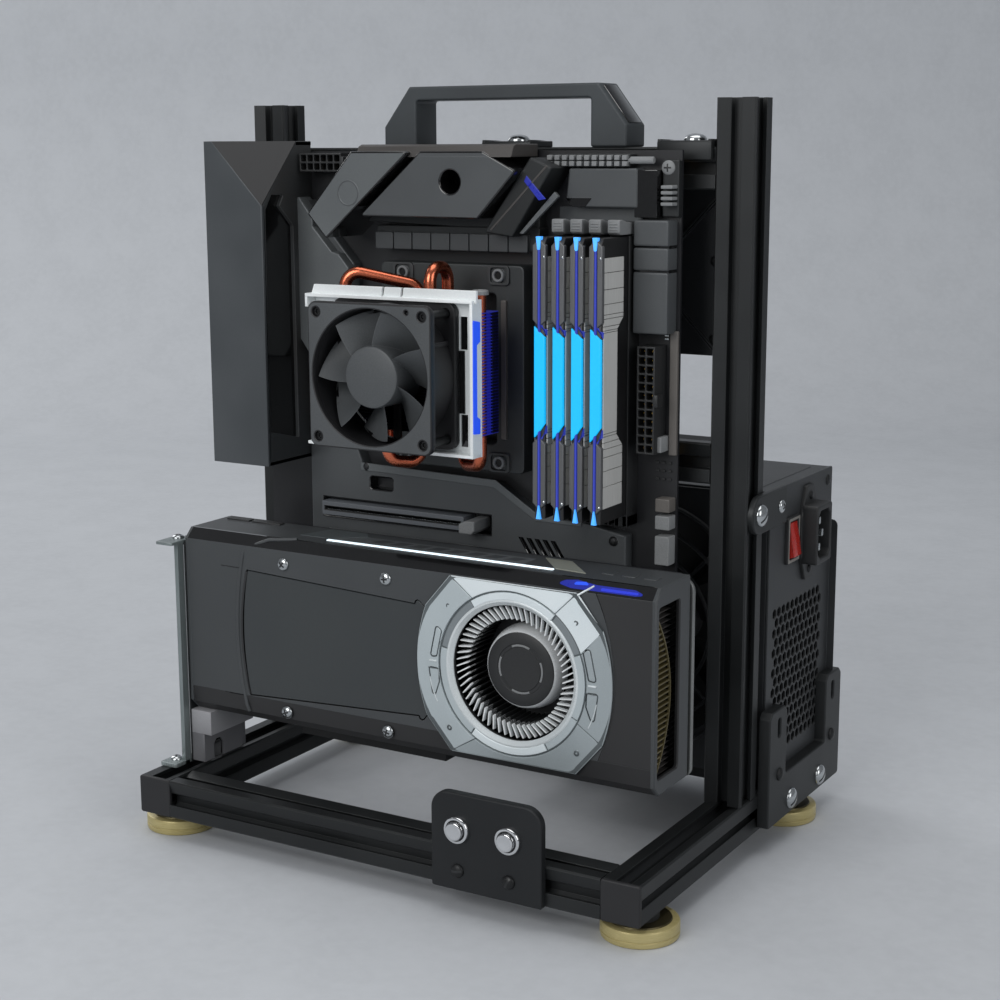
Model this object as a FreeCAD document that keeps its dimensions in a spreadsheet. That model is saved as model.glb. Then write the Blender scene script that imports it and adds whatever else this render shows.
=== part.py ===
import FreeCAD, Part
import math
import os
import Sketcher
from types import SimpleNamespace

# Open air test bench: a portable stand of slotted aluminium profile that carries a
# computer mainboard with its cooler and memory, a graphics card and a power supply.
# X runs right along the front, Y goes away from the front, Z is up, in millimetres.
# While building, x = 0 is the middle of the base, y = 0 its front face and z = 0 the
# floor. The last move puts the origin at the middle of the whole bench's footprint.

Vector = FreeCAD.Vector
Rotation = FreeCAD.Rotation

# Driving dimensions: alias, value, what it sets
SIZES = [
    ("rail", 20.0, "side of the square slotted profile"),
    ("slot_mouth", 6.0, "width of a slot at the surface of the profile"),
    ("slot_lip", 1.8, "thickness of the lips beside a slot"),
    ("slot_wide", 11.4, "width of a slot behind its lips"),
    ("slot_step", 1.4, "depth of the straight part behind the lips"),
    ("core_half", 4.0, "half of the square core of the profile"),
    ("core_bore", 2.2, "radius of the bore along the core"),
    ("rail_edge", 0.8, "chamfer along the corners of the profile"),
    ("cap_thick", 2.0, "thickness of the end caps on the side rails"),
    ("base_wide", 292.0, "width of the base frame"),
    ("base_deep", 214.0, "depth of the base frame"),
    ("post_front", 112.0, "front face of the base to front face of the posts"),
    ("post_high", 345.0, "length of the posts"),
    ("top_bar_drop", 22.5, "top of the posts to the top of the upper crossbar"),
    ("mid_bar_up", 162.0, "top of the base to the underside of the lower crossbar"),
    ("foot_radius", 18.5, "radius of a foot disc"),
    ("foot_disc", 8.0, "height of a foot disc"),
    ("foot_gap", 4.0, "height of the neck between a foot disc and its rail"),
    ("foot_neck", 9.0, "radius of the neck of a foot"),
    ("foot_bevel", 0.8, "chamfer on the rims of a foot"),
    ("foot_inset", 21.0, "end of a side rail to the centre of its foot"),
    ("grip_left", 60.6, "left end of the handle from the middle of the bench"),
    ("grip_right", 79.4, "right end of the handle from the middle of the bench"),
    ("grip_high", 30.5, "height of the handle above its crossbar"),
    ("grip_leg", 19.6, "width of a leg of the handle"),
    ("grip_bar", 7.0, "thickness of the bar of the handle"),
    ("grip_slope_x", 15.4, "width of the sloped shoulders of the handle"),
    ("grip_slope_z", 20.0, "height of the sloped shoulders of the handle"),
    ("grip_pocket", 3.0, "depth of the recess in each shoulder"),
    ("grip_rim", 4.0, "rim in front of and behind that recess"),
    ("angle_wide", 28.0, "width of the small angle brackets on the upper crossbar"),
    ("angle_thick", 3.0, "thickness of the small angle brackets"),
    ("angle_first", 0.0, "left end of the first angle bracket"),
    ("angle_second", 97.0, "left end of the second angle bracket"),
    ("angle_drop", 6.0, "how far an angle bracket reaches down the crossbar"),
    ("tray_thick", 2.0, "thickness of the sheet tray behind the crossbars"),
    ("tray_high", 100.5, "height of the sheet tray"),
    ("tray_rib", 2.0, "width and height of the ribs on the tray"),
    ("board_wide", 244.0, "width of the mainboard"),
    ("board_high", 305.0, "height of the mainboard"),
    ("board_thick", 1.6, "thickness of the mainboard"),
    ("board_left", 128.0, "left edge of the mainboard from the middle of the bench"),
    ("board_top", 353.0, "floor to the top edge of the mainboard"),
    ("board_gap", 13.4, "crossbars to the back of the mainboard"),
    ("standoff_radius", 3.5, "radius of the standoffs"),
    ("standoff_in", 12.0, "side edges of the mainboard to the standoffs"),
    ("switch_wide", 59.5, "width of the front switch plate"),
    ("switch_high", 48.0, "height of the front switch plate"),
    ("switch_left", 38.5, "left end of the switch plate from the middle"),
    ("switch_thick", 4.0, "thickness of the switch plate"),
    ("switch_corner", 9.0, "radius of the top corners of the switch plate"),
    ("button_pitch", 27.6, "distance between the two push buttons"),
    ("button_in", 14.6, "left end of the switch plate to the first button"),
    ("button_up", 30.3, "underside of the switch plate to the buttons"),
    ("bezel_radius", 6.7, "radius of a button's chrome rim"),
    ("bezel_thick", 2.0, "how far a button's rim stands out"),
    ("barrel_radius", 5.6, "radius of a button's threaded barrel"),
    ("barrel_long", 18.0, "length of that barrel behind the plate"),
    ("plunger_radius", 4.4, "radius of a button's plunger"),
    ("plunger_out", 2.0, "how far a plunger stands out of its rim"),
    ("plunger_long", 9.0, "length of a plunger"),
    ("slide_clear", 0.08, "radial clearance of sliding and turning pieces"),
    ("psu_wide", 140.0, "length of the power supply"),
    ("psu_deep", 86.0, "thickness of the power supply"),
    ("psu_high", 150.0, "height of the power supply"),
    ("psu_front", 142.0, "front face of the base to the fan side of the power supply"),
    ("psu_up", 5.0, "top of the base to the underside of the power supply"),
    ("psu_wall", 1.2, "sheet thickness of the power supply"),
    ("vent_pitch", 6.0, "spacing of the hexagonal vent holes"),
    ("vent_flat", 4.6, "width across flats of a vent hole"),
    ("vent_front", 9.0, "front edge of the end plate to the vent field"),
    ("vent_long", 70.0, "length of the vent field"),
    ("vent_high", 82.0, "height of the vent field"),
    ("vent_up", 13.0, "underside of the power supply to the vent field"),
    ("psu_fan_radius", 62.0, "radius of the power supply's fan opening"),
    ("psu_hub_radius", 22.0, "radius of the power supply's fan hub"),
    ("grille_wire", 1.0, "radius of the fan grille's wire"),
    ("inlet_wide", 24.0, "width of the power inlet"),
    ("inlet_core", 21.0, "width of the power inlet's body"),
    ("inlet_rear", 19.0, "height of the power inlet's body inside the power supply"),
    ("inlet_recess", 17.0, "width of the power inlet's recess"),
    ("inlet_high", 50.0, "height of the power inlet's flange, tip to tip"),
    ("inlet_out", 10.0, "how far the power inlet stands out"),
    ("inlet_in", 50.0, "fan side of the power supply to the inlet's centre"),
    ("inlet_up", 121.0, "underside of the power supply to the inlet's centre"),
    ("rocker_wide", 13.0, "width of the mains rocker"),
    ("rocker_high", 21.0, "height of the mains rocker"),
    ("rocker_in", 28.0, "fan side of the power supply to the rocker's centre"),
    ("rocker_rim", 1.6, "rim of the bezel around the rocker"),
    ("stay_thick", 6.0, "thickness of the power supply's bracket"),
    ("stay_wide", 101.0, "width of the power supply's bracket"),
    ("stay_high", 61.0, "height of the power supply's bracket"),
    ("stay_ear", 22.5, "width of an ear of that bracket"),
    ("stay_bar", 24.0, "height of the bar that joins its ears"),
    ("stay_edge", 3.0, "chamfer at the top corners of the ears"),
    ("stay_pitch", 41.0, "distance between the screws through the bar"),
    ("tab_thick", 3.0, "thickness of the upper tab"),
    ("tab_high", 19.0, "height of the upper tab"),
    ("tab_long", 44.0, "length of the upper tab"),
    ("tab_up", 132.5, "underside of the power supply to the underside of the tab"),
    ("bolt_radius", 2.2, "radius of the shanks of the dome screws"),
    ("pin_radius", 1.6, "radius of the shanks of the small screws"),
    ("dome_radius", 5.6, "radius of a dome screw's head"),
    ("dome_high", 3.2, "height of a dome screw's head"),
    ("small_radius", 3.4, "radius of a small screw's head"),
    ("small_high", 2.0, "height of a small screw's head"),
    ("slot_cut", 1.2, "width of a screwdriver slot"),
    ("card_left", 136.0, "left end of the graphics card from the middle"),
    ("card_right", 138.0, "right end of the graphics card from the middle"),
    ("card_front", 30.0, "front face of the base to the fan side of the card"),
    ("card_thick", 36.0, "thickness of the card's shroud"),
    ("card_low", 62.0, "floor to the lower edge of the card's shroud"),
    ("card_high", 98.0, "height of the card's shroud"),
    ("card_wall", 2.0, "wall of the card's shroud"),
    ("card_bevel", 5.0, "bevel along the front edges of the shroud"),
    ("card_board_thick", 1.6, "thickness of the card's circuit board"),
    ("back_plate", 2.4, "thickness of the card's metal back plate"),
    ("window_left", 96.0, "left edge of the card's window panel from the middle"),
    ("window_wide", 113.0, "width of the window panel"),
    ("window_high", 67.2, "height of the window panel"),
    ("window_screw", 25.3, "ends of the window panel to its screws"),
    ("window_up", 13.4, "lower edge of the shroud to the window panel"),
    ("blower_x", 63.5, "middle of the bench to the blower's axis"),
    ("blower_up", 48.8, "lower edge of the shroud to the blower's axis"),
    ("blower_mouth", 33.5, "radius of the blower's intake"),
    ("blower_wheel", 32.0, "outer radius of the blower wheel"),
    ("blower_eye", 23.0, "inner radius of the blades"),
    ("blower_hub", 18.8, "radius of the blower's hub"),
    ("blower_deep", 24.0, "depth of the blower wheel"),
    ("hub_in", 6.0, "front of the blades to the front of the blower's hub"),
    ("window_screw_off", 5.4, "window panel to the screws above and below it"),
    ("blower_blades", 44.0, "number of blades on the blower wheel"),
    ("ring_half", 53.5, "half of the width of the silver fan surround"),
    ("ring_tall", 44.0, "half of the height of the silver fan surround"),
    ("ring_flat", 34.3, "half of the width of its level edges"),
    ("ring_side_x", 48.3, "blower's axis to the shoulders of the surround, across"),
    ("ring_side_z", 27.8, "blower's axis to the shoulders of the surround, upwards"),
    ("ring_out", 2.4, "how far the fan surround stands out"),
    ("bracket_thick", 1.0, "thickness of the card's slot bracket"),
    ("bracket_wide", 41.0, "width of the two slot bracket"),
    ("bracket_high", 120.0, "height of the slot bracket"),
    ("bracket_flange", 11.0, "length of the slot bracket's top flange"),
    ("tongue_notch", 8.0, "width of the notch between its two tongues"),
    ("tongue_long", 19.0, "height of that notch"),
    ("strut_wide", 9.5, "width of the card's strut"),
    ("strut_thick", 2.6, "thickness of the card's strut"),
    ("fin_pitch", 4.0, "spacing of the card's outlet fins"),
    ("fin_thick", 0.9, "thickness of the card's outlet fins"),
    ("cover_left", 133.3, "left face of the port cover from the middle"),
    ("cover_wide", 36.3, "width of the port cover"),
    ("cover_front", 54.0, "front face of the base to the front of the port cover"),
    ("cover_high", 166.0, "height of the port cover"),
    ("cover_over", 5.0, "how far the port cover stands above the mainboard"),
    ("cover_wall", 2.0, "wall of the port cover"),
    ("armour_out", 7.0, "how far the flat armour stands off the mainboard"),
    ("block_out", 27.0, "how far the regulator block stands off the mainboard"),
    ("bar_out", 31.0, "how far its slanted bars stand off the mainboard"),
    ("slot_in", 41.0, "left edge of the mainboard to the card slot"),
    ("slot_drop", 190.6, "top of the mainboard to the underside of the card slot"),
    ("slot_long", 89.0, "length of the card slot"),
    ("slot_high", 7.5, "width of the card slot"),
    ("socket_out", 11.0, "height of the card edge sockets off the mainboard"),
    ("pin_pitch", 4.2, "spacing of the contacts in the power sockets"),
    ("pin_cell", 3.2, "side of the cell around a contact"),
    ("pin_out", 13.0, "how far the power sockets stand off the mainboard"),
    ("stick_wide", 7.0, "thickness of a memory module"),
    ("stick_pitch", 9.9, "spacing of the memory modules"),
    ("stick_first", 189.5, "left edge of the mainboard to the first memory module"),
    ("stick_long", 133.4, "length of a memory module"),
    ("stick_drop", 39.6, "top of the mainboard to the upper end of the modules"),
    ("stick_out", 39.0, "how far the memory modules stand off the mainboard"),
    ("stick_board", 1.4, "thickness of a module's circuit board"),
    ("latch_high", 7.0, "height of a memory latch"),
    ("latch_out", 21.0, "how far a memory latch stands off the mainboard"),
    ("latch_gap", 0.7, "gap between a latch and its socket"),
    ("fan_size", 70.0, "side of the cooler's square fan"),
    ("fan_thick", 25.0, "thickness of the cooler's fan"),
    ("fan_flange", 4.0, "thickness of the fan's square flanges"),
    ("fan_barrel", 34.2, "outer radius of the fan's barrel"),
    ("fan_screw_in", 5.0, "sides of the fan to its screw holes"),
    ("fan_screw", 2.1, "radius of the fan's screw holes"),
    ("fan_motor", 1.8, "thickness of the plate that carries the fan's motor"),
    ("fan_front", 18.0, "front face of the base to the front of the fan"),
    ("fan_in", 120.0, "left edge of the mainboard to the fan's axis"),
    ("fan_drop", 105.0, "top of the mainboard to the fan's axis"),
    ("fan_mouth", 32.5, "radius of the fan's opening"),
    ("fan_hub", 15.0, "radius of the fan's hub"),
    ("cowl_reach", 46.5, "fan's axis to the right side of the cooler's cowl"),
    ("cowl_left", 49.7, "fan's axis to the left side of the cowl"),
    ("cowl_wall", 1.5, "sheet thickness of the cowl"),
    ("cowl_in", 18.0, "front of the fan to the front of the cowl"),
    ("cowl_gap", 1.3, "fan to the sheet of the cowl"),
    ("cowl_over", 0.3, "fan to the top sheet of the cowl"),
    ("cowl_lip", 4.4, "height of the lip on the cowl's top"),
    ("cowl_lip_in", 2.0, "front of the cowl to the front of that lip"),
    ("cowl_tab", 5.0, "depth that the left side of the cowl is cut back by"),
    ("cowl_slot_in", 7.0, "side of the cowl to the slots in its back"),
    ("cowl_slot_wide", 4.0, "width of those slots"),
    ("cowl_slot_high", 15.5, "height of those slots"),
    ("cowl_slot_off", 4.2, "underside of the cowl to the lower slots"),
    ("stack_right", 43.6, "fan's axis to the right end of the fin stack"),
    ("stack_left", 43.6, "fan's axis to the left end of the fin stack"),
    ("stack_deep", 20.0, "depth of the cooler's fin stack"),
    ("stack_high", 58.0, "height of the cooler's fin stack"),
    ("stack_pitch", 2.0, "spacing of the cooler's fins"),
    ("stack_fin", 0.8, "thickness of the cooler's fins"),
    ("core_half_wide", 23.0, "half of the width of the core that the fins stand on"),
    ("core_inset", 6.0, "top and bottom of the fin stack to the core"),
    ("pipe_radius", 3.0, "radius of a heat pipe"),
    ("pipe_bend", 7.0, "radius of a heat pipe's bends"),
    ("pipe_gap", 0.3, "end of a heat pipe to what it enters"),
    ("pipe_cap", 4.2, "radius of the cap on the upright heat pipe"),
    ("yoke_left", 38.0, "fan's axis to the left edge of the cooler's mount frame"),
    ("yoke_wide", 84.0, "width of the cooler's mount frame"),
    ("yoke_high", 103.0, "height of the cooler's mount frame"),
    ("yoke_side", 16.0, "width of the sides of that frame"),
    ("yoke_end", 14.0, "height of its upper and lower bars"),
    ("yoke_out", 12.0, "how far the mount frame stands off the mainboard"),
    ("yoke_screw_in", 14.0, "sides of the mount frame to its screws"),
]


class Dim:
    """A length that knows both its value and the sheet formula that it comes from."""

    def __init__(self, value, formula):
        self.value = value
        self.formula = formula

    def joined(self, other, sign, value):
        return Dim(value, "(" + self.formula + " " + sign + " " + dim(other).formula + ")")

    def __add__(self, other):
        return self.joined(other, "+", self.value + dim(other).value)

    def __sub__(self, other):
        return self.joined(other, "-", self.value - dim(other).value)

    def __mul__(self, other):
        return self.joined(other, "*", self.value * dim(other).value)

    def __truediv__(self, other):
        return self.joined(other, "/", self.value / dim(other).value)

    def __radd__(self, other):
        return dim(other) + self

    def __rsub__(self, other):
        return dim(other) - self

    def __neg__(self):
        return dim(0) - self


def dim(number):
    """Give a plain number the same form as a length from the sheet."""
    return number if isinstance(number, Dim) else Dim(float(number), str(float(number)))


doc = FreeCAD.newDocument("open_air_test_bench")
sheet = doc.addObject("Spreadsheet::Sheet", "Sizes")
lengths = {}
for row, (alias, value, note) in enumerate(SIZES, start=1):
    sheet.set("A" + str(row), alias)
    sheet.set("B" + str(row), str(value))
    sheet.set("C" + str(row), note)
    sheet.setAlias("B" + str(row), alias)
    lengths[alias] = Dim(value, "Sizes." + alias)
doc.recompute()
s = SimpleNamespace(**lengths)

# Places that several pieces share
half_base = s.base_wide / 2
foot_high = s.foot_disc + s.foot_gap
base_top = foot_high + s.rail
post_back = s.post_front + s.rail
top_bar_low = base_top + s.post_high - s.top_bar_drop - s.rail
mid_bar_low = base_top + s.mid_bar_up
bar_long = s.base_wide - s.rail * 2
board_back = s.post_front - s.board_gap
board_face = board_back - s.board_thick
board_low = s.board_top - s.board_high
board_right = s.board_wide - s.board_left
psu_low = base_top + s.psu_up
psu_right = half_base
psu_left = psu_right - s.psu_wide
psu_mid = s.psu_front + s.psu_deep / 2
psu_top = psu_low + s.psu_high
card_back = s.card_front + s.card_thick
card_top = s.card_low + s.card_high
blower_z = s.card_low + s.blower_up
stick_front = board_face - s.stick_out
stick_top = s.board_top - s.stick_drop
stick_low = stick_top - s.stick_long
socket_front = board_face - s.socket_out
fan_x = s.fan_in - s.board_left
fan_z = s.board_top - s.fan_drop
fan_left = fan_x - s.fan_size / 2
fan_low = fan_z - s.fan_size / 2
fan_back = s.fan_front + s.fan_thick
stay_front = psu_mid - s.stay_wide / 2

# The origin: the middle of the whole bench's footprint
left_end = s.rail / 2 - half_base - s.foot_radius
right_end = psu_right + s.inlet_out
front_end = -s.switch_thick - s.bezel_thick - s.plunger_out
rear_end = stay_front + s.stay_wide
shift_x = -(left_end + right_end) / 2
shift_y = -(front_end + rear_end) / 2

TURNS = {
    "up": Rotation(),
    "back": Rotation(Vector(1, 0, 0), -90),
    "right": Rotation(Vector(0, 1, 0), 90),
    "front": Rotation(Vector(1, 0, 0), 90),
    "side": Rotation(Vector(1, 1, 1), 120),
}


def tie(target, name, length):
    """Bind one property of an object to the sheet."""
    target.setExpression(name, dim(length).formula)


def place(target, at, turn="up"):
    """Turn an object and bind its position, moved to the bench's own origin."""
    target.Placement = FreeCAD.Placement(Vector(0, 0, 0), TURNS[turn])
    x, y, z = at
    tie(target, "Placement.Base.x", dim(x) + shift_x)
    tie(target, "Placement.Base.y", dim(y) + shift_y)
    tie(target, "Placement.Base.z", dim(z))
    return target


def box(name, at, size):
    """A block from its lowest corner and its three sides."""
    solid = doc.addObject("Part::Box", name)
    for side, length in zip(("Length", "Width", "Height"), size):
        tie(solid, side, length)
    return place(solid, at)


def rod(name, at, radius, length, turn="up"):
    """A round bar from the centre of its first end."""
    solid = doc.addObject("Part::Cylinder", name)
    tie(solid, "Radius", radius)
    tie(solid, "Height", length)
    return place(solid, at, turn)


def tube(name, at, outer, inner, length, turn="up"):
    """A round bar with a bore right through it."""
    return cut(name, rod(name + "_outside", at, outer, length, turn),
               [rod(name + "_bore", at, inner, length, turn)])


def fuse(name, solids):
    """Join solids into one."""
    joined = doc.addObject("Part::MultiFuse", name)
    joined.Shapes = solids
    joined.Refine = True
    return joined


def cut(name, base, tools):
    """Take one or several solids away from a base."""
    result = doc.addObject("Part::Cut", name)
    result.Base = base
    result.Tool = tools[0] if len(tools) == 1 else group(name + "_tools", tools)
    return result


def group(name, solids):
    """Keep several separate solids together."""
    bundle = doc.addObject("Part::Compound", name)
    bundle.Links = solids
    return bundle


def shaped(name, solid):
    """A solid made with Part's own functions, moved to the bench's own origin."""
    feature = doc.addObject("Part::Feature", name)
    feature.Shape = solid
    return place(feature, (0, 0, 0))


def draw_loop(sketch, corners):
    """Draw a closed polygon and bind each corner to its two distances from the origin."""
    first = sketch.GeometryCount
    count = len(corners)
    ends = [Vector(dim(x).value, dim(y).value, 0) for x, y in corners]
    for index in range(count):
        sketch.addGeometry(Part.LineSegment(ends[index], ends[(index + 1) % count]))
    for index in range(count):
        following = first + (index + 1) % count
        sketch.addConstraint(Sketcher.Constraint("Coincident", first + index, 2, following, 1))
    for index, corner in enumerate(corners):
        for kind, length in zip(("DistanceX", "DistanceY"), corner):
            value = dim(length).value
            number = sketch.addConstraint(
                Sketcher.Constraint(kind, -1, 1, first + index, 1, value))
            sketch.setExpression("Constraints[" + str(number) + "]", dim(length).formula)


def draw_hole(sketch, centre, radius):
    """Draw a circle and bind its centre and radius."""
    x, y = centre
    middle = Vector(dim(x).value, dim(y).value, 0)
    index = sketch.addGeometry(Part.Circle(middle, Vector(0, 0, 1), dim(radius).value))
    for kind, length in (("DistanceX", x), ("DistanceY", y)):
        number = sketch.addConstraint(
            Sketcher.Constraint(kind, -1, 1, index, 3, dim(length).value))
        sketch.setExpression("Constraints[" + str(number) + "]", dim(length).formula)
    number = sketch.addConstraint(Sketcher.Constraint("Radius", index, dim(radius).value))
    sketch.setExpression("Constraints[" + str(number) + "]", dim(radius).formula)


def new_sketch(body, plane):
    """A sketch on one of a body's own origin planes."""
    sketch = body.newObject("Sketcher::SketchObject", body.Name + "_sketch")
    support = [item for item in body.Origin.OriginFeatures if item.Role == plane][0]
    sketch.AttachmentSupport = (support, [""])
    sketch.MapMode = "FlatFace"
    return sketch


def outline(name, corners, depth, at, turn="up", loops=(), holes=()):
    """A drawn outline padded to a thickness, with windows and round holes.

    Turn "up" pads along Z, "side" pads along X from a drawing in Y and Z, and
    "front" pads along Y from a drawing in X and Z whose front plane is at y.
    """
    body = doc.addObject("PartDesign::Body", name)
    sketch = new_sketch(body, "XY_Plane")
    draw_loop(sketch, corners)
    for loop in loops:
        draw_loop(sketch, loop)
    for centre, radius in holes:
        draw_hole(sketch, centre, radius)
    pad = body.newObject("PartDesign::Pad", name + "_pad")
    pad.Profile = sketch
    tie(pad, "Length", depth)
    sketch.Visibility = False
    x, y, z = at
    if turn == "front":
        y = dim(y) + depth
    return place(body, (x, y, z), turn)


def turned(name, profile, at, turn="up"):
    """A drawn half section turned a full round about its own axis."""
    body = doc.addObject("PartDesign::Body", name)
    sketch = new_sketch(body, "XZ_Plane")
    draw_loop(sketch, profile)
    revolution = body.newObject("PartDesign::Revolution", name + "_turn")
    revolution.Profile = sketch
    revolution.ReferenceAxis = (sketch, ["V_Axis"])
    revolution.Angle = 360.0
    return place(body, at, turn)


def board_x(right):
    """A place across the bench from its distance to the mainboard's left edge."""
    return -s.board_left + right


def board_z(down):
    """A height from its distance to the mainboard's top edge."""
    return s.board_top - down


def on_board(corners):
    """Corners given from the mainboard's top left corner."""
    return [(board_x(right), board_z(down)) for right, down in corners]


def stick_x(number):
    """The middle of one of the memory modules."""
    return board_x(s.stick_first + s.stick_pitch * number)


def oblong(x, z, wide, high):
    """Corners of an upright rectangle from its lower left corner."""
    x, z = dim(x), dim(z)
    return [(x, z), (x + wide, z), (x + wide, z + high), (x, z + high)]


parts = {}


def keep(name, solid):
    """Name a finished piece of the bench."""
    solid.Label = name
    parts[name] = solid
    return solid


# Slotted profile: the right hand quarter of the section, turned to all four sides
def profile_corners():
    half = s.rail / 2
    mouth = s.slot_mouth / 2
    wide = s.slot_wide / 2
    lip = half - s.slot_lip
    step = lip - s.slot_step
    root = wide - (step - s.core_half)
    quarter = [(half, mouth), (half, half - s.rail_edge), (half - s.rail_edge, half)]
    below = [(s.core_half, -root), (s.core_half, root), (step, wide), (lip, wide),
             (lip, mouth)]
    before = [(lip, -mouth), (lip, -wide), (step, -wide)]
    corners = before + below + quarter
    section = []
    for turn in range(4):
        for x, y in corners:
            section.append((x, y))
        corners = [(-dim(y), x) for x, y in corners]
    return section


def slotted(name, length, at, turn):
    """A length of slotted profile whose first end is centred at a point."""
    hole = [((0, 0), s.core_bore)]
    turns = {"up": "up", "back": "front", "right": "side"}
    x, y, z = at
    return keep(name, outline(name, profile_corners(), length, (x, y, z), turns[turn],
                              holes=hole))


# Base frame, posts and crossbars
side_x = half_base - s.rail / 2
rail_z = foot_high + s.rail / 2
side_long = s.base_deep - s.cap_thick * 2
slotted("base_rail_left", side_long, (-side_x, s.cap_thick, rail_z), "back")
slotted("base_rail_right", side_long, (side_x, s.cap_thick, rail_z), "back")
slotted("base_rail_front", bar_long, (-bar_long / 2, s.rail / 2, rail_z), "right")
slotted("base_rail_rear", bar_long, (-bar_long / 2, s.base_deep - s.rail / 2, rail_z), "right")
post_y = s.post_front + s.rail / 2
slotted("post_left", s.post_high, (-side_x, post_y, base_top), "up")
slotted("post_right", s.post_high, (side_x, post_y, base_top), "up")
slotted("crossbar_upper", bar_long, (-bar_long / 2, post_y, top_bar_low + s.rail / 2), "right")
slotted("crossbar_lower", bar_long, (-bar_long / 2, post_y, mid_bar_low + s.rail / 2), "right")

caps = []
for side, x in (("left", -half_base), ("right", half_base - s.rail)):
    for end, y in (("front", dim(0)), ("rear", s.base_deep - s.cap_thick)):
        caps.append(box("cap_" + side + "_" + end, (x, y, foot_high),
                        (s.rail, s.cap_thick, s.rail)))
keep("rail_end_caps", group("rail_end_caps", caps))

foot_section = [
    (0, 0), (s.foot_radius - s.foot_bevel, 0), (s.foot_radius, s.foot_bevel),
    (s.foot_radius, s.foot_disc - s.foot_bevel), (s.foot_radius - s.foot_bevel, s.foot_disc),
    (s.foot_neck, s.foot_disc), (s.foot_neck, foot_high), (0, foot_high),
]
feet = []
for side, x in (("left", -side_x), ("right", side_x)):
    for end, y in (("front", s.foot_inset), ("rear", s.base_deep - s.foot_inset)):
        feet.append(turned("foot_" + side + "_" + end, foot_section, (x, y, 0)))
keep("feet", group("feet", feet))

# Handle on the upper crossbar
grip_low = top_bar_low + s.rail
grip_leg_top = s.grip_high - s.grip_slope_z
grip = outline("handle_body", [
    (-s.grip_left, 0), (-s.grip_left + s.grip_leg, 0),
    (-s.grip_left + s.grip_leg, s.grip_high - s.grip_bar),
    (s.grip_right - s.grip_leg, s.grip_high - s.grip_bar),
    (s.grip_right - s.grip_leg, 0), (s.grip_right, 0), (s.grip_right, grip_leg_top),
    (s.grip_right - s.grip_slope_x, s.grip_high),
    (-s.grip_left + s.grip_slope_x, s.grip_high), (-s.grip_left, grip_leg_top),
], s.rail, (0, s.post_front, grip_low), "front")
pocket_deep = s.rail - s.grip_rim * 2
grip_pockets = [outline("handle_pocket_left", [
    (-s.grip_left - s.grip_pocket, grip_leg_top + s.grip_pocket),
    (-s.grip_left + s.grip_pocket, grip_leg_top - s.grip_pocket / 2),
    (-s.grip_left + s.grip_slope_x, s.grip_high - s.grip_pocket * 1.3),
    (-s.grip_left + s.grip_slope_x - s.grip_pocket, s.grip_high + s.grip_pocket),
], pocket_deep, (0, s.post_front + s.grip_rim, grip_low), "front"), outline("handle_pocket_right", [
    (s.grip_right + s.grip_pocket, grip_leg_top + s.grip_pocket),
    (s.grip_right - s.grip_slope_x + s.grip_pocket, s.grip_high + s.grip_pocket),
    (s.grip_right - s.grip_slope_x, s.grip_high - s.grip_pocket * 1.3),
    (s.grip_right - s.grip_pocket, grip_leg_top - s.grip_pocket / 2),
], pocket_deep, (0, s.post_front + s.grip_rim, grip_low), "front")]
keep("handle", cut("handle", grip, grip_pockets))

# Screws with a slotted head: the head's section, turned, then slotted
def slotted_screw(name, at, turn, radius, high, shank, shank_long):
    """A slotted screw whose head rests at a point and points along a turn."""
    section = [(0, -dim(shank_long)), (shank, -dim(shank_long)), (shank, 0), (radius, 0),
               (radius, dim(high) * 0.45), (dim(radius) * 0.72, dim(high) * 0.86),
               (0, high)]
    head = turned(name + "_head", section, at, turn)
    slot = doc.addObject("Part::Box", name + "_slot")
    tie(slot, "Length", dim(radius) * 2)
    tie(slot, "Width", s.slot_cut)
    tie(slot, "Height", high)
    x, y, z = (dim(length) for length in at)
    reach, half_cut, lift = dim(radius), s.slot_cut / 2, dim(high) * 0.5
    corner = {
        "up": (x - reach, y - half_cut, z + lift),
        "front": (x - reach, y - lift, z - half_cut),
        "right": (x + lift, y - half_cut, z + reach),
    }[turn]
    return cut(name, head, [place(slot, corner, turn)])


# Small angle brackets on the upper crossbar, each with one screw
angles = []
angle_screws = []
for label, left in (("first", s.angle_first), ("second", s.angle_second)):
    corners = [
        (s.post_front - s.angle_thick, grip_low - s.angle_drop),
        (s.post_front, grip_low - s.angle_drop), (s.post_front, grip_low),
        (post_back, grip_low), (post_back, grip_low + s.angle_thick),
        (s.post_front - s.angle_thick, grip_low + s.angle_thick),
    ]
    angles.append(cut("angle_" + label, outline(
        "angle_" + label + "_folded", corners, s.angle_wide, (left, 0, 0), "side"),
        [rod("angle_" + label + "_hole", (left + s.angle_wide / 2, post_y, grip_low - 1),
             s.bolt_radius, s.angle_thick + 2)]))
    angle_screws.append(slotted_screw(
        "angle_screw_" + label, (left + s.angle_wide / 2, post_y, grip_low + s.angle_thick),
        "up", s.dome_radius, s.dome_high, s.bolt_radius, s.angle_thick + 1))
keep("angle_brackets", group("angle_brackets", angles))

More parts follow.
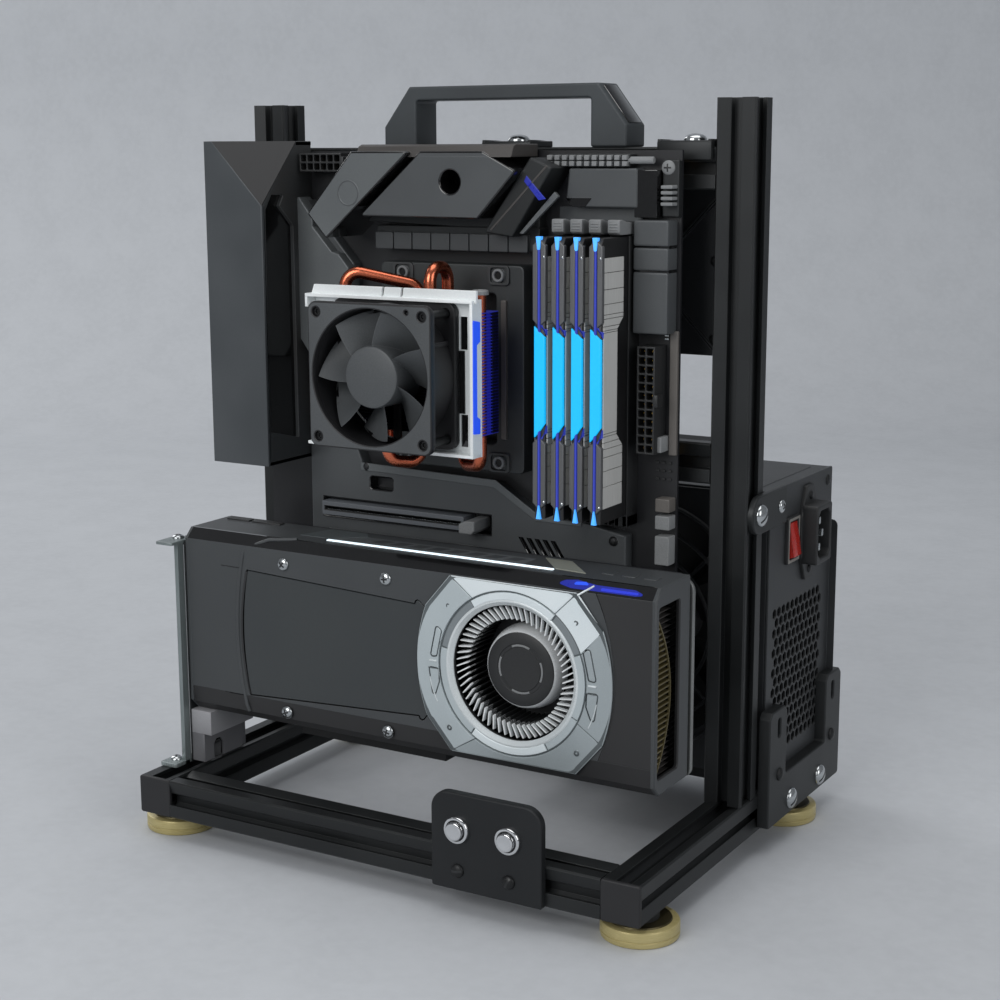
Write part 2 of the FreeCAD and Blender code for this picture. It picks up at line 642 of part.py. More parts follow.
# Sheet tray behind the crossbars with diagonal ribs
tray_low = grip_low - s.tray_high
tray = box("tray_sheet", (-bar_long / 2, post_back, tray_low), (bar_long, s.tray_thick, s.tray_high))
rib_reach = s.tray_high - s.rail - s.tray_rib * 2
ribs = []
for column in range(3):
    rib_left = -bar_long / 2 + bar_long * column / 3 + s.tray_rib * 2
    rib_right = rib_left + bar_long / 3 - s.tray_rib * 6
    for label, low_x, high_x in (("rise", rib_left, rib_right), ("fall", rib_right, rib_left)):
        corners = [(low_x, s.tray_rib), (low_x + s.tray_rib * 1.4, s.tray_rib),
                   (high_x + s.tray_rib * 1.4, rib_reach), (high_x, rib_reach)]
        ribs.append(outline("tray_rib_" + label + str(column), corners, s.tray_rib,
                            (0, post_back - s.tray_rib, tray_low), "front"))
keep("back_tray", fuse("back_tray", [tray] + ribs))

# Front switch plate with two push buttons
plate_low = foot_high
switch_z = plate_low + s.button_up
button_x = [s.switch_left + s.button_in, s.switch_left + s.button_in + s.button_pitch]
corner = s.switch_corner
slant = corner * (1 - math.sqrt(0.5))
plate_left, plate_right = s.switch_left, s.switch_left + s.switch_wide
plate_top = plate_low + s.switch_high
keep("switch_plate", outline("switch_plate", [
    (plate_left, plate_low), (plate_right, plate_low), (plate_right, plate_top - corner),
    (plate_right - slant, plate_top - slant), (plate_right - corner, plate_top),
    (plate_left + corner, plate_top), (plate_left + slant, plate_top - slant),
    (plate_left, plate_top - corner),
], s.switch_thick, (0, -s.switch_thick, 0), "front",
    holes=[((x, switch_z), s.barrel_radius) for x in button_x]
    + [((x, rail_z), s.pin_radius) for x in button_x]))

housings = []
for label, x in zip(("power", "reset"), button_x):
    bore = s.plunger_radius + s.slide_clear
    nut_start = s.bezel_thick + s.switch_thick
    section = [
        (bore, 0), (s.bezel_radius - 0.6, 0), (s.bezel_radius, 0.6),
        (s.bezel_radius, s.bezel_thick), (s.barrel_radius, s.bezel_thick),
        (s.barrel_radius, nut_start), (s.bezel_radius + 1.2, nut_start),
        (s.bezel_radius + 1.2, nut_start + 2.4), (s.barrel_radius, nut_start + 2.4),
        (s.barrel_radius, nut_start + s.barrel_long), (0, nut_start + s.barrel_long),
        (0, nut_start + s.barrel_long - 2), (bore, nut_start + s.barrel_long - 2),
    ]
    front = -s.switch_thick - s.bezel_thick
    housings.append(turned("housing_" + label, section, (x, front, switch_z), "back"))
    plunger = [
        (0, 0), (s.plunger_radius - 0.5, 0), (s.plunger_radius, 0.5),
        (s.plunger_radius, s.plunger_long), (0, s.plunger_long),
    ]
    keep(label + "_button", turned(label + "_button", plunger,
                                   (x, front - s.plunger_out, switch_z), "back"))
keep("button_housings", group("button_housings", housings))

plate_screws = [slotted_screw("plate_screw_" + str(number), (x, -s.switch_thick, rail_z), "front",
                              s.small_radius, s.small_high, s.pin_radius, s.switch_thick + 1)
                for number, x in enumerate(button_x)]

# Power supply: housing, fan side, fan, grille, inlet and rocker
vent_x = psu_right - s.psu_wall * 2
inlet_y = s.psu_front + s.inlet_in
inlet_z = psu_low + s.inlet_up
rocker_y = s.psu_front + s.rocker_in
fan_y = s.psu_front
psu_fan_x = psu_left + s.psu_wide / 2
psu_fan_z = psu_low + s.psu_high / 2


def vent_field():
    """A staggered field of hexagonal holes as one compound of prisms along X."""
    pitch = s.vent_pitch.value
    radius = s.vent_flat.value / math.sqrt(3)
    row_high = pitch * math.sqrt(3) / 2
    columns = int(s.vent_long.value // pitch)
    rows = int(s.vent_high.value // row_high)
    low_y = s.psu_front.value + s.vent_front.value
    low_z = psu_low.value + s.vent_up.value
    holes = []
    for row in range(rows):
        offset = pitch / 2 if row % 2 else 0.0
        for column in range(columns):
            y = low_y + column * pitch + offset
            z = low_z + row * row_high
            ring = [Vector(vent_x.value, y + radius * math.sin(math.radians(60 * k)),
                           z + radius * math.cos(math.radians(60 * k))) for k in range(7)]
            face = Part.Face(Part.makePolygon(ring))
            holes.append(face.extrude(Vector(s.psu_wall.value * 4, 0, 0)))
    return Part.makeCompound(holes)


wall = s.psu_wall
psu_shell = cut("psu_shell", box("psu_block", (psu_left, s.psu_front, psu_low),
                                 (s.psu_wide, s.psu_deep, s.psu_high)),
                [box("psu_inside", (psu_left + wall, s.psu_front - wall, psu_low + wall),
                     (s.psu_wide - wall * 2, s.psu_deep, s.psu_high - wall * 2))])
hole_clear = dim(0.3)
inlet_hole = box("psu_inlet_hole", (vent_x, inlet_y - s.inlet_core / 2 - hole_clear,
                                    inlet_z - s.inlet_rear / 2 - hole_clear),
                 (wall * 4, s.inlet_core + hole_clear * 2, s.inlet_rear + hole_clear * 2))
rocker_hole = box("psu_rocker_hole",
                  (vent_x, rocker_y - s.rocker_wide / 2, inlet_z - s.rocker_high / 2),
                  (wall * 4, s.rocker_wide, s.rocker_high))
keep("psu_housing", cut("psu_housing", psu_shell,
                        [shaped("psu_vents", vent_field()), inlet_hole, rocker_hole]))

fan_spokes = [rod("psu_motor", (psu_fan_x, fan_y + 30, psu_fan_z), s.psu_hub_radius * 0.8, 3, "back")]
fan_spokes.append(box("psu_spoke", (psu_left + wall + 0.3, fan_y + 30, psu_fan_z - 3),
                      (s.psu_wide - wall * 2 - 0.6, 3, 6)))
keep("psu_fan_mount", fuse("psu_fan_mount", fan_spokes))
inner = wall + 0.3
keep("psu_fan_side", outline("psu_fan_side", oblong(
    psu_left + inner, psu_low + inner, s.psu_wide - inner * 2, s.psu_high - inner * 2),
    wall, (0, s.psu_front, 0), "front",
    holes=[((psu_fan_x, psu_fan_z), s.psu_fan_radius)]))


def blade_wheel(hub, reach, count, centre, depth, front, pitch_deg, thick):
    """An axial fan wheel: a hub cup and flat blades set at an angle, axis along Y."""
    x, z = centre
    wheel = [Part.makeCylinder(hub, depth, Vector(x, front, z), Vector(0, 1, 0))]
    chord = depth / math.sin(math.radians(pitch_deg)) * 0.82
    for number in range(count):
        blade = Part.makeBox(reach - hub + 2, thick, chord,
                             Vector(hub - 2, -thick / 2, -chord / 2))
        blade.rotate(Vector(0, 0, 0), Vector(1, 0, 0), 180 - pitch_deg)
        blade.rotate(Vector(0, 0, 0), Vector(0, 1, 0), 360.0 * number / count)
        blade.translate(Vector(x, front + depth / 2, z))
        wheel.append(blade)
    ring = Part.makeCylinder(reach, depth, Vector(x, front, z), Vector(0, 1, 0))
    return wheel[0].fuse(wheel[1:]).common(ring).removeSplitter()


keep("psu_fan_rotor", shaped("psu_fan_rotor", blade_wheel(
    s.psu_hub_radius.value, s.psu_fan_radius.value - 1.5, 7,
    (psu_fan_x.value, psu_fan_z.value), 22.0, fan_y.value + 7.5, 40.0, 1.6)))


def wire_grille():
    """Concentric rings of wire joined by radial wires, in front of the fan."""
    wire = s.grille_wire.value
    middle = Vector(psu_fan_x.value, s.psu_front.value - wire * 3, psu_fan_z.value)
    outer = s.psu_fan_radius.value + 4
    count = 5
    axis = Vector(0, 1, 0)
    base = middle - axis * wire
    pieces = []
    for index in range(count):
        radius = outer * (index + 1.0) / count
        disc = Part.makeCylinder(radius + wire, wire * 2, base, axis)
        pieces.append(disc.cut(Part.makeCylinder(radius - wire, wire * 2, base, axis)))
    for number in range(4):
        angle = math.radians(45 + 90 * number)
        way = Vector(math.cos(angle), 0, math.sin(angle))
        across = Vector(-math.sin(angle), 0, math.cos(angle))
        bar = Part.makeBox(outer - wire * 2, wire * 2, wire * 2)
        bar.Placement = FreeCAD.Placement(
            middle + way * (wire * 2) - across * wire + Vector(0, wire, 0),
            Rotation(Vector(0, 1, 0), -math.degrees(angle)))
        pieces.append(bar)
    return Part.makeCompound(pieces)


keep("psu_fan_grille", shaped("psu_fan_grille", wire_grille()))

tip = s.inlet_high / 2
half_inlet = s.inlet_wide / 2
inlet_flange = outline("inlet_flange", [
    (inlet_y - half_inlet, inlet_z - 9), (inlet_y - 5, inlet_z - tip),
    (inlet_y + 5, inlet_z - tip), (inlet_y + half_inlet, inlet_z - 9),
    (inlet_y + half_inlet, inlet_z + 9), (inlet_y + 5, inlet_z + tip),
    (inlet_y - 5, inlet_z + tip), (inlet_y - half_inlet, inlet_z + 9),
], dim(2), (psu_right, 0, 0), "side")
shell_high = dim(31)
core_y = inlet_y - s.inlet_core / 2
core_z = inlet_z - s.inlet_rear / 2
inlet_body = box("inlet_body", (psu_right + 2, core_y, inlet_z - shell_high / 2),
                 (s.inlet_out - 2, s.inlet_core, shell_high))
inlet_rear = box("inlet_rear", (psu_right - 12, core_y, core_z), (12, s.inlet_core, s.inlet_rear))
inlet_recess = box("inlet_recess", (psu_right - 6, inlet_y - s.inlet_recess / 2, inlet_z - 12.5),
                   (s.inlet_out + 12, s.inlet_recess, 25))
inlet_case = cut("inlet_case", fuse("inlet_solid", [inlet_flange, inlet_body, inlet_rear]),
                 [inlet_recess])
pins = [box("inlet_pin_" + str(number), (psu_right - 11, inlet_y + side - 1, inlet_z + up - 2),
            (s.inlet_out + 8, 2, 4)) for number, (side, up) in
        enumerate(((-2, 7.0), (2, 0.0), (-2, -7.0)))]
inlet_floor = box("inlet_floor", (psu_right - 12, core_y, core_z), (3, s.inlet_core, s.inlet_rear))
keep("power_inlet", fuse("power_inlet", [inlet_case, inlet_floor] + pins))

rim = s.rocker_rim
bezel_deep = dim(8)
rocker_low = inlet_z - s.rocker_high / 2
rocker_bezel = cut("rocker_bezel", fuse("rocker_bezel_solid", [
    box("rocker_flange", (psu_right, rocker_y - s.rocker_wide / 2 - rim, rocker_low - rim),
        (2, s.rocker_wide + rim * 2, s.rocker_high + rim * 2)),
    box("rocker_well", (psu_right - bezel_deep, rocker_y - s.rocker_wide / 2, rocker_low),
        (bezel_deep, s.rocker_wide, s.rocker_high)),
]), [box("rocker_room", (psu_right - bezel_deep + 1, rocker_y - s.rocker_wide / 2 + 1,
                         rocker_low + 1), (20, s.rocker_wide - 2, s.rocker_high - 2))])
keep("rocker_bezel", rocker_bezel)
rocker_end = s.rocker_high / 2 - 1.3
keep("rocker_switch", outline("rocker_switch", [
    (1.2, -rocker_end - 0.1), (4.4, -rocker_end + 0.9), (3.2, 0), (1.6, rocker_end - 0.1),
    (-1.2, rocker_end - 0.2), (-4.6, 2.5), (-4.6, -2.5),
], s.rocker_wide - 3, (psu_right, rocker_y - s.rocker_wide / 2 + 1.5, inlet_z), "front"))

# Bracket and tab that hold the power supply to the rail and the post
ear = s.stay_ear
stay_low = foot_high + 2
stay_corners = [
    (0, 0), (s.stay_wide, 0), (s.stay_wide, s.stay_high - s.stay_edge),
    (s.stay_wide - s.stay_edge, s.stay_high),
    (s.stay_wide - ear + s.stay_edge, s.stay_high),
    (s.stay_wide - ear, s.stay_high - s.stay_edge),
    (s.stay_wide - ear, s.stay_bar), (ear, s.stay_bar),
    (ear, s.stay_high - s.stay_edge), (ear - s.stay_edge, s.stay_high),
    (s.stay_edge, s.stay_high), (0, s.stay_high - s.stay_edge),
]
stay_slots = []
for label, middle in (("near", ear * 0.55), ("far", s.stay_wide - ear * 0.55)):
    stay_slots.append(oblong(middle - 2, s.stay_high - 15, dim(4), dim(10)))
ear_screw_in = ear * 0.6
ear_screw_up = s.stay_bar + 2
stay_holes = [((s.stay_wide / 2 - s.stay_pitch / 2, rail_z - stay_low), s.bolt_radius),
              ((s.stay_wide / 2 + s.stay_pitch / 2, rail_z - stay_low), s.bolt_radius),
              ((ear_screw_in, ear_screw_up), s.pin_radius),
              ((s.stay_wide - ear_screw_in, ear_screw_up), s.pin_radius)]
keep("psu_bracket", outline("psu_bracket", stay_corners, s.stay_thick,
                            (psu_right, stay_front, stay_low), "side", loops=stay_slots,
                            holes=stay_holes))

tab_low = psu_low + s.tab_up
tab_radius = s.tab_high / 2
tab_start = post_y - tab_radius
tab_corners = [
    (tab_start, tab_low + tab_radius * 0.6), (tab_start + tab_radius * 0.3, tab_low + tab_radius * 0.17),
    (tab_start + tab_radius, tab_low), (tab_start + s.tab_long, tab_low),
    (tab_start + s.tab_long, tab_low + s.tab_high),
    (tab_start + tab_radius, tab_low + s.tab_high),
    (tab_start + tab_radius * 0.3, tab_low + s.tab_high - tab_radius * 0.17),
    (tab_start, tab_low + s.tab_high - tab_radius * 0.6),
]
tab_middle = tab_low + tab_radius
tab_screw_y = s.psu_front + 6.5
keep("psu_tab", outline("psu_tab", tab_corners, s.tab_thick, (psu_right, 0, 0), "side",
                        holes=[((post_y, tab_middle), s.bolt_radius),
                               ((tab_screw_y, tab_middle), s.pin_radius)]))

tab_face = psu_right + s.tab_thick
stay_face = psu_right + s.stay_thick
dome_screws = [slotted_screw("dome_tab", (tab_face, post_y, tab_middle), "right",
                             s.dome_radius, s.dome_high, s.bolt_radius, s.tab_thick + 1)]
for label, offset in (("near", -s.stay_pitch / 2), ("far", s.stay_pitch / 2)):
    dome_screws.append(slotted_screw("dome_" + label, (stay_face, psu_mid + offset, rail_z),
                                     "right", s.dome_radius, s.dome_high, s.bolt_radius,
                                     s.stay_thick + 1))
keep("dome_screws", group("dome_screws", dome_screws + angle_screws))
ear_screws = [slotted_screw("ear_screw_" + label, (stay_face, y, stay_low + ear_screw_up),
                            "right", s.small_radius, s.small_high, s.pin_radius, s.stay_thick)
              for label, y in (("near", stay_front + ear_screw_in),
                               ("far", stay_front + s.stay_wide - ear_screw_in))]
keep("black_screws", group("black_screws", plate_screws + ear_screws))

# Graphics card: shroud, window, fan surround, blower, fins, boards and screws
shroud_left = -s.card_left + s.bracket_thick
shroud_long = s.card_right - shroud_left
bevel = s.card_bevel
shroud_block = outline("shroud_block", [
    (s.card_front + bevel, s.card_low), (card_back, s.card_low), (card_back, card_top),
    (s.card_front + bevel, card_top), (s.card_front, card_top - bevel),
    (s.card_front, s.card_low + bevel),
], shroud_long, (shroud_left, 0, 0), "side")
shroud_wall = s.card_wall
shroud_face = shroud_wall * 1.5
shroud_screws = [(-s.window_left + side, s.card_low + up)
                 for side in (s.window_screw, s.window_wide - s.window_screw)
                 for up in (s.window_up - s.window_screw_off,
                            s.window_up + s.window_high + s.window_screw_off)]
shroud_holes = [rod("shroud_hole_" + str(number), (x, s.card_front - 1, z), s.pin_radius, 5, "back")
                for number, (x, z) in enumerate(shroud_screws)]
shroud_room = box("shroud_room", (shroud_left + shroud_wall, s.card_front + shroud_face,
                                  s.card_low + shroud_wall),
                  (shroud_long - shroud_wall * 2, s.card_thick, s.card_high - shroud_wall * 2))
shroud_mouth = rod("shroud_mouth", (s.blower_x, s.card_front - 1, blower_z), s.blower_mouth, 10, "back")
window_z = s.card_low + s.window_up
shroud_window = box("shroud_window", (-s.window_left, s.card_front - 1, window_z),
                    (s.window_wide, 10, s.window_high))
shroud_outlet = box("shroud_outlet", (s.card_right - 10, s.card_front + 5, s.card_low + 8),
                    (20, 15, s.card_high - 17))
keep("card_shroud", cut("card_shroud", shroud_block,
                        [shroud_room, shroud_mouth, shroud_window, shroud_outlet] + shroud_holes))
keep("card_window", box("card_window", (-s.window_left + 0.2, s.card_front + 0.8, window_z + 0.2),
                        (s.window_wide - 0.4, 1.8, s.window_high - 0.4)))
ring_x, ring_z = s.ring_half, s.ring_tall
ring_quarter = [(s.ring_side_x, s.ring_side_z), (s.ring_flat, ring_z)]
ring_corners = [(ring_x, 0), *ring_quarter, *[(-x, z) for x, z in reversed(ring_quarter)],
                (-ring_x, 0), *[(-x, -z) for x, z in ring_quarter],
                *[(x, -z) for x, z in reversed(ring_quarter)]]
keep("card_fan_ring", outline("card_fan_ring", ring_corners, s.ring_out,
                              (s.blower_x, s.card_front - s.ring_out, blower_z), "front",
                              holes=[((0, 0), s.blower_mouth - 1)]))


def blower_wheel():
    """A radial wheel: a hub dome on a disc with thin upright blades near the rim."""
    x, z = s.blower_x.value, blower_z.value
    front = s.card_front.value + 1
    deep = s.blower_deep.value
    axis = Vector(0, 1, 0)
    outer, inner_edge = s.blower_wheel.value, s.blower_eye.value
    base = Part.makeCylinder(outer, 1.6, Vector(x, front + deep - 1.6, z), axis)
    hub_in = s.hub_in.value
    hub = Part.makeCylinder(s.blower_hub.value, deep - hub_in, Vector(x, front + hub_in, z), axis)
    band = Part.makeCylinder(outer, 1.2, Vector(x, front, z), axis).cut(
        Part.makeCylinder(outer - 1.2, 1.2, Vector(x, front, z), axis))
    pieces = [hub, band]
    count = int(s.blower_blades.value)
    for number in range(count):
        blade = Part.makeBox(outer - inner_edge - 0.4, deep - 1, 0.8,
                             Vector(inner_edge, 0.5, -0.4))
        blade.rotate(Vector(inner_edge, 0, 0), Vector(0, 1, 0), 24)
        blade.rotate(Vector(0, 0, 0), Vector(0, 1, 0), 360.0 * number / count)
        blade.translate(Vector(x, front, z))
        pieces.append(blade)
    rim_limit = Part.makeCylinder(outer, deep, Vector(x, front, z), axis)
    return base.fuse(pieces).common(rim_limit)


keep("card_blower", shaped("card_blower", blower_wheel()))
card_board = fuse("card_board", [
    box("card_board_main", (shroud_left + 1, card_back, s.card_low),
        (shroud_long - 6, s.card_board_thick, s.card_high)),
    box("card_edge", (-s.card_left + 53, card_back, s.card_low - 9), (85, s.card_board_thick, 9)),
])
blower_boss = rod("blower_boss", (s.blower_x, s.card_front + 1.4 + s.blower_deep, blower_z), 14,
                  s.card_thick - s.blower_deep - 1.4, "back")
keep("card_board", fuse("card_board_whole", [card_board, blower_boss]))
plate_left_x = dim(21)
keep("card_back_plate", box("card_back_plate",
                            (plate_left_x, card_back + s.card_board_thick, s.card_low - 1),
                            (s.card_right - plate_left_x + 1, s.back_plate, s.card_high - 1)))


def outlet_fins():
    """A stack of level fins at the card's outlet, joined by a spine behind them."""
    low = s.card_low.value + 5
    right = s.card_right.value - s.card_wall.value - 0.5
    front = s.card_front.value + 7
    deep = 22.0
    long = 22.0
    count = int((s.card_high.value - 11) // s.fin_pitch.value)
    pieces = [Part.makeBox(long, deep, s.fin_thick.value,
                           Vector(right - long, front, low + s.fin_pitch.value * number))
              for number in range(count)]
    spine = Part.makeBox(long, 5, s.fin_pitch.value * (count - 1) + s.fin_thick.value,
                         Vector(right - long, front + deep, low))
    return spine.fuse(pieces).removeSplitter()


keep("card_fins", shaped("card_fins", outlet_fins()))
card_screws = []
for number, (x, z) in enumerate(shroud_screws):
    card_screws.append(slotted_screw("card_screw_" + str(number), (x, s.card_front, z), "front",
                                     s.small_radius, s.small_high, s.pin_radius, shroud_face))

# Slot bracket of the card, the strut that carries it and the edge socket below it
bracket_x = -s.card_left
tongue_mid = s.bracket_wide * 0.45
bracket_corners = [
    (0, 0), (tongue_mid - s.tongue_notch / 2, 0),
    (tongue_mid - s.tongue_notch / 2, s.tongue_long - 2),
    (tongue_mid - s.tongue_notch / 4, s.tongue_long),
    (tongue_mid + s.tongue_notch / 4, s.tongue_long),
    (tongue_mid + s.tongue_notch / 2, s.tongue_long - 2),
    (tongue_mid + s.tongue_notch / 2, 0), (s.bracket_wide, 0),
    (s.bracket_wide, s.bracket_high), (0, s.bracket_high),
]
bracket_plate = outline("bracket_plate", bracket_corners, s.bracket_thick,
                        (bracket_x, s.card_front, base_top), "side")
bracket_flange = box("bracket_flange",
                     (bracket_x - s.bracket_flange, s.card_front, base_top + s.bracket_high - 1),
                     (s.bracket_flange + s.bracket_thick, s.bracket_wide * 0.5, s.bracket_thick))
keep("card_bracket", fuse("card_bracket", [bracket_plate, bracket_flange]))
strut_x = bracket_x - s.strut_thick
strut_top = base_top + s.bracket_high
strut_foot_x = -half_base + 3.8
strut_foot_y = s.card_front - s.strut_wide / 2
strut_head_x = bracket_x - 6
strut_head_y = s.card_front + 3
strut_holes = [rod("strut_foot_hole", (strut_foot_x, strut_foot_y, base_top - 1), s.pin_radius, 4),
               rod("strut_head_hole", (strut_head_x, strut_head_y, strut_top - 1), s.pin_radius, 4)]
keep("card_strut", cut("card_strut", fuse("card_strut_whole", [
    box("strut_bar", (strut_x, s.card_front - s.strut_wide, base_top),
        (s.strut_thick, s.strut_wide, s.bracket_high)),
    box("strut_foot", (-half_base, s.card_front - s.strut_wide - 3, base_top),
        (half_base + strut_x + s.strut_thick, s.strut_wide + 3, 2)),
    box("strut_head", (bracket_x - s.bracket_flange, s.card_front - s.strut_wide, strut_top),
        (s.bracket_flange, s.strut_wide + 8, 1.5)),
]), strut_holes))
card_small = [
    slotted_screw("strut_foot_screw", (strut_foot_x, strut_foot_y, base_top + 2),
                  "up", s.small_radius, s.small_high, s.pin_radius, 2),
    slotted_screw("strut_head_screw", (strut_head_x, strut_head_y, strut_top + 1.5),
                  "up", s.small_radius, s.small_high, s.pin_radius, 1.5),
    slotted_screw("tab_small_screw", (tab_face, tab_screw_y, tab_middle), "right",
                  s.small_radius, s.small_high, s.pin_radius, s.tab_thick),
]
riser_left = -s.card_left + 50
keep("riser_socket", cut("riser_socket", box(
    "riser_block", (riser_left, card_back - 3.5, s.card_low - 15), (91, 9, 14.6)),
    [box("riser_groove", (riser_left + 2, card_back - 0.2, s.card_low - 9.2), (87, 2, 10))]))

# Mainboard on its standoffs, with covers, sockets and latches
standoffs = [(x, z) for x in (board_x(s.standoff_in), dim(0), board_right - s.standoff_in)
             for z in (top_bar_low + s.rail / 2, mid_bar_low + s.rail / 2)]
keep("mainboard", outline("mainboard", oblong(-s.board_left, board_low, s.board_wide, s.board_high),
                          s.board_thick, (0, board_face, 0), "front"))
keep("board_standoffs", group("board_standoffs", [
    rod("standoff_" + str(number), (x, board_back, z), s.standoff_radius, s.board_gap, "back")
    for number, (x, z) in enumerate(standoffs)]))

cover_top = s.board_top + s.cover_over
cover_low = cover_top - s.cover_high
cover_deep = board_face - s.cover_front
cover_left = -s.cover_left
cover_block = box("cover_block", (cover_left, s.cover_front, cover_low),
                  (s.cover_wide, cover_deep, s.cover_high))


def corner_wedge():
    """The corner that is cut off the port cover: a solid with four triangular faces."""
    right = cover_left.value + s.cover_wide.value
    top = cover_top.value
    front = s.cover_front.value
    out = 3.0
    tip = Vector(right + out, front - out, top + out)
    ends = [Vector(right - 31 - out, front - out, top + out),
            Vector(right + out, front + 30 + out, top + out),
            Vector(right + out, front - out, top - 32 - out)]
    faces = [Part.Face(Part.makePolygon([a, b, c, a])) for a, b, c in (
        (tip, ends[0], ends[1]), (tip, ends[1], ends[2]), (tip, ends[2], ends[0]), tuple(ends))]
    return Part.Solid(Part.Shell(faces))


inside = s.cover_wall
port_room = box("cover_room", (cover_left + inside, s.cover_front + inside * 4, cover_low + inside),
                (s.cover_wide - inside * 2, cover_deep, s.cover_high - inside * 2 - 34))
ports = [box("port_" + str(number), (cover_left - 1, board_face - 20, cover_low + low), (inside + 2, 16, high))
         for number, (low, high) in enumerate(((8, 12), (24, 12), (42, 17), (63, 17), (84, 17), (106, 14)))]
keep("port_cover", cut("port_cover", cover_block, [shaped("cover_wedge", corner_wedge()), port_room] + ports))

block_front = board_face - s.block_out
regulator = outline("regulator_block", [
    *on_board([(79.2, 32), (148.8, 32.4), (170.2, 9.5), (151.8, 0.2), (116, 0.2)]),
], s.block_out, (0, block_front, 0), "front", holes=[((board_x(134), board_z(15)), 6)])
regulator_bars = [
    outline("regulator_bar_left", on_board([(50.5, 31), (62, 43.4), (112.5, 0.2), (78, 0.2)]),
            s.bar_out, (0, board_face - s.bar_out, 0), "front"),
    outline("regulator_bar_right", on_board([(148, 39), (164, 41), (186, 8), (174, 3)]),
            s.block_out - s.armour_out, (0, block_front + s.armour_out, 0), "front"),
    outline("regulator_fins", on_board([(78, 48), (173, 48), (173, 37), (78, 37)]),
            s.socket_out, (0, socket_front, 0), "front"),
    outline("regulator_web", on_board([(68, 35), (172, 39), (172, 23), (68, 23)]),
            s.armour_out, (0, board_face - s.armour_out, 0), "front"),
]
keep("regulator_cover", fuse("regulator_cover", [regulator] + regulator_bars))

armour_front = board_face - s.armour_out
slot_z = board_z(s.slot_drop)
slot_left = board_x(s.slot_in)
slot_long = s.slot_long
armour_left = cover_left + s.cover_wide + 0.5 + s.board_left
armour = outline("armour_plate", on_board([
    (armour_left, 301), (220, 301), (220, 184), (198, 180), (173, 180), (148, 165), (66, 163),
    (62, 153), (62, 57), (armour_left, 23),
]), s.armour_out, (0, armour_front, 0), "front",
    loops=[[(slot_left - 1, slot_z - 1), (slot_left + slot_long + 13.5, slot_z - 1),
            (slot_left + slot_long + 13.5, slot_z + 8.5), (slot_left - 1, slot_z + 8.5)]])
keep("board_armour", armour)

right_cover = outline("right_cover_low", oblong(board_x(224), board_z(85), 18, 53), dim(10),
                      (0, board_face - 10, 0), "front")
upper_cover = outline("right_cover_high", oblong(board_x(188.5), board_z(27), 38, 19), dim(8),
                      (0, board_face - 8, 0), "front")
join_cover = outline("right_cover_join", oblong(board_x(224), board_z(33), 6, 12), dim(7),
                     (0, board_face - 7, 0), "front")
keep("right_cover", fuse("right_cover", [right_cover, upper_cover, join_cover]))

sockets = []
for number in range(4):
    x = stick_x(number)
    sockets.append(cut("memory_socket_" + str(number), box(
        "memory_block_" + str(number), (x - s.stick_wide / 2, socket_front, stick_low - 6),
        (s.stick_wide, s.socket_out, s.stick_long + 6.2)),
        [box("memory_groove_" + str(number), (x - 0.8, socket_front - 1, stick_low - 0.2),
             (1.6, 6.2, s.stick_long + 0.3))]))
sockets.append(cut("slot_socket", box("slot_block", (slot_left, socket_front, slot_z),
                                      (slot_long, s.socket_out, s.slot_high)),
                   [box("slot_groove", (slot_left + 2, socket_front - 1,
                                        slot_z + s.slot_high / 2 - 0.85),
                        (slot_long - 4, s.socket_out - 2, 1.7))]))
keep("edge_sockets", group("edge_sockets", sockets))

sticks = []
for number in range(4):
    x = stick_x(number)
    body = outline("stick_body_" + str(number), [
        (stick_front, stick_low), (socket_front - 0.4, stick_low),
        (socket_front - 0.4, stick_top), (stick_front + 3, stick_top),
        (stick_front, stick_top - 3),
    ], s.stick_wide, (x - s.stick_wide / 2, 0, 0), "side")
    edge = box("stick_edge_" + str(number), (x - s.stick_board / 2, socket_front - 1, stick_low),
               (s.stick_board, 6, s.stick_long))
    sticks.append(fuse("stick_" + str(number), [body, edge]))
keep("memory_modules", group("memory_modules", sticks))

latch_low = stick_top + s.latch_gap + 0.2
latch_front = board_face - s.latch_out
for number in range(4):
    x = stick_x(number)
    keep("memory_latch_" + str(number + 1), outline("memory_latch_" + str(number + 1), [
        (latch_front, latch_low + 1), (latch_front + 2, latch_low), (board_face - 2, latch_low),
        (board_face - 2, latch_low + s.latch_high - 2),
        (latch_front + 8, latch_low + s.latch_high - 1), (latch_front + 3, latch_low + s.latch_high),
        (latch_front, latch_low + s.latch_high),
    ], s.stick_wide - 0.6, (x - s.stick_wide / 2 + 0.3, 0, 0), "side"))
keep("slot_latch", outline("slot_latch", [
    (0, 0), (7.4, 0), (9.4, 2), (9.4, 7), (4, 7), (0, 5),
], dim(16), (slot_left + slot_long + 0.7, board_face - 17.5, slot_z), "front"))


def pin_socket(name, left, low, columns, rows):
    """A power socket: a block with a square cell for each contact."""
    pitch, cell = s.pin_pitch.value, s.pin_cell.value
    edge = pitch - cell
    deep = s.pin_out.value
    front = board_face.value - deep
    corner = Vector(left.value, front, low.value)
    block = Part.makeBox(columns * pitch + edge, deep, rows * pitch + edge, corner)
    cells = [Part.makeBox(cell, deep - 3, cell,
                          corner + Vector(edge + pitch * column, -1, edge + pitch * row))
             for column in range(columns) for row in range(rows)]
    return shaped(name, block.cut(Part.makeCompound(cells)))


keep("power_sockets", group("power_sockets", [
    pin_socket("main_power_socket", board_x(228), board_z(142), 2, 12),
    pin_socket("processor_power_socket", board_x(33), board_z(10.5), 6, 2),
]))

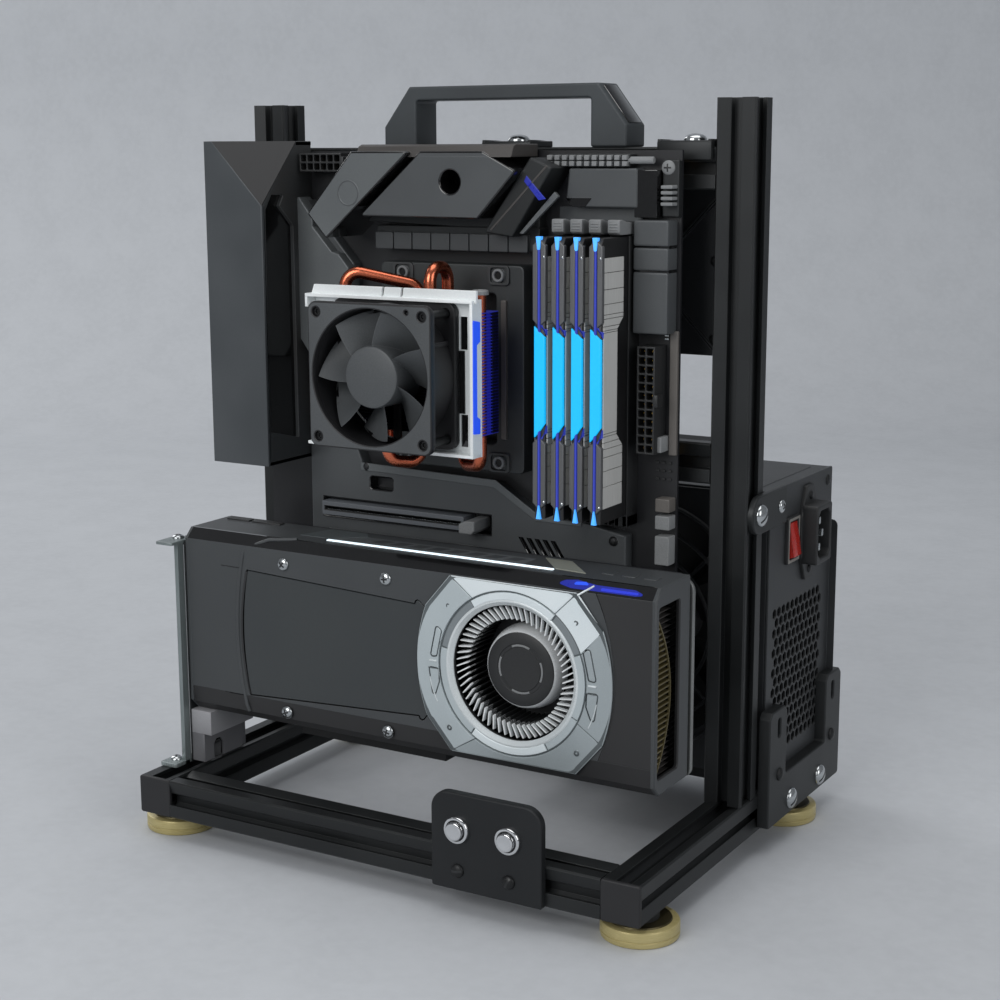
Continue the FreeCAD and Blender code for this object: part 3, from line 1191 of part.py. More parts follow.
# Cooler: fan, cowl, fin stack, heat pipes and base
mount_front = board_face - s.yoke_out
frame_half = s.fan_size / 2
fan_axis = (fan_x, fan_z)
screw_holes = [((fan_x + (frame_half - s.fan_screw_in) * along,
                 fan_z + (frame_half - s.fan_screw_in) * upward), s.fan_screw)
               for along in (-1, 1) for upward in (-1, 1)]


def fan_flange(name, front):
    """One of the fan's two square flanges with its screw holes."""
    return outline(name, oblong(fan_left, fan_low, s.fan_size, s.fan_size), s.fan_flange,
                   (0, front, 0), "front", holes=[(fan_axis, s.fan_mouth)] + screw_holes)


motor_y = fan_back - s.fan_motor
strut = dim(4)
keep("cooler_fan_frame", fuse("cooler_fan_frame", [
    fan_flange("fan_flange_front", s.fan_front),
    fan_flange("fan_flange_rear", fan_back - s.fan_flange),
    tube("fan_barrel", (fan_x, s.fan_front, fan_z), s.fan_barrel, s.fan_mouth, s.fan_thick, "back"),
    rod("fan_motor", (fan_x, motor_y, fan_z), s.fan_hub, s.fan_motor, "back"),
    box("fan_strut_flat", (fan_left + 2, motor_y, fan_z - strut / 2),
        (s.fan_size - 4, s.fan_motor, strut)),
    box("fan_strut_tall", (fan_x - strut / 2, motor_y, fan_low + 2),
        (strut, s.fan_motor, s.fan_size - 4)),
]))
rotor_front = s.fan_front + 1.5
keep("cooler_fan_rotor", shaped("cooler_fan_rotor", blade_wheel(
    s.fan_hub.value, s.fan_mouth.value - 1.2, 7, (fan_x.value, fan_z.value),
    motor_y.value - 0.4 - rotor_front.value, rotor_front.value, 48.0, 1.4)))

sheet_wall = s.cowl_wall
cowl_left = fan_x - s.cowl_left
cowl_right = fan_x + s.cowl_reach
cowl_low = fan_low - s.cowl_gap - sheet_wall
cowl_top = fan_low + s.fan_size + s.cowl_over + sheet_wall
cowl_front = s.fan_front + s.cowl_in
cowl_back = fan_back + sheet_wall
cowl_long = cowl_right - cowl_left
cowl_tall = cowl_top - cowl_low
cowl_deep = cowl_back - cowl_front
cowl_slots = [oblong(x, z, s.cowl_slot_wide, s.cowl_slot_high)
              for x in (cowl_left + s.cowl_slot_in,
                        cowl_right - s.cowl_slot_in - s.cowl_slot_wide)
              for z in (cowl_low + s.cowl_slot_off,
                        cowl_top - s.cowl_slot_off * 2 - s.cowl_slot_high)]
lip_slant = s.cowl_lip / 2
lip_left = cowl_left + s.cowl_lip_in
lip_low = cowl_top - sheet_wall
lip_top = cowl_top + s.cowl_lip
keep("cooler_cowl", fuse("cooler_cowl", [
    outline("cowl_back", oblong(cowl_left, cowl_low, cowl_long, cowl_tall), sheet_wall,
            (0, fan_back, 0), "front", loops=cowl_slots, holes=[(fan_axis, s.fan_mouth)]),
    box("cowl_top", (cowl_left, cowl_front, cowl_top - sheet_wall),
        (cowl_long, cowl_deep, sheet_wall)),
    outline("cowl_lip", [(lip_left, lip_low), (cowl_right + 1, lip_low), (cowl_right + 1, lip_top),
                         (lip_left + lip_slant, lip_top)],
            sheet_wall, (0, cowl_front + s.cowl_lip_in, 0), "front"),
    box("cowl_bottom", (cowl_left, cowl_front, cowl_low), (cowl_long, cowl_deep, sheet_wall)),
    box("cowl_right", (cowl_right - sheet_wall, cowl_front, cowl_low),
        (sheet_wall, cowl_deep, cowl_tall)),
    box("cowl_left", (cowl_left, cowl_front + s.cowl_tab, cowl_low),
        (sheet_wall, cowl_deep - s.cowl_tab, cowl_tall)),
    box("cowl_tab", (cowl_left, cowl_front, cowl_top - s.cowl_lip * 1.5),
        (sheet_wall, s.cowl_tab, s.cowl_lip * 1.5)),
]))

stack_front = cowl_back + 0.3
stack_low = fan_z - s.stack_high / 2


def fin_stack():
    """Level cooling fins around a solid core that stands on the processor."""
    low, front = stack_low.value, stack_front.value
    left = fan_x.value - s.stack_left.value
    wide = s.stack_left.value + s.stack_right.value
    deep = s.stack_deep.value
    count = int(s.stack_high.value // s.stack_pitch.value) + 1
    pieces = [Part.makeBox(wide, deep, s.stack_fin.value,
                           Vector(left, front, low + s.stack_pitch.value * number))
              for number in range(count)]
    high = s.stack_pitch.value * (count - 1) + s.stack_fin.value
    half, inset = s.core_half_wide.value, s.core_inset.value
    core_front = front + deep * 0.6
    core = Part.makeBox(half * 2, mount_front.value - core_front, high - inset * 2,
                        Vector(fan_x.value - half, core_front, low + inset))
    end_thick, end_deep = 1.0, deep * 0.3
    end = Part.makeBox(end_thick, end_deep, high,
                       Vector(left + wide - end_thick, front + deep - end_deep, low))
    far_end = Part.makeBox(end_thick, end_deep, high, Vector(left, front + deep - end_deep, low))
    return core.fuse(pieces + [end, far_end]).removeSplitter()


keep("cooler_fins", shaped("cooler_fins", fin_stack()))
yoke_x = fan_x - s.yoke_left
yoke_low = fan_z - 1.5 - s.yoke_high / 2
yoke_front = mount_front + s.pipe_gap
yoke_edge = dim(5)
yoke_screws = [(x, z) for x in (yoke_x + s.yoke_screw_in, yoke_x + s.yoke_wide - s.yoke_screw_in)
               for z in (yoke_low + yoke_edge, yoke_low + s.yoke_high - yoke_edge)]
processor_half = dim(20)
keep("cooler_mount", group("cooler_mount", [
    outline("mount_frame", oblong(yoke_x, yoke_low, s.yoke_wide, s.yoke_high),
            board_face - yoke_front, (0, yoke_front, 0), "front",
            loops=[oblong(yoke_x + s.yoke_side, yoke_low + s.yoke_end,
                          s.yoke_wide - s.yoke_side * 2, s.yoke_high - s.yoke_end * 2)],
            holes=[(point, s.pin_radius) for point in yoke_screws]),
    box("mount_processor", (fan_x - processor_half, mount_front, fan_z - processor_half),
        (processor_half * 2, s.yoke_out, processor_half * 2)),
]))
yoke_heads = [slotted_screw("yoke_screw_" + str(number), (x, yoke_front, z), "front",
                            s.small_radius, s.small_high, s.pin_radius, s.yoke_out / 2)
              for number, (x, z) in enumerate(yoke_screws)]
keep("small_screws", group("small_screws", card_small + card_screws + yoke_heads))


def bent_pipe(points, bend):
    """A round pipe along straight runs joined by tangent arcs of one radius."""
    edges = []
    start = points[0]
    for before, here, after in zip(points, points[1:], points[2:]):
        into = (here - before).normalize()
        away = (after - here).normalize()
        half_turn = into.getAngle(away) / 2
        back = bend * math.tan(half_turn)
        first, last = here - into * back, here + away * back
        middle = here + (away - into).normalize() * (bend / math.cos(half_turn) - bend)
        edges.append(Part.LineSegment(start, first).toShape())
        edges.append(Part.Arc(first, middle, last).toShape())
        start = last
    edges.append(Part.LineSegment(start, points[-1]).toShape())
    path = Part.Wire(edges)
    way = (points[1] - points[0]).normalize()
    disc = Part.Wire([Part.Circle(points[0], way, s.pipe_radius.value).toShape()])
    return path.makePipeShell([disc], True, False)


def heat_pipes():
    """Pipes that leave the fins upwards and downwards and turn back into the core."""
    low = stack_low.value
    count = int(s.stack_high.value // s.stack_pitch.value)
    ends = {-1: low, 1: low + s.stack_pitch.value * count + s.stack_fin.value}
    gap = s.pipe_gap.value
    near = stack_front.value + 9
    far = near + 16
    x = fan_x.value
    pipes = []
    # Offset in the fins, offset at the core, side, reach over the fins, fall on the way
    for fin_x, core_x, side, reach, fall in (
            (-38, -4, 1, 18, 8), (12, 12, 1, 20, 0), (-14, -4, -1, 17, -3), (40, 20, -1, 15, -4)):
        edge = ends[side] + side * gap
        inset = ends[side] - side * (s.core_inset.value - gap)
        top = ends[side] + side * reach
        bottom = top - side * fall if side > 0 else top + fall
        pipes.append(bent_pipe([Vector(x + fin_x, near, edge), Vector(x + fin_x, near, top),
                                Vector(x + core_x, far, bottom), Vector(x + core_x, far, inset)],
                               s.pipe_bend.value))
    upright = Part.makeCylinder(s.pipe_radius.value, 8, Vector(x + 40, near, ends[1] + gap))
    cap = Part.makeCylinder(s.pipe_cap.value, 2.4, Vector(x + 40, near, ends[1] + gap + 8))
    pipes.append(upright.fuse(cap))
    return Part.makeCompound(pipes)


keep("heat_pipes", shaped("heat_pipes", heat_pipes()))

# Checks and files
doc.recompute()
faults = []
for item in doc.Objects:
    if "Invalid" in item.State or "Error" in item.State:
        faults.append(item.Name + " did not build")
for name, solid in parts.items():
    if solid.Shape.isNull() or not solid.Shape.isValid() or not solid.Shape.Solids:
        faults.append(name + " has no valid solid")
if faults:
    raise RuntimeError("; ".join(faults))
os.makedirs("parts", exist_ok=True)
for name, solid in parts.items():
    solid.Shape.exportStep("parts/" + name + ".step")
print(len(parts), "nodes written")
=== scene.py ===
import logging
import math
from dataclasses import dataclass
from enum import Enum
from typing import Callable, Optional, Sequence

import bmesh
import bpy
import numpy as np
from mathutils import Matrix, Vector
from mathutils.geometry import tessellate_polygon


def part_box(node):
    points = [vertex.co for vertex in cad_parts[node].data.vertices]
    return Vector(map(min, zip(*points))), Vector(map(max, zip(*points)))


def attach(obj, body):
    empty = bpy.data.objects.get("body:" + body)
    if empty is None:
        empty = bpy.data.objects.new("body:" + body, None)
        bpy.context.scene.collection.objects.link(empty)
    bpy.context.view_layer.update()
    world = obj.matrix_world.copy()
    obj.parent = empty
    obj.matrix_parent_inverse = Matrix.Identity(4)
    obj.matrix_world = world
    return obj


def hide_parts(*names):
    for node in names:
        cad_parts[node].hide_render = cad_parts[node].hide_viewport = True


# Open air test bench. Places are in millimetres in the bench's own frame: x from the middle of
# the front rail, y back from its front face, z up from the floor. Only Shell.piece turns them
# into the metres of the CAD frame.

LOG = logging.getLogger("test_bench")
MM = 0.001
# Edges that turn by more than this stay sharp; the slow drift of a surface's colour has this size.
SHARP_ANGLE = math.radians(34)
CLOUD_MM = 46

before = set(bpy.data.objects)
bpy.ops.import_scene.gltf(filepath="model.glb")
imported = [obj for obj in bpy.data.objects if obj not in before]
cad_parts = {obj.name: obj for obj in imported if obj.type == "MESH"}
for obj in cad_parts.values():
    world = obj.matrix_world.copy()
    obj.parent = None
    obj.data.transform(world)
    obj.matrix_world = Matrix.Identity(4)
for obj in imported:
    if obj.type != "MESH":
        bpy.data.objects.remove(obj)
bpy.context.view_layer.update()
rail_low, rail_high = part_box("base_rail_front")
BENCH_ORIGIN = np.array([(rail_low.x + rail_high.x) / 2, rail_low.y, 0])

Pair = tuple[float, float]
Triple = tuple[float, float, float]
Loop = np.ndarray


@dataclass(frozen=True)
class Span:
    """The corners of a CAD node in the bench's own millimetres."""

    left: float
    front: float
    low: float
    right: float
    back: float
    high: float

    @classmethod
    def of(cls, node: str) -> "Span":
        """Measure a node.

        Args:
            node: the name of the CAD node.

        Returns:
            Its corners in millimetres.
        """
        low, high = (np.array(corner) - BENCH_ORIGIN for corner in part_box(node))
        return cls(*(low / MM), *(high / MM))

    @property
    def middle(self) -> Triple:
        """The centre of the box."""
        return ((self.left + self.right) / 2, (self.front + self.back) / 2, (self.low + self.high) / 2)


class Facing(Enum):
    """Which way a face looks: its across, along and outward axes and the outward sign."""

    FRONT = (0, 2, 1, -1)
    BACK = (0, 2, 1, 1)
    RIGHT = (1, 2, 0, 1)
    LEFT = (1, 2, 0, -1)
    UP = (0, 1, 2, 1)
    DOWN = (0, 1, 2, -1)

    def raised(self, flat: np.ndarray, level: float, height: np.ndarray | float) -> np.ndarray:
        """Lift flat points off a plane.

        Args:
            flat: points with their across and along places in the last axis.
            level: where the plane lies on the outward axis.
            height: how far each point stands out of the plane.

        Returns:
            The points in space.
        """
        across, along, out, sign = self.value
        points = np.zeros(flat.shape[:-1] + (3,))
        points[..., across] = flat[..., 0]
        points[..., along] = flat[..., 1]
        points[..., out] = level + sign * height
        return points


FRONT, BACK, RIGHT, LEFT, UP, DOWN = Facing


def loop(corners: Sequence[Pair]) -> Loop:
    """Give corner pairs as one array."""
    return np.array(corners, float)


def rectangle(left: float, low: float, right: float, high: float) -> Loop:
    """The four corners of an upright rectangle, anticlockwise."""
    return loop([(left, low), (right, low), (right, high), (left, high)])


def arc(centre: Pair, radius: float, start: float, end: float, count: int) -> Loop:
    """Points along a circle: centre plus radius times the cosine and sine of the angle.

    Args:
        centre: the circle's centre.
        radius: its radius.
        start: the first angle in degrees.
        end: the last angle in degrees.
        count: how many points, both ends included.

    Returns:
        The points in order.
    """
    angles = np.radians(np.linspace(start, end, count))
    return np.stack([centre[0] + radius * np.cos(angles), centre[1] + radius * np.sin(angles)], -1)


def circle(centre: Pair, radius: float, count: int = 32) -> Loop:
    """A closed circle without a doubled last point."""
    return arc(centre, radius, 0, 360 - 360 / count, count)


def slot_loop(centre: Pair, length: float, width: float, turn: float = 0, count: int = 7) -> Loop:
    """A long hole with round ends: two half circles on a line turned by an angle in degrees."""
    half = (length - width) / 2
    ends = np.concatenate([arc((half, 0), width / 2, -90, 90, count), arc((-half, 0), width / 2, 90, 270,
        count)])
    angle = math.radians(turn)
    spin = np.array([[math.cos(angle), math.sin(angle)], [-math.sin(angle), math.cos(angle)]])
    return ends @ spin + np.array(centre)


def area(flat: Loop) -> float:
    """The signed area of a closed loop, positive where it runs anticlockwise."""
    x, y = flat[:, 0], flat[:, 1]
    return float(np.sum(x * np.roll(y, -1) - np.roll(x, -1) * y) / 2)


def turning(flat: Loop | Sequence[Pair], left: bool = True) -> Loop:
    """Give a loop that runs anticlockwise, or clockwise where left is off."""
    flat = loop(flat)
    return flat if (area(flat) > 0) == left else flat[::-1]


def rounded(corners: Loop | Sequence[Pair], radius: float | Sequence[float], steps: int = 4) -> Loop:
    """Round the corners of a closed loop with arcs that touch both of a corner's sides.

    Args:
        corners: the loop's corners.
        radius: one radius, or one for each corner.
        steps: how many straight pieces make each arc.

    Returns:
        The loop with its arcs. An arc's half angle is half of the turn at its corner, and its
        ends lie radius times the tangent of that half angle away from the corner.
    """
    corners = np.asarray(corners, float)
    radii = np.broadcast_to(np.asarray(radius, float), (len(corners),))
    out = []
    for here, before, after, size in zip(corners, np.roll(corners, 1, 0),
                                         np.roll(corners, -1, 0), radii):
        into, away = here - before, after - here
        long_in, long_out = np.linalg.norm(into), np.linalg.norm(away)
        into, away = into / long_in, away / long_out
        turn = math.atan2(into[0] * away[1] - into[1] * away[0], float(into @ away))
        if size <= 0 or abs(turn) < 0.02:
            out.append(here[None])
            continue
        back = min(size * math.tan(abs(turn) / 2), 0.48 * min(long_in, long_out))
        size = back / math.tan(abs(turn) / 2)
        side = math.copysign(1, turn)
        centre = here - into * back + size * side * np.array([-into[1], into[0]])
        first = math.atan2(*(here - into * back - centre)[::-1])
        angles = first + turn * np.linspace(0, 1, steps + 1)
        out.append(centre + size * np.stack([np.cos(angles), np.sin(angles)], -1))
    return np.concatenate(out)


def inset(flat: Loop, distance: float) -> Loop:
    """Move a loop's sides to their left by a distance, with mitred corners.

    Each point moves along the sum of its two sides' normals, divided by one plus the cosine
    of the angle between them, so that both sides move by the whole distance.
    """
    if distance == 0:
        return flat
    along = np.roll(flat, -1, 0) - flat
    along = along / np.linalg.norm(along, axis=1, keepdims=True)
    normal = np.stack([-along[:, 1], along[:, 0]], -1)
    before = np.roll(normal, 1, 0)
    spread = 1 + np.sum(normal * before, 1, keepdims=True)
    return flat + distance * (normal + before) / np.maximum(spread, 0.3)


# A side profile: inset and height pairs, or a tuple of what edge_profile takes. HOLD is the width
# in millimetres of the flat ring that keeps the shading of a rounded edge off the face beside it.
Bevel = Sequence[Pair] | tuple
HOLD = 0.03


def edge_profile(thick: float, bevel: float, steps: int = 2, both: bool = False) -> Bevel:
    """The side of a plate with rounded upper edges.

    Args:
        thick: the plate's thickness.
        bevel: the radius of the edge.
        steps: straight pieces in the quarter circle.
        both: whether the lower edge is rounded too.

    Returns:
        Pairs of inset and height: inset is the radius times one minus the cosine, and height
        the thickness minus the radius times one minus the sine. A last narrow ring keeps the
        flat face flat to the eye.
    """
    angles = np.radians(np.linspace(0, 90, steps + 1))
    top = [(bevel * (1 - math.cos(a)), thick - bevel * (1 - math.sin(a))) for a in angles]
    top.append((bevel + HOLD, thick))
    if both:
        low = [(bevel * (1 - math.cos(a)), bevel * (1 - math.sin(a))) for a in angles[::-1]]
        return [(bevel + HOLD, 0)] + low + top
    return [(0, 0)] + top


class Grain(Enum):
    """How a surface was made, which sets how its pattern runs."""

    CAST = (1, 1, 1)
    DRAWN_X = (0.02, 1, 1)
    DRAWN_Z = (1, 1, 0.02)
    LEVEL = (0.05, 0.05, 1)


def linear(code: str) -> tuple[float, float, float, float]:
    """Turn an sRGB hex colour into linear light.

    Args:
        code: six hex digits with or without a hash sign.

    Returns:
        Linear red, green and blue, and an alpha of one. Below 0.04045 a channel is divided by
        12.92, and above it is raised to the power 2.4 after an offset.
    """
    code = code.lstrip("#")
    values = np.array([int(code[i:i + 2], 16) for i in (0, 2, 4)]) / 255
    light = np.where(values <= 0.04045, values / 12.92, ((values + 0.055) / 1.055) ** 2.4)
    return (*light.tolist(), 1)


def add_node(tree: bpy.types.NodeTree, kind: str, links: Optional[dict] = None,
             sockets: Optional[dict] = None, **settings: object) -> bpy.types.Node:
    """Add one shader node.

    Args:
        tree: the material's node tree.
        kind: the node's type, without its ShaderNode prefix.
        links: input name or number to the output socket that feeds it.
        sockets: input name or number to a plain value.
        settings: the node's own properties.

    Returns:
        The node.
    """
    node = tree.nodes.new("ShaderNode" + kind)
    for name, value in settings.items():
        setattr(node, name, value)
    for name, value in (sockets or {}).items():
        node.inputs[name].default_value = value
    for name, source in (links or {}).items():
        tree.links.new(source, node.inputs[name])
    return node


@dataclass(frozen=True)
class Finish:
    """A surface: what it is made of, how it was made and what that gives the eye.

    The pattern is noise whose size is grain_mm, stretched the way that grain says. It moves
    the colour from colour to tint, spreads the roughness and stands out by bump_mm.
    """

    name: str
    colour: str
    tint: str
    roughness: float = 0.5
    metallic: float = 0
    grain_mm: float = 0.6
    grain: Grain = Grain.CAST
    spread: float = 0.06
    bump_mm: float = 0.01
    edge: Optional[str] = None
    edge_mm: float = 0.35
    coat: float = 0
    specular: float = 0.5
    glow: Optional[str] = None
    glow_strength: float = 0

    def material(self) -> bpy.types.Material:
        """Build the finish once, and give the same material after that.

        Returns:
            The material, with its pattern on Object coordinates.
        """
        known = bpy.data.materials.get(self.name)
        if known is not None:
            return known
        material = bpy.data.materials.new(self.name)
        material.use_nodes = True
        tree = material.node_tree
        tree.nodes.clear()
        place = add_node(tree, "TexCoord").outputs["Object"]
        scaled = add_node(tree, "Mapping", {"Vector": place},
            {"Scale": self.grain.value}).outputs["Vector"]
        fine = add_node(tree, "TexNoise", {"Vector": scaled}, {"Scale": 1 / (self.grain_mm * MM),
            "Detail": 3, "Roughness": 0.6})
        broad = add_node(tree, "TexNoise", {"Vector": place}, {"Scale": 1 / (CLOUD_MM * MM), "Detail": 2})
        mixed = add_node(tree, "Math", {0: fine.outputs["Fac"], 1: broad.outputs["Fac"]},
            operation="MULTIPLY")
        share = add_node(tree, "MapRange", {"Value": mixed.outputs[0]},
            {"From Min": 0.14, "From Max": 0.38}).outputs["Result"]
        colour = add_node(tree, "Mix", {"Factor": share}, {6: linear(self.colour), 7: linear(self.tint)},
            data_type="RGBA")
        surface = colour.outputs[2]
        rough = add_node(tree, "MapRange", {"Value": share}, {"To Min": max(self.roughness - self.spread,
            0.02), "To Max": min(self.roughness + self.spread, 1)}).outputs["Result"]
        links = {"Roughness": rough}
        normal = None
        # Near an edge, where the Bevel node's normal turns from the true one, the colour moves towards
        # edge: a painted highlight along the edges.
        if self.edge:
            soft = add_node(tree, "Bevel", None, {"Radius": self.edge_mm * MM}, samples=4)
            true = add_node(tree, "NewGeometry").outputs["Normal"]
            along = add_node(tree, "VectorMath", {0: soft.outputs["Normal"], 1: true},
                operation="DOT_PRODUCT").outputs["Value"]
            edge_highlight = add_node(tree, "MapRange", {"Value": along}, {"From Min": 0.995,
                "From Max": 0.8}).outputs["Result"]
            surface = add_node(tree, "Mix", {"Factor": edge_highlight, 6: surface}, {7: linear(self.edge)},
                data_type="RGBA").outputs[2]
            normal = soft.outputs["Normal"]
        bump = add_node(tree, "Bump", {"Height": share}, {"Distance": self.bump_mm * MM})
        if normal is not None:
            tree.links.new(normal, bump.inputs["Normal"])
        links["Base Color"] = surface
        links["Normal"] = bump.outputs["Normal"]
        sockets = {"Metallic": self.metallic, "Coat Weight": self.coat,
            "Specular IOR Level": self.specular}
        if self.glow:
            sockets["Emission Color"] = linear(self.glow)
            sockets["Emission Strength"] = self.glow_strength
        shader = add_node(tree, "BsdfPrincipled", links, sockets)
        add_node(tree, "OutputMaterial", {"Surface": shader.outputs["BSDF"]})
        return material



def outward(mesh: bpy.types.Mesh) -> None:
    """Turn every face of a closed mesh so that it looks outwards."""
    work = bmesh.new()
    work.from_mesh(mesh)
    bmesh.ops.recalc_face_normals(work, faces=work.faces)
    work.to_mesh(mesh)
    work.free()


class Shell:
    """Points and faces gathered in bench millimetres, with a finish for each face."""

    def __init__(self) -> None:
        """Start with nothing."""
        self.points: list[np.ndarray] = []
        self.faces: list[list[int]] = []
        self.marks: list[int] = []
        self.finishes: list[Finish] = []
        self.count = 0

    def add(self, points: np.ndarray, faces: np.ndarray, finish: Finish) -> None:
        """Take in points and the faces between them.

        Args:
            points: places in bench millimetres, one row each.
            faces: point numbers of each face, counted from the first of these points.
            finish: the faces' finish.
        """
        start = self.count
        self.points.append(np.asarray(points, float).reshape(-1, 3))
        self.count += len(self.points[-1])
        self.faces_on(start, faces.tolist(), finish)

    def faces_on(self, start: int, faces: list[list[int]], finish: Finish) -> None:
        """Add faces between points that are already there, numbered from start."""
        if finish not in self.finishes:
            self.finishes.append(finish)
        self.faces += [[start + number for number in face] for face in faces]
        self.marks += [self.finishes.index(finish)] * len(faces)

    def loft(self, rings: np.ndarray, finish: Finish, closed: bool = False,
             caps: bool = True) -> None:
        """Skin a stack of closed rings with four sided faces.

        Args:
            rings: ring, point and place, as one array.
            finish: the finish.
            closed: whether the last ring joins the first, as in a torus.
            caps: whether flat faces close both ends.
        """
        rings = np.asarray(rings, float)
        count, sides = rings.shape[:2]
        grid = np.arange(count * sides).reshape(count, sides)
        low = grid if closed else grid[:-1]
        high = np.roll(grid, -1, 0) if closed else grid[1:]
        quads = np.stack([low, np.roll(low, -1, 1), np.roll(high, -1, 1), high], -1)
        start = self.count
        self.add(rings.reshape(-1, 3), quads.reshape(-1, 4), finish)
        if caps and not closed:
            self.faces_on(start, [grid[0].tolist(), grid[-1].tolist()], finish)

    def reshape(self, first: int, change: Callable[[np.ndarray], np.ndarray]) -> None:
        """Move the points that were added since a mark.

        Args:
            first: how many arrays of points there were before.
            change: gives an array of points its new places.
        """
        self.points[first:] = [change(points) for points in self.points[first:]]

    def plate(self, facing: Facing, level: float, outer: Loop, profile: Bevel, finish: Finish,
              holes: Sequence[Loop] = (), lid: Optional[Finish] = None,
              wall: Optional[Finish] = None) -> None:
        """Carry a side profile round an outline and its holes, and close both ends.

        Args:
            facing: which way the plate's top looks.
            level: the plane that its underside lies on.
            outer: the outline.
            profile: inset and height pairs from the underside to the top, or a tuple of what
                edge_profile takes.
            finish: the finish of sides and underside.
            holes: outlines of the holes that go right through.
            lid: the top's finish, where it differs.
            wall: the finish of the holes' walls, where it differs.
        """
        if isinstance(profile, tuple):
            profile = edge_profile(*profile)
        loops = [turning(outer), *(turning(hole, False) for hole in holes)]
        ends: list[list[tuple[np.ndarray, np.ndarray]]] = [[], []]
        for index, flat in enumerate(loops):
            rings = [facing.raised(inset(flat, step), level, height) for step, height in profile]
            start, last = self.count, (len(rings) - 1) * len(flat)
            self.loft(np.array(rings), (wall or finish) if index else finish, caps=False)
            around = start + np.arange(len(flat))
            ends[0].append((rings[0], around))
            ends[1].append((rings[-1], around + last))
        for number, rims in enumerate(ends):
            self.close(rims, (lid or finish) if number else finish)

    def close(self, rims: list[tuple[np.ndarray, np.ndarray]], finish: Finish) -> None:
        """Close an outline and its holes with flat faces between the points of their rims.

        Args:
            rims: places and point numbers of the outline and then of each hole.
            finish: the finish.
        """
        points = np.concatenate([places for places, _ in rims])
        numbers = np.concatenate([around for _, around in rims])
        if len(rims) == 1:
            faces = [list(range(len(points)))]
        else:
            faces = [list(t) for t in tessellate_polygon([[Vector(p) for p in r] for r, _ in rims])]
        corners = [points[face] for face in faces]
        kept = [face for face, c in zip(faces, corners) if len(c) > 3 or np.linalg.norm(np.cross(c[1]
            - c[0], c[2] - c[0])) > 1e-9]
        self.faces_on(0, [numbers[face].tolist() for face in kept], finish)

    def block(self, low: Triple, high: Triple, finish: Finish, bevel: float = 0.3,
              facing: Facing = FRONT, lid: Optional[Finish] = None) -> None:
        """A box with rounded edges round its outer face.

        Args:
            low: its lowest corner.
            high: its highest corner.
            finish: its finish.
            bevel: the radius of the edges.
            facing: the side that looks outwards.
            lid: the outer face's finish, where it differs.
        """
        across, along, out, sign = facing.value
        flat = rectangle(low[across], low[along], high[across], high[along])
        thick = high[out] - low[out]
        level = low[out] if sign > 0 else high[out]
        sides = (thick, high[across] - low[across], high[along] - low[along])
        bevel = min(bevel, 0.4 * min(sides))
        self.plate(facing, level, rounded(flat, bevel + 2 * HOLD, 2), edge_profile(thick, bevel), finish,
            lid=lid)

    def blocks(self, finish: Finish, bevel: float, *corners: tuple[Triple, Triple],
               facing: Facing = FRONT) -> None:
        """Add a block of one finish for each pair of lowest and highest corners."""
        for low, high in corners:
            self.block(low, high, finish, bevel, facing)

    def bead(self, flat: Loop, depth: float | np.ndarray, radius: float, finish: Finish,
             sides: int = 6) -> None:
        """Lay a thin tube along a flat upright path that lies at one depth, or at one for each
        of its places."""
        depths = np.broadcast_to(np.asarray(depth, float), (len(flat),))
        self.tube(np.column_stack([flat[:, 0], depths, flat[:, 1]]), radius, finish, sides)

    def turned(self, facing: Facing, centre: Pair, level: float, profile: Bevel, finish: Finish,
               count: int = 32, hollow: bool = False) -> None:
        """Turn a profile about an axis: each radius goes round as a circle at its height.

        Args:
            facing: the way that heights are measured.
            centre: the axis, in the two places across it.
            level: where height zero lies.
            profile: radius and height pairs, from below outwards and up to the top. A radius
                of zero at an end is a pole.
            finish: the finish.
            count: points round the axis.
            hollow: whether the profile is a closed loop, as in a ring.
        """
        rings = list(profile)
        poles = {}
        if not hollow and rings[0][0] == 0:
            poles[0] = rings.pop(0)[1]
        if not hollow and rings[-1][0] == 0:
            poles[-1] = rings.pop()[1]
        flats = np.array([circle(centre, radius, count) for radius, _ in rings])
        heights = np.array([height for _, height in rings])[:, None]
        start = self.count
        self.loft(facing.raised(flats, level, heights), finish, closed=hollow, caps=False)
        for end in () if hollow else (0, -1):
            around = np.arange(count) + (len(rings) - 1) * count * (end != 0)
            if end not in poles:
                self.faces_on(start, [around.tolist()], finish)
                continue
            tip = self.count - start
            self.points.append(facing.raised(np.array([centre], float), level, poles[end]))
            self.count += 1
            fan = np.stack([around, np.roll(around, -1), np.full(count, tip)], -1)
            self.faces_on(start, fan.tolist(), finish)

    def tube(self, path: np.ndarray, radius: float | np.ndarray, finish: Finish, sides: int = 12,
             closed: bool = False) -> None:
        """Carry a circle along a path, with each ring square to the path.

        Args:
            path: places in order.
            radius: the tube's radius, or one for each place.
            finish: the finish.
            sides: points round the tube.
            closed: whether the path is a ring.
        """
        path = np.asarray(path, float)
        if closed:
            along = np.roll(path, -1, 0) - np.roll(path, 1, 0)
        else:
            along = np.gradient(path, axis=0)
        along /= np.linalg.norm(along, axis=1, keepdims=True)
        side = np.cross(along[0], [0.31, 0.17, 0.93])
        sideways = []
        for way in along:
            side = side - way * (side @ way)
            side = side / np.linalg.norm(side)
            sideways.append(side)
        first = np.array(sideways)
        second = np.cross(along, first)
        angles = np.radians(np.arange(sides) * 360 / sides)
        reach = np.broadcast_to(np.asarray(radius, float), (len(path),))[:, None, None]
        rings = path[:, None] + reach * (np.cos(angles)[None, :, None] * first[:, None]
            + np.sin(angles)[None, :, None] * second[:, None])
        self.loft(rings, finish, closed=closed, caps=not closed)

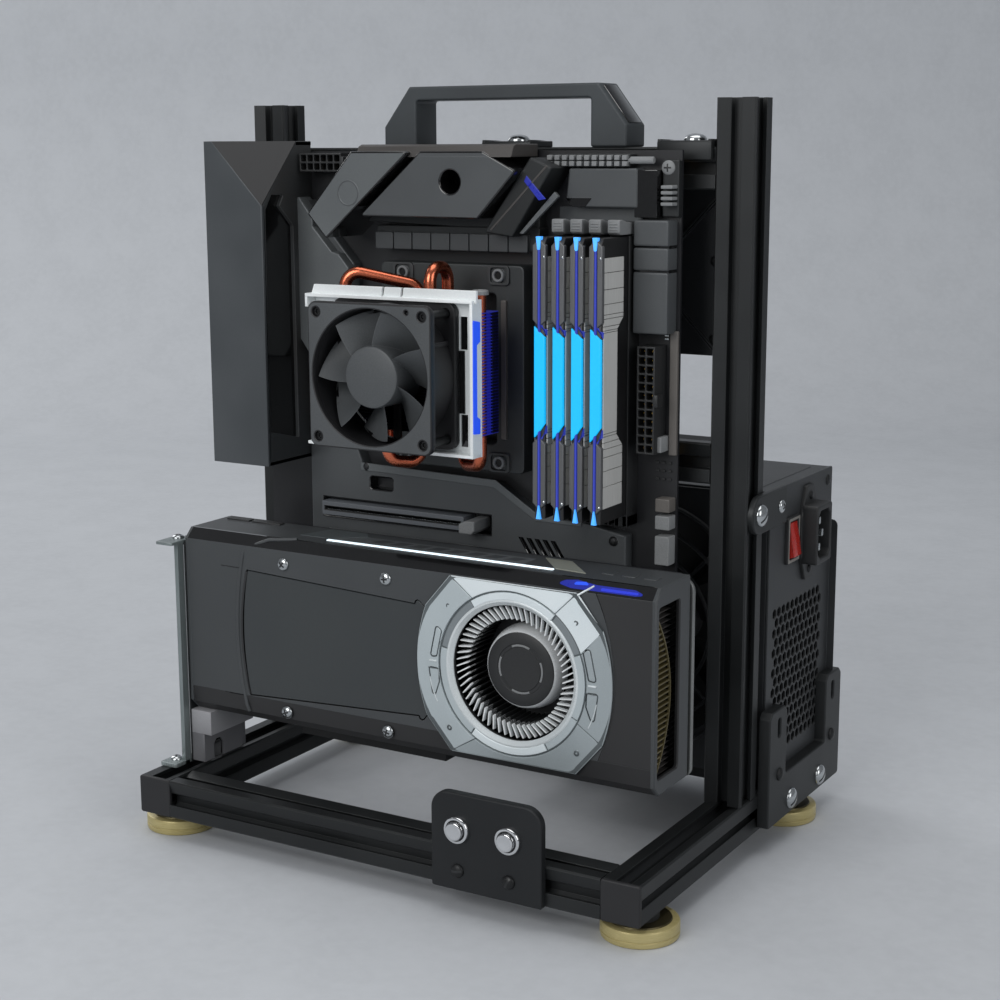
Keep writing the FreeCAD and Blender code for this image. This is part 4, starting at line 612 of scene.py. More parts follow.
    def piece(self, name: str, body: str, slot: str, replaces: Sequence[str] = ()) -> bpy.types.Object:
        """Make the finished object and tie it to its body.

        Args:
            name: the piece's name.
            body: the CAD body that it moves with.
            slot: the record's material slot; not used.
            replaces: the CAD nodes that it stands for.

        Returns:
            The object, at the origin with its place in its mesh.
        """
        mesh = bpy.data.meshes.new(name)
        points = np.concatenate(self.points) * MM + BENCH_ORIGIN
        mesh.from_pydata(points.tolist(), [], self.faces)
        for finish in self.finishes:
            mesh.materials.append(finish.material())
        mesh.polygons.foreach_set("material_index", self.marks)
        mesh.validate()
        outward(mesh)
        mesh.shade_smooth()
        mesh.set_sharp_from_angle(angle=SHARP_ANGLE)
        made = bpy.data.objects.new(name, mesh)
        bpy.context.scene.collection.objects.link(made)
        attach(made, body)
        if replaces:
            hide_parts(*replaces)
        LOG.info("%s: %d faces on %s", name, len(self.faces), body)
        return made


# Anodised aluminium, extruded: even satin black, with a pale highlight painted along the cut edges.
PROFILE = Finish("profile_anodised", "#202223", "#2b2d2e", 0.42, 0.35, 0.35, spread=0.08,
                 bump_mm=0.004, edge="#4a4c4c", edge_mm=0.3)
# The fins of the cooler are lacquered aluminium in two copies: painted shade inside the stack, and a
# painted blue glow where the blue lamp lights their ends.
FIN_SHADED = Finish("cooler_fin_painted_shade", "#141628", "#1a1c30", 0.4, 0.6, 0.4, Grain.DRAWN_X)
FIN_LIT_BLUE = Finish("cooler_fin_painted_blue_light", "#343a8e", "#2c317c", 0.35, 0.4, 0.4, Grain.DRAWN_Z,
                  glow="#2228a8", glow_strength=0.34)
# Aluminium, turned and anodised in gold: fine level rings that spread the highlight sideways.
FOOT = Finish("foot_gold_turned", "#cbbd88", "#b5a770", 0.36, 0.3, 0.25, Grain.LEVEL, 0.08, 0.006)
# The ring on the disc's top is a dark copy of the gold: painted shade under the rail.
FOOT_TOP_SHADE = Finish("foot_top_painted_shade", "#4a4430", "#5c5439", 0.4, 0.8, 0.25, spread=0.08,
                  bump_mm=0.006)
# Aluminium, cast and powder coated: a matt grey with a slight orange peel, and edges lightened by a painted
# highlight.
HANDLE = Finish("handle_powder_coat", "#454a4d", "#3c4043", 0.5, 0.2, bump_mm=0.02,
                edge="#5e6365", edge_mm=0.5, grain_mm=0.3)
# Steel sheet, bent and painted black: soft highlights, and edges lightened by a painted highlight.
BRACKET = Finish("bracket_black_steel", "#27292a", "#323435", 0.45, 0.45, 0.4, bump_mm=0.012,
                 edge="#5a5c5c", edge_mm=0.4)
SHEET = Finish("sheet_black_steel", "#1d1f21", "#252729", 0.5, 0.35, 0.4, bump_mm=0.012,
               edge="#565859", edge_mm=0.3)
TRAY = Finish("tray_black_steel", "#323436", "#3b3d40", 0.52, 0.3, 0.4, bump_mm=0.012,
              edge="#55585a", edge_mm=0.3)
SUPPLY = Finish("supply_painted_steel", "#37393b", "#414345", 0.5, 0.3, 0.35, bump_mm=0.015,
                edge="#55585a")
MOUNT = Finish("cooler_mount_steel", "#3c3f41", "#464949", 0.48, 0.4, 0.4, edge="#5c5e5f",
               edge_mm=0.3)
# The lower part of the slot bracket in two copies of one grey: lit above, and shaded below where the card
# casts its shadow; painted light and painted shade.
TONGUE_LIT = Finish("bracket_tongue_painted_light", "#a0a0a3", "#929295", 0.5, 0.2, 0.4, bump_mm=0.012)
TONGUE_SHADED = Finish("bracket_tongue_painted_shade", "#707073", "#666669", 0.5, 0.2, 0.4, bump_mm=0.012)
# Steel wire, drawn and blackened: a thin bright line along each round wire.
WIRE = Finish("wire_black_steel", "#3a3c3e", "#4a4c4e", 0.35, 0.6, 0.4)
# Steel screws, one kind blackened with oil and one plated with nickel, with turned heads.
BLACK_SCREW = Finish("screw_black_oxide", "#1c1d1e", "#2a2b2c", 0.42, 0.5, 0.3, Grain.LEVEL,
                     edge="#4a4c4d", edge_mm=0.12)
BRIGHT_SCREW = Finish("screw_nickel", "#cfd2d3", "#b4b8ba", 0.2, 1, 0.4, Grain.LEVEL, 0.06, 0.002)
# Brass, turned: warm, and bright along its length.
BRASS = Finish("standoff_brass", "#c9a258", "#a8843f", 0.32, 1, 0.3, Grain.LEVEL)
# Brass under polished chrome: it mirrors the room sharply.
CHROME = Finish("button_chrome", "#d9dcdd", "#c3c7c9", 0.12, 1, 2, spread=0.04, bump_mm=0.001)
# Zinc plated steel, drawn lengthwise: a dull grey shine in upright streaks.
STRUT = Finish("strut_zinc_plated", "#929b9b", "#7f8888", 0.34, 0.5, 0.4, Grain.DRAWN_Z, 0.08,
               0.004)
# Copper tube, bent: warm red with long clear highlights.
COPPER = Finish("pipe_copper", "#e07f60", "#c9694b", 0.26, 1, 0.5, spread=0.08, bump_mm=0.004)
# Aluminium sheet, brushed lengthwise: streaks that draw the highlight out across them.
TRIM = Finish("card_trim_brushed", "#8f918f", "#7d7f7e", 0.36, 0.75, 0.3, Grain.DRAWN_X, 0.08,
              0.006, edge="#b0b2b0", edge_mm=0.3)
# The sunk parts of the band round the blower's mouth, in a grey that paints their shade.
BAND_SHADED = Finish("fan_band_painted_shade", "#8e9598", "#80878a", 0.4, 0.3, 0.3)
BRONZE = Finish("card_fin_bronze", "#6a603c", "#544b30", 0.4, 0.3, 0.4, Grain.DRAWN_Z)
# Zinc, cast and lacquered in silver, in three copies: lighter on the top panels and darker on the left and
# lower ones, as painted light and painted shade.
SILVER_TOP_LIT = Finish("fan_surround_painted_top_light", "#eef6f8", "#e0eaed", 0.38, 0.2, 0.3, bump_mm=0.006,
                edge="#eef3f4", edge_mm=0.3)
SILVER_HALF_SHADED = Finish("fan_surround_painted_half_shade", "#c4ced1", "#b4bec1", 0.38, 0.25, 0.3, bump_mm=0.006,
                    edge="#d0d8da", edge_mm=0.3)
SILVER_LOW_SHADED = Finish("fan_surround_painted_low_shade", "#adb6b9", "#9fa8ab", 0.38, 0.25, 0.3, bump_mm=0.006,
                    edge="#b9c2c4", edge_mm=0.3)
SILVER_SHADE = Finish("fan_surround_groove", "#6d7476", "#5a6062", 0.42, 0.5, 0.3)
# Bright satin silver for the cone; the same bright colour also paints highlights, the bars and beads on the
# surround.
SILVER_SATIN_HIGHLIGHT = Finish("fan_cone_satin_and_painted_highlight", "#e3e9ea", "#d2d9db", 0.3, 0.2, 0.3, bump_mm=0.004)
HUB = Finish("blower_hub_satin", "#fbfdfe", "#eef2f3", 0.3, 0.2, 0.3, Grain.LEVEL)
OLIVE = Finish("card_clip_satin", "#a3a599", "#94968a", 0.45, 0.3, 0.3)
# Aluminium plates, cast, blasted and lacquered: flat satin greys, with edges faintly lightened by a painted
# highlight.
ARMOUR = Finish("board_cover_satin", "#4d5052", "#575a5c", 0.44, 0.25, 0.35, edge="#707375",
                edge_mm=0.4)
ARMOUR_LIGHT = Finish("board_cover_light", "#606466", "#6b6f70", 0.44, 0.25, 0.35,
                      edge="#7c8082", edge_mm=0.4)
BROWN = Finish("regulator_slope_satin", "#514e4c", "#474442", 0.46, 0.2, 0.4, edge="#6a6664",
               edge_mm=0.4)
COVER_FACE = Finish("port_cover_face", "#474b4e", "#515558", 0.44, 0.2, 0.35, edge="#66696b",
                    edge_mm=0.4)
COVER = Finish("port_cover_satin", "#46494b", "#403f3e", 0.46, 0.2, 0.35, edge="#66696b",
               edge_mm=0.4)
FACET = Finish("port_facet_satin", "#272728", "#2f2f30", 0.46, 0.1, 0.35)
GREY_STRIP = Finish("board_strip_satin", "#6b6763", "#5e5a56", 0.48, 0.1, 0.4)
RIM = Finish("cooler_clip_satin", "#3f4142", "#4a4c4d", 0.45, 0.3, 0.4, edge="#66686a",
             edge_mm=0.3)
MODULE = Finish("memory_side_plate", "#626365", "#6c6d6f", 0.42, 0.45, 0.3, Grain.DRAWN_Z, 0.06,
                0.006, edge="#6e6e70", edge_mm=0.25)
MODULE_SIDE = Finish("memory_plate_satin", "#cfcfcc", "#c0c0bd", 0.45, 0, 0.3, Grain.DRAWN_Z,
                     0.06, 0.006)
# ABS, moulded with a fine grain: no mirror, a soft wide highlight, and slightly paler edges from a painted
# highlight.
CAP = Finish("end_cap_moulded", "#1e1e20", "#252527", 0.55, 0, 0.5, bump_mm=0.012,
             edge="#39393b", edge_mm=0.3)
SHROUD = Finish("card_shroud_moulded", "#3d4042", "#434648", 0.48, 0, 0.35, bump_mm=0.014,
                edge="#606365")
# A darker copy of the shroud plastic: painted shade on the skirt, the walls of the window, mouth and
# outlet, and the front right of the crease; also two raised blocks on the roof.
SHROUD_DARK_SHADE = Finish("card_shroud_dark_and_painted_shade", "#262627", "#2c2c2d", 0.5, 0, 0.35, bump_mm=0.014,
                    edge="#4a4c4d")
BLACK_PLASTIC = Finish("black_plastic_moulded", "#1f2021", "#2a2b2c", 0.48, 0, 0.5,
                       bump_mm=0.012, edge="#38393a", edge_mm=0.25)
# Black for the slots of screw heads and the gap round each button: painted shade.
SLOT_AND_GAP_SHADE = Finish("slot_and_gap_painted_shade", "#1b1c1d", "#27282a", 0.38, 0, 0.4)
# The fan frame's sides, rear flange and barrel, darker than its grey front face: painted shade.
FAN_SHADED = Finish("fan_frame_painted_shade", "#19191b", "#222224", 0.48, 0, 0.5)
GREY_PLASTIC = Finish("fan_grey_plastic", "#484b4d", "#55585a", 0.46, 0, 0.5, edge="#65686a",
                      edge_mm=0.3)
BEZEL = Finish("bezel_grey_plastic", "#8f8c86", "#7d7a75", 0.5, 0, 0.5)
BLADE = Finish("blower_blade_moulded", "#f2f5f6", "#e2e6e7", 0.5, 0, 0.5)
COWL = Finish("cowl_white_moulded", "#fafdfd", "#f0f5f6", 0.34, 0, bump_mm=0.005)
MODULE_CORE = Finish("memory_core_black", "#161617", "#202021", 0.45, 0, 0.5, bump_mm=0.008)
# Nylon, moulded: duller than ABS, dark in the sockets and pale grey in the latches.
SOCKET = Finish("socket_black_nylon", "#1d1e1f", "#28292a", 0.5, 0, 0.5, edge="#3b3c3d",
                edge_mm=0.2)
SLOT_GREY = Finish("slot_grey_nylon", "#6c7076", "#62666b", 0.5, 0, 0.5)
LATCH = Finish("latch_grey_nylon", "#8a8c8d", "#7c7e7f", 0.5, 0, 0.5, edge="#a0a2a2",
               edge_mm=0.2)
# ABS, moulded in a polished tool: the black trim, the smoked panel and the red key mirror.
GLOSS = Finish("card_gloss_black", "#0d0d0e", "#151516", 0.12, 0, 2, spread=0.04,
               bump_mm=0.002, coat=0.6)
PANEL = Finish("card_panel_smoked", "#34383a", "#373b3c", 0.36, 0, 1.5, spread=0.03,
               bump_mm=0.002, coat=0.1)
RED = Finish("rocker_red_plastic", "#c8281c", "#a81c12", 0.22, 0, 1.2, bump_mm=0.003, coat=0.5)
# Glass cloth in resin, pressed and lacquered black: almost flat, with a faint weave.
BOARD = Finish("board_black_laminate", "#16171a", "#1d1e21", 0.45, spread=0.08, bump_mm=0.02)
# Acrylic, moulded over lamps, for the memory's light bars: each glows evenly in its own colour, brighter
# than it reflects. The first four glows below, the white and three blues, are no lamps: their glow is
# painted light.
# A glowing white line along the card's roof: a painted highlight, no lamp.
ROOF_LINE_GLOW = Finish("roof_line_painted_highlight", "#f2fbff", "#e6f6ff", 0.4, 0, 1, glow="#e4f6ff",
                   glow_strength=1.1)
# Blue glow that is no lamp: a painted reflection of blue lamp light on the card's bevel, and a painted blue
# patch on a regulator cover.
GLOW_BLUE_PAINTED = Finish("painted_blue_glow", "#141a4a", "#12163e", 0.3, 0, 1.5, glow="#2a3ae0",
                  glow_strength=0.38)
# A brighter painted blue glow in the middle of the bevel's reflection.
GLOW_MID_PAINTED = Finish("painted_glow_middle", "#222c90", "#1e2880", 0.3, 0, 1.5, glow="#2c3ee8",
                  glow_strength=0.62)
# A painted blue glow, on the card's bevel and on the cooler cowl's side.
GLOW_STRIP_PAINTED = Finish("painted_blue_glow_strip", "#2c56dc", "#2448c8", 0.35, 0, 1.5, glow="#2450e8",
                   glow_strength=0.6)
LIT_LINE = Finish("light_guide_blue", "#3440a4", "#2c378c", 0.35, 0, 1.5, glow="#3444c8",
                  glow_strength=0.35)
LIT_CYAN = Finish("light_bar_cyan", "#1287b8", "#1a90c0", 0.35, 0, 1.5, glow="#0cc0ff",
                  glow_strength=0.72)
LIT_TIP = Finish("light_tip_azure", "#4aa0ff", "#5ab0ff", 0.35, 0, 1.5, glow="#48a4ff",
                 glow_strength=0.8)
# Card, matt: the studio's sheet, pale and without a highlight.
FLOOR = Finish("studio_floor_matt", "#c9ccd0", "#c4c7cb", 0.85, 0, 8, spread=0.03,
               specular=0.2)

NODE_FINISH: dict[Finish, str] = {
    PROFILE: "base_rail_front base_rail_rear base_rail_left base_rail_right post_left post_right "
             "crossbar_upper crossbar_lower",
    CAP: "rail_end_caps", FOOT: "feet", HANDLE: "handle", TRAY: "back_tray",
    BRACKET: "angle_brackets psu_bracket psu_tab", SHEET: "switch_plate card_bracket",
    BRASS: "board_standoffs", CHROME: "button_housings power_button reset_button",
    BLACK_SCREW: "black_screws", BRIGHT_SCREW: "dome_screws small_screws card_strut",
    SUPPLY: "psu_housing psu_fan_side psu_fan_mount", BLACK_PLASTIC: "psu_fan_rotor power_inlet",
    WIRE: "psu_fan_grille", BEZEL: "rocker_bezel", RED: "rocker_switch", SHROUD: "card_shroud",
    PANEL: "card_window", SILVER_TOP_LIT: "card_fan_ring", SILVER_SHADE: "card_back_plate",
    GREY_PLASTIC: "card_blower cooler_fan_frame cooler_fan_rotor", BOARD: "card_board mainboard",
    BRONZE: "card_fins", SOCKET: "riser_socket edge_sockets power_sockets", COVER: "port_cover",
    ARMOUR: "regulator_cover right_cover", ARMOUR_LIGHT: "board_armour",
    MODULE: "memory_modules", COWL: "cooler_cowl", FIN_LIT_BLUE: "cooler_fins",
    MOUNT: "cooler_mount", COPPER: "heat_pipes",
    LATCH: "slot_latch memory_latch_1 memory_latch_2 memory_latch_3 memory_latch_4",
}


def dress(finishes: dict[Finish, str]) -> None:
    """Give every CAD node its finish in place of the plain colour that it came with.

    Args:
        finishes: the names of the nodes for each finish, with spaces between them.
    """
    for finish, nodes in finishes.items():
        for node in nodes.split():
            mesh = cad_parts[node].data
            mesh.materials.clear()
            mesh.materials.append(finish.material())
    LOG.info("dressed the CAD nodes in %d finishes", len(finishes))


def turn_flat(flat: Loop, centre: Pair, degrees: float) -> Loop:
    """Turn flat points about a centre: the sum of cosine and sine parts of their offsets."""
    angle = math.radians(degrees)
    spin = np.array([[math.cos(angle), math.sin(angle)], [-math.sin(angle), math.cos(angle)]])
    return (np.asarray(flat, float) - centre) @ spin + centre


def bow(start: Pair, end: Pair, rise: float, count: int = 12) -> Loop:
    """An arc between two points, whose middle stands to the left of the line by a rise.

    Its height at a share t of the line is the rise times four t times one minus t.
    """
    start, end = np.array(start, float), np.array(end, float)
    share = np.linspace(0, 1, count)[:, None]
    along = end - start
    side = np.array([-along[1], along[0]]) / np.linalg.norm(along)
    return start + share * along + 4 * share * (1 - share) * rise * side


def ring_part(centre: Pair, inner: float, outer: float, start: float, end: float,
              count: int = 16) -> Loop:
    """A piece of a flat ring between two angles in degrees."""
    return np.concatenate([arc(centre, outer, start, end, count), arc(centre, inner, end, start, count)])


@dataclass(frozen=True)
class Head:
    """A screw's head: a dome with a straight slot or a cross that is sunk into it."""

    radius: float
    high: float
    finish: Finish
    crossed: bool = False
    slot_wide: float = 1

    def add_to(self, shell: Shell, facing: Facing, centre: Pair, level: float,
               turn: float = 0) -> None:
        """Put one head on a face.

        The dome is part of an ellipse: its radius goes with the cosine of an angle and its
        height with the sine. The slot is a dark ribbon that follows the same ellipse.

        Args:
            shell: the shell that takes it.
            facing: the way it looks.
            centre: its axis.
            level: the face that it rests on.
            turn: how far its slot is turned, in degrees.
        """
        bend = np.radians(np.linspace(0, 76, 7))
        dome = [(self.radius * math.cos(a), self.high * (0.14 + 0.86 * math.sin(a))) for a in bend]
        profile = [(0, 0), (self.radius, 0), *dome, (0, self.high)]
        shell.turned(facing, centre, level, profile, self.finish, 24)
        # The slot's black ribbon is painted shade, laid on the dome in place of a cut.
        reach = 0.55 if self.crossed else 0.84
        share = np.linspace(-reach, reach, 9)
        rise = self.high * (0.14 + 0.86 * np.sqrt(1 - share ** 2))
        half = self.slot_wide / 2
        for quarter in (0, 90) if self.crossed else (0,):
            rings = []
            for along, high in zip(share * self.radius, rise):
                flat = turn_flat([(along, -half), (along, half), (along, half), (along, -half)], (0, 0),
                    turn + quarter) + np.array(centre)
                rings.append(facing.raised(flat, level, high + np.array([-0.5, -0.5, 0.03, 0.03])))
            shell.loft(np.array(rings), SLOT_AND_GAP_SHADE)


@dataclass(frozen=True)
class GraphicsCard:
    """The card: its shroud with the window, the silver surround, the blower and the outlet."""

    left: float = -135
    right: float = 138
    front: float = 30
    back: float = 66
    low: float = 62
    high: float = 160
    wall: float = 2
    bevel: float = 5
    skirt: float = 75.2
    axis: Pair = (63.5, 110.8)
    mouth: float = 33.5
    window: tuple[float, float, float, float] = (-96, 75.4, 17, 142.6)
    window_bulge: float = 3.6
    crease_x: float = 108.5
    outlet: tuple[float, float, float, float] = (33.2, 70, 55, 151)
    ring_out: float = 2.4
    ring_inner: float = 40.2
    blades: int = 60
    blade_tip: float = 32.6
    blade_root: float = 25.4
    blade_front: float = 31.4
    wheel_back: float = 55
    hub_radius: float = 18.8
    hub_front: float = 37
    fins: int = 31
    outlet_bow: float = 17

    def window_loop(self, gap: float) -> Loop:
        """The window's outline: an arc on the left and two cut corners on the right."""
        left, low, right, high = self.window
        side = bow((left + 1.5, high), (left + 1.5, low), -self.window_bulge, 17)
        corners = rounded([(right - 7, low), (right, low + 9), (right, high - 8), (right - 9, high)], 2, 3)
        return inset(np.concatenate([side, corners]), gap)

    def crease(self, shift: float) -> Loop:
        """The bowed line right of the surround where the shroud's painted shade begins."""
        low = (self.crease_x + shift, self.skirt)
        high = (self.crease_x + shift - 1.5, self.high - self.bevel)
        return bow(low, high, -9, 15)

    def shroud(self) -> None:
        """Build the shroud from its front plates, its skirt, its bevel and its end walls; the skirt, the
        hole walls and the part right of the crease carry painted shade.
        """
        shell = Shell()
        front, back, low, high, wall = self.front, self.back, self.low, self.high, self.wall
        inner_left, inner_right, top = self.left + wall, self.right - wall, high - self.bevel
        fold, long, thick = front + self.bevel, inner_right - inner_left, 3
        mouth = circle(self.axis, self.mouth, 64)
        main = np.concatenate([[(inner_left, self.skirt)], self.crease(0), [(inner_left, top)]])
        shell.plate(FRONT, front + thick, main, [(0, 0), (0, thick)], SHROUD, [self.window_loop(0), mouth],
            wall=SHROUD_DARK_SHADE)
        side = np.concatenate([self.crease(0.5)[::-1], [(inner_right, self.skirt), (inner_right,
            top)]])[::-1]
        first = len(shell.points)
        shell.plate(FRONT, front + thick, side, [(0, 0), (0, thick - 0.25), (0.25, thick)], SHROUD_DARK_SHADE)
        shell.reshape(first, self.scoop)
        shell.bead(self.crease(0.25), front + 0.75, 0.55, GLOSS)
        skirt = [(front + 0.15, self.skirt), (front + 1.3, low + 4.2), (fold, low), (back, low),
            (back, low + wall), (fold + 1, low + 2), (front + 4, low + 6), (front + 3, self.skirt)]
        bevel = [(front, top), (front + 3, top - 1.5), (fold + 1.4, high - wall), (fold + 1.4, high),
            (fold, high)]
        roof = rectangle(fold + 1.4, high - wall, back, high)
        for section, finish in ((skirt, SHROUD_DARK_SHADE), (bevel, GLOSS), (roof, SHROUD)):
            shell.plate(RIGHT, inner_left, section, [(0, 0), (0, long)], finish)
        end = [(fold, low), (back, low), (back, high), (fold, high), (front, top),
            (front, low + self.bevel)]
        edge = [(0, 0), (0, 1.4), (0.6, wall)]
        shell.plate(LEFT, inner_left, end, edge, SHROUD)
        shell.plate(RIGHT, inner_right, end, edge, SHROUD, [rounded(rectangle(*self.outlet), 1.5, 3)],
            wall=SHROUD_DARK_SHADE)
        shell.piece("card_shroud_shell", "bench", "card_shell", ["card_shroud"])

    def scoop(self, points: np.ndarray) -> np.ndarray:
        """Sink the right end of the front a little: half a wave, deepest in the middle."""
        left, right = self.crease_x, self.right - self.wall
        share = np.clip((points[:, 0] - left) / (right - left), 0, 1)
        near = points[:, 1] < self.front + 1
        points[:, 1] += np.where(near, 0.2 * np.sin(share * math.pi), 0)
        return points

    def trim(self) -> None:
        """Add the bead beside the window, the bright line on the roof, the inlays and the blue glow on the
        bevel; the roof line's glow is a painted highlight, and the bevel's glow a painted reflection of
        blue lamp light.
        """
        shell = Shell()
        left, low, right, high = self.window
        front, roof = self.front, self.high
        side = bow((left + 0.6, high + 10.5), (left + 0.6, self.low + 4.5), -5.2, 25)
        depth = np.full(len(side), front + 0.2)
        depth[[0, -1]] += (0.6, 0.8)
        over = [(left + 30, front + self.bevel + 1, roof + 0.1), (left + 14, front + 3.4, roof - 1.2)]
        path = np.column_stack([side[:, 0] - 0.6, depth, side[:, 1]])
        shell.tube(np.concatenate([over, path]), 1, SHROUD, 10)
        groove = bow((left + 0.9, high - 1), (left + 0.9, low + 1), -self.window_bulge - 0.6, 21)
        shell.bead(groove + (0.5, 0), front + 0.35, 0.8, GLOSS, 8)
        for z, tilt in ((high + 0.2, -1), (low - 0.4, 1.2)):
            shell.bead(loop([(left - 15, z - tilt * 0.1), (left - 3, z)]), front, 0.28, GLOSS)
        shell.piece("card_bead", "bench", "card_shell")
        # A glowing white line along the roof: a painted highlight.
        lamp = Shell()
        lamp.block((-52.5, 42.1, roof - 0.4), (78, 44.2, roof + 0.5), ROOF_LINE_GLOW, 0.3, UP)
        lamp.piece("card_roof_line_painted_highlight", "bench", "card_panel")
        inlay = Shell()
        inlays = [(0.2, (0.45, 0.15), SILVER_SHADE, [(-71.8, 46.4), (-53.5, 46.4), (-38.2, 58.8), (-43.4,
            65.4), (-65.3, 65.4)]), (0.2, (0.6, 0.2), OLIVE, [(63, 62.5), (78, 45), (95, 43.5), (78, 62)]),
            (0.2, (0.35, 0.15), ARMOUR_LIGHT, [(-52, 46.4), (60, 46.4), (60, 58.6), (-37.4, 58.6)])]
        inlays += [(0.1, (0.4, 0.1), SHROUD, [(x, 49), (x + 7.4, 49), (x + 10.4, 55.6), (x + 3, 55.6)])
            for x in range(-30, 58, 11)]
        for sunk, edge, finish, corners in inlays:
            inlay.plate(UP, roof - sunk, corners, edge, finish)
        inlay.blocks(SHROUD_DARK_SHADE, 0.3, ((-130.4, 59.5, roof - 1), (-115.7, 64, roof + 0.7)),
            ((-113.9, 59.5, roof - 1), (-95.3, 64, roof + 0.7)), facing=UP)
        for x in (101, 112, 123):
            inlay.block((x, 47, roof - 0.3), (x + 6.5, 53, roof + 0.4), SHROUD, 0.3, UP)
        inlay.piece("card_top_inlays", "bench", "card_shell")
        # Blue glowing patches on the card's top bevel: a painted reflection of blue lamp light.
        glow = Shell()
        half = math.sqrt(0.5)
        centre = np.array([0, front + 2.5, roof - 2.5])
        out, up = np.array([0, -half, half]), np.array([0, half, half])
        spots = (([(86, -0.6), (94, -2.4), (127, -2.3), (132, -1.4), (126, 0.9), (106, 0.9), (96, 2.4), (90,
            1.6)], GLOW_BLUE_PAINTED, 0.1), ([(94.5, -0.4), (103, 0.2), (100.5, 1.8), (95.5, 1.3)], GLOW_STRIP_PAINTED, 0.2),
            ([(109, -1.8), (128, -1.6), (128, -0.4), (109, -0.3)], GLOW_MID_PAINTED, 0.2))
        for corners, finish, lift in spots:
            flat = rounded(corners, 1, 3)
            rings = [centre + flat[:, :1] * [1, 0, 0] + flat[:, 1:] * up + out * rise for rise in (-0.2,
                lift)]
            glow.loft(np.array(rings), finish)
        glow.piece("card_painted_glow", "bench", "card_panel")

    def glass(self) -> None:
        """Build the smoked panel behind the window's edge."""
        shell = Shell()
        shell.plate(FRONT, self.front + 2.6, self.window_loop(0.55), (2.4, 0.3), PANEL)
        shell.piece("card_window_panel", "bench", "card_panel", ["card_window"])

    def panel_loop(self, start: float, end: float, outer: Sequence[Pair]) -> Loop:
        """One panel of the surround: an inner arc and its own outer line, about the axis."""
        inner = arc((0, 0), self.ring_inner, start, end, 20)
        return np.concatenate([np.asarray(outer, float), inner]) + np.array(self.axis)

    def slope(self, points: np.ndarray) -> np.ndarray:
        """Let the surround fall off outwards by a share of the distance from its inner rim."""
        away = np.hypot(points[:, 0] - self.axis[0], points[:, 2] - self.axis[1])
        near = points[:, 1] < self.front - 0.6
        points[:, 1] += np.where(near, 0.085 * np.clip(away - self.ring_inner, 0, 20), 0)
        return points

    def surround(self) -> None:
        """Build the silver surround: five panels, a stepped band and a bright cone."""
        shell = Shell()
        front, thick = self.front, self.ring_out - 0.6
        flat, tall, side_x, side_z = 34.4, 43.9, 48.3, 27.8
        right_arc = bow((side_x, side_z), (side_x, -side_z), 5.1, 17)
        left_arc = bow((-side_x, -side_z), (-side_x, side_z), 5.1, 17)
        outline = np.concatenate([[(flat, -tall)], right_arc[::-1], [(flat, tall), (-flat, tall)],
            left_arc[::-1], [(-flat, -tall)]])
        shell.plate(FRONT, front, inset(outline + self.axis, 0.6), [(0, 0), (0, 1.3)], SILVER_SHADE,
            [circle(self.axis, 34.6, 72)])
        left_marks = (loop([(-45.2, 2.4), (-41.2, 3), (-38.2, 16.2), (-41.6, 18.6)]),
            loop([(-46, -2.8), (-40.2, -2.8), (-39.8, -9.6), (-43.6, -20)]))
        right_marks = [mark * [-1, 1] + [0.3, 0] for mark in left_marks]
        panels = ((121.3, 53.9, [(flat + 0.6, tall - 0.2), (-flat + 0.2, tall)], SILVER_TOP_LIT, ()),
            (53.9, 21.8, [(side_x, side_z - 1), (flat + 0.6, tall - 0.2)], SILVER_TOP_LIT, ()),
            (21.8, -27.3, [*right_arc[::-1]], SILVER_LOW_SHADED, right_marks),
            (-27.3, -119.5, [(-flat, -tall), (flat, -tall), (side_x, -side_z)], SILVER_LOW_SHADED, ()),
            (240.5, 121.3, [(-flat, tall), *left_arc[::-1], (-flat, -tall)], SILVER_HALF_SHADED, left_marks))
        # Each panel takes its own copy of the silver: the top ones in painted light, the left in painted
        # half shade, the right and lower in painted deeper shade.
        for start, end, outer, finish, marks in panels:
            wells = [turning(rounded(mark + self.axis, 1.2, 3)) for mark in marks]
            first = len(shell.points)
            shape = inset(turning(self.panel_loop(start, end, outer)), 0.18)
            shell.plate(FRONT, front - 0.6, shape, (thick, 0.3), finish, wells, wall=SILVER_SHADE)
            for well in wells:
                shell.plate(FRONT, front - 0.6, inset(well, 0.3), (thick + 0.1, 0.35), finish)
            shell.reshape(first, self.slope)
        # On each side a bright bar and a bright bead are painted highlights, with a grey bar below.
        for side in (-1, 1):
            x = self.axis[0] + 43.4 * side
            shell.block((x - 2.2, front - 2.7, 111), (x + 2.2, front - 1, 111.9), SILVER_SATIN_HIGHLIGHT, 0.3)
            shell.block((x - 2.8, front - 2.4, 107.4), (x + 2.8, front - 1, 107.9), SILVER_SHADE, 0.15)
            shell.bead(bow((x + side * 2, 103), (x - side * 2.2, 91), side * 0.5, 9), front - 1.75, 0.35,
                SILVER_SATIN_HIGHLIGHT)
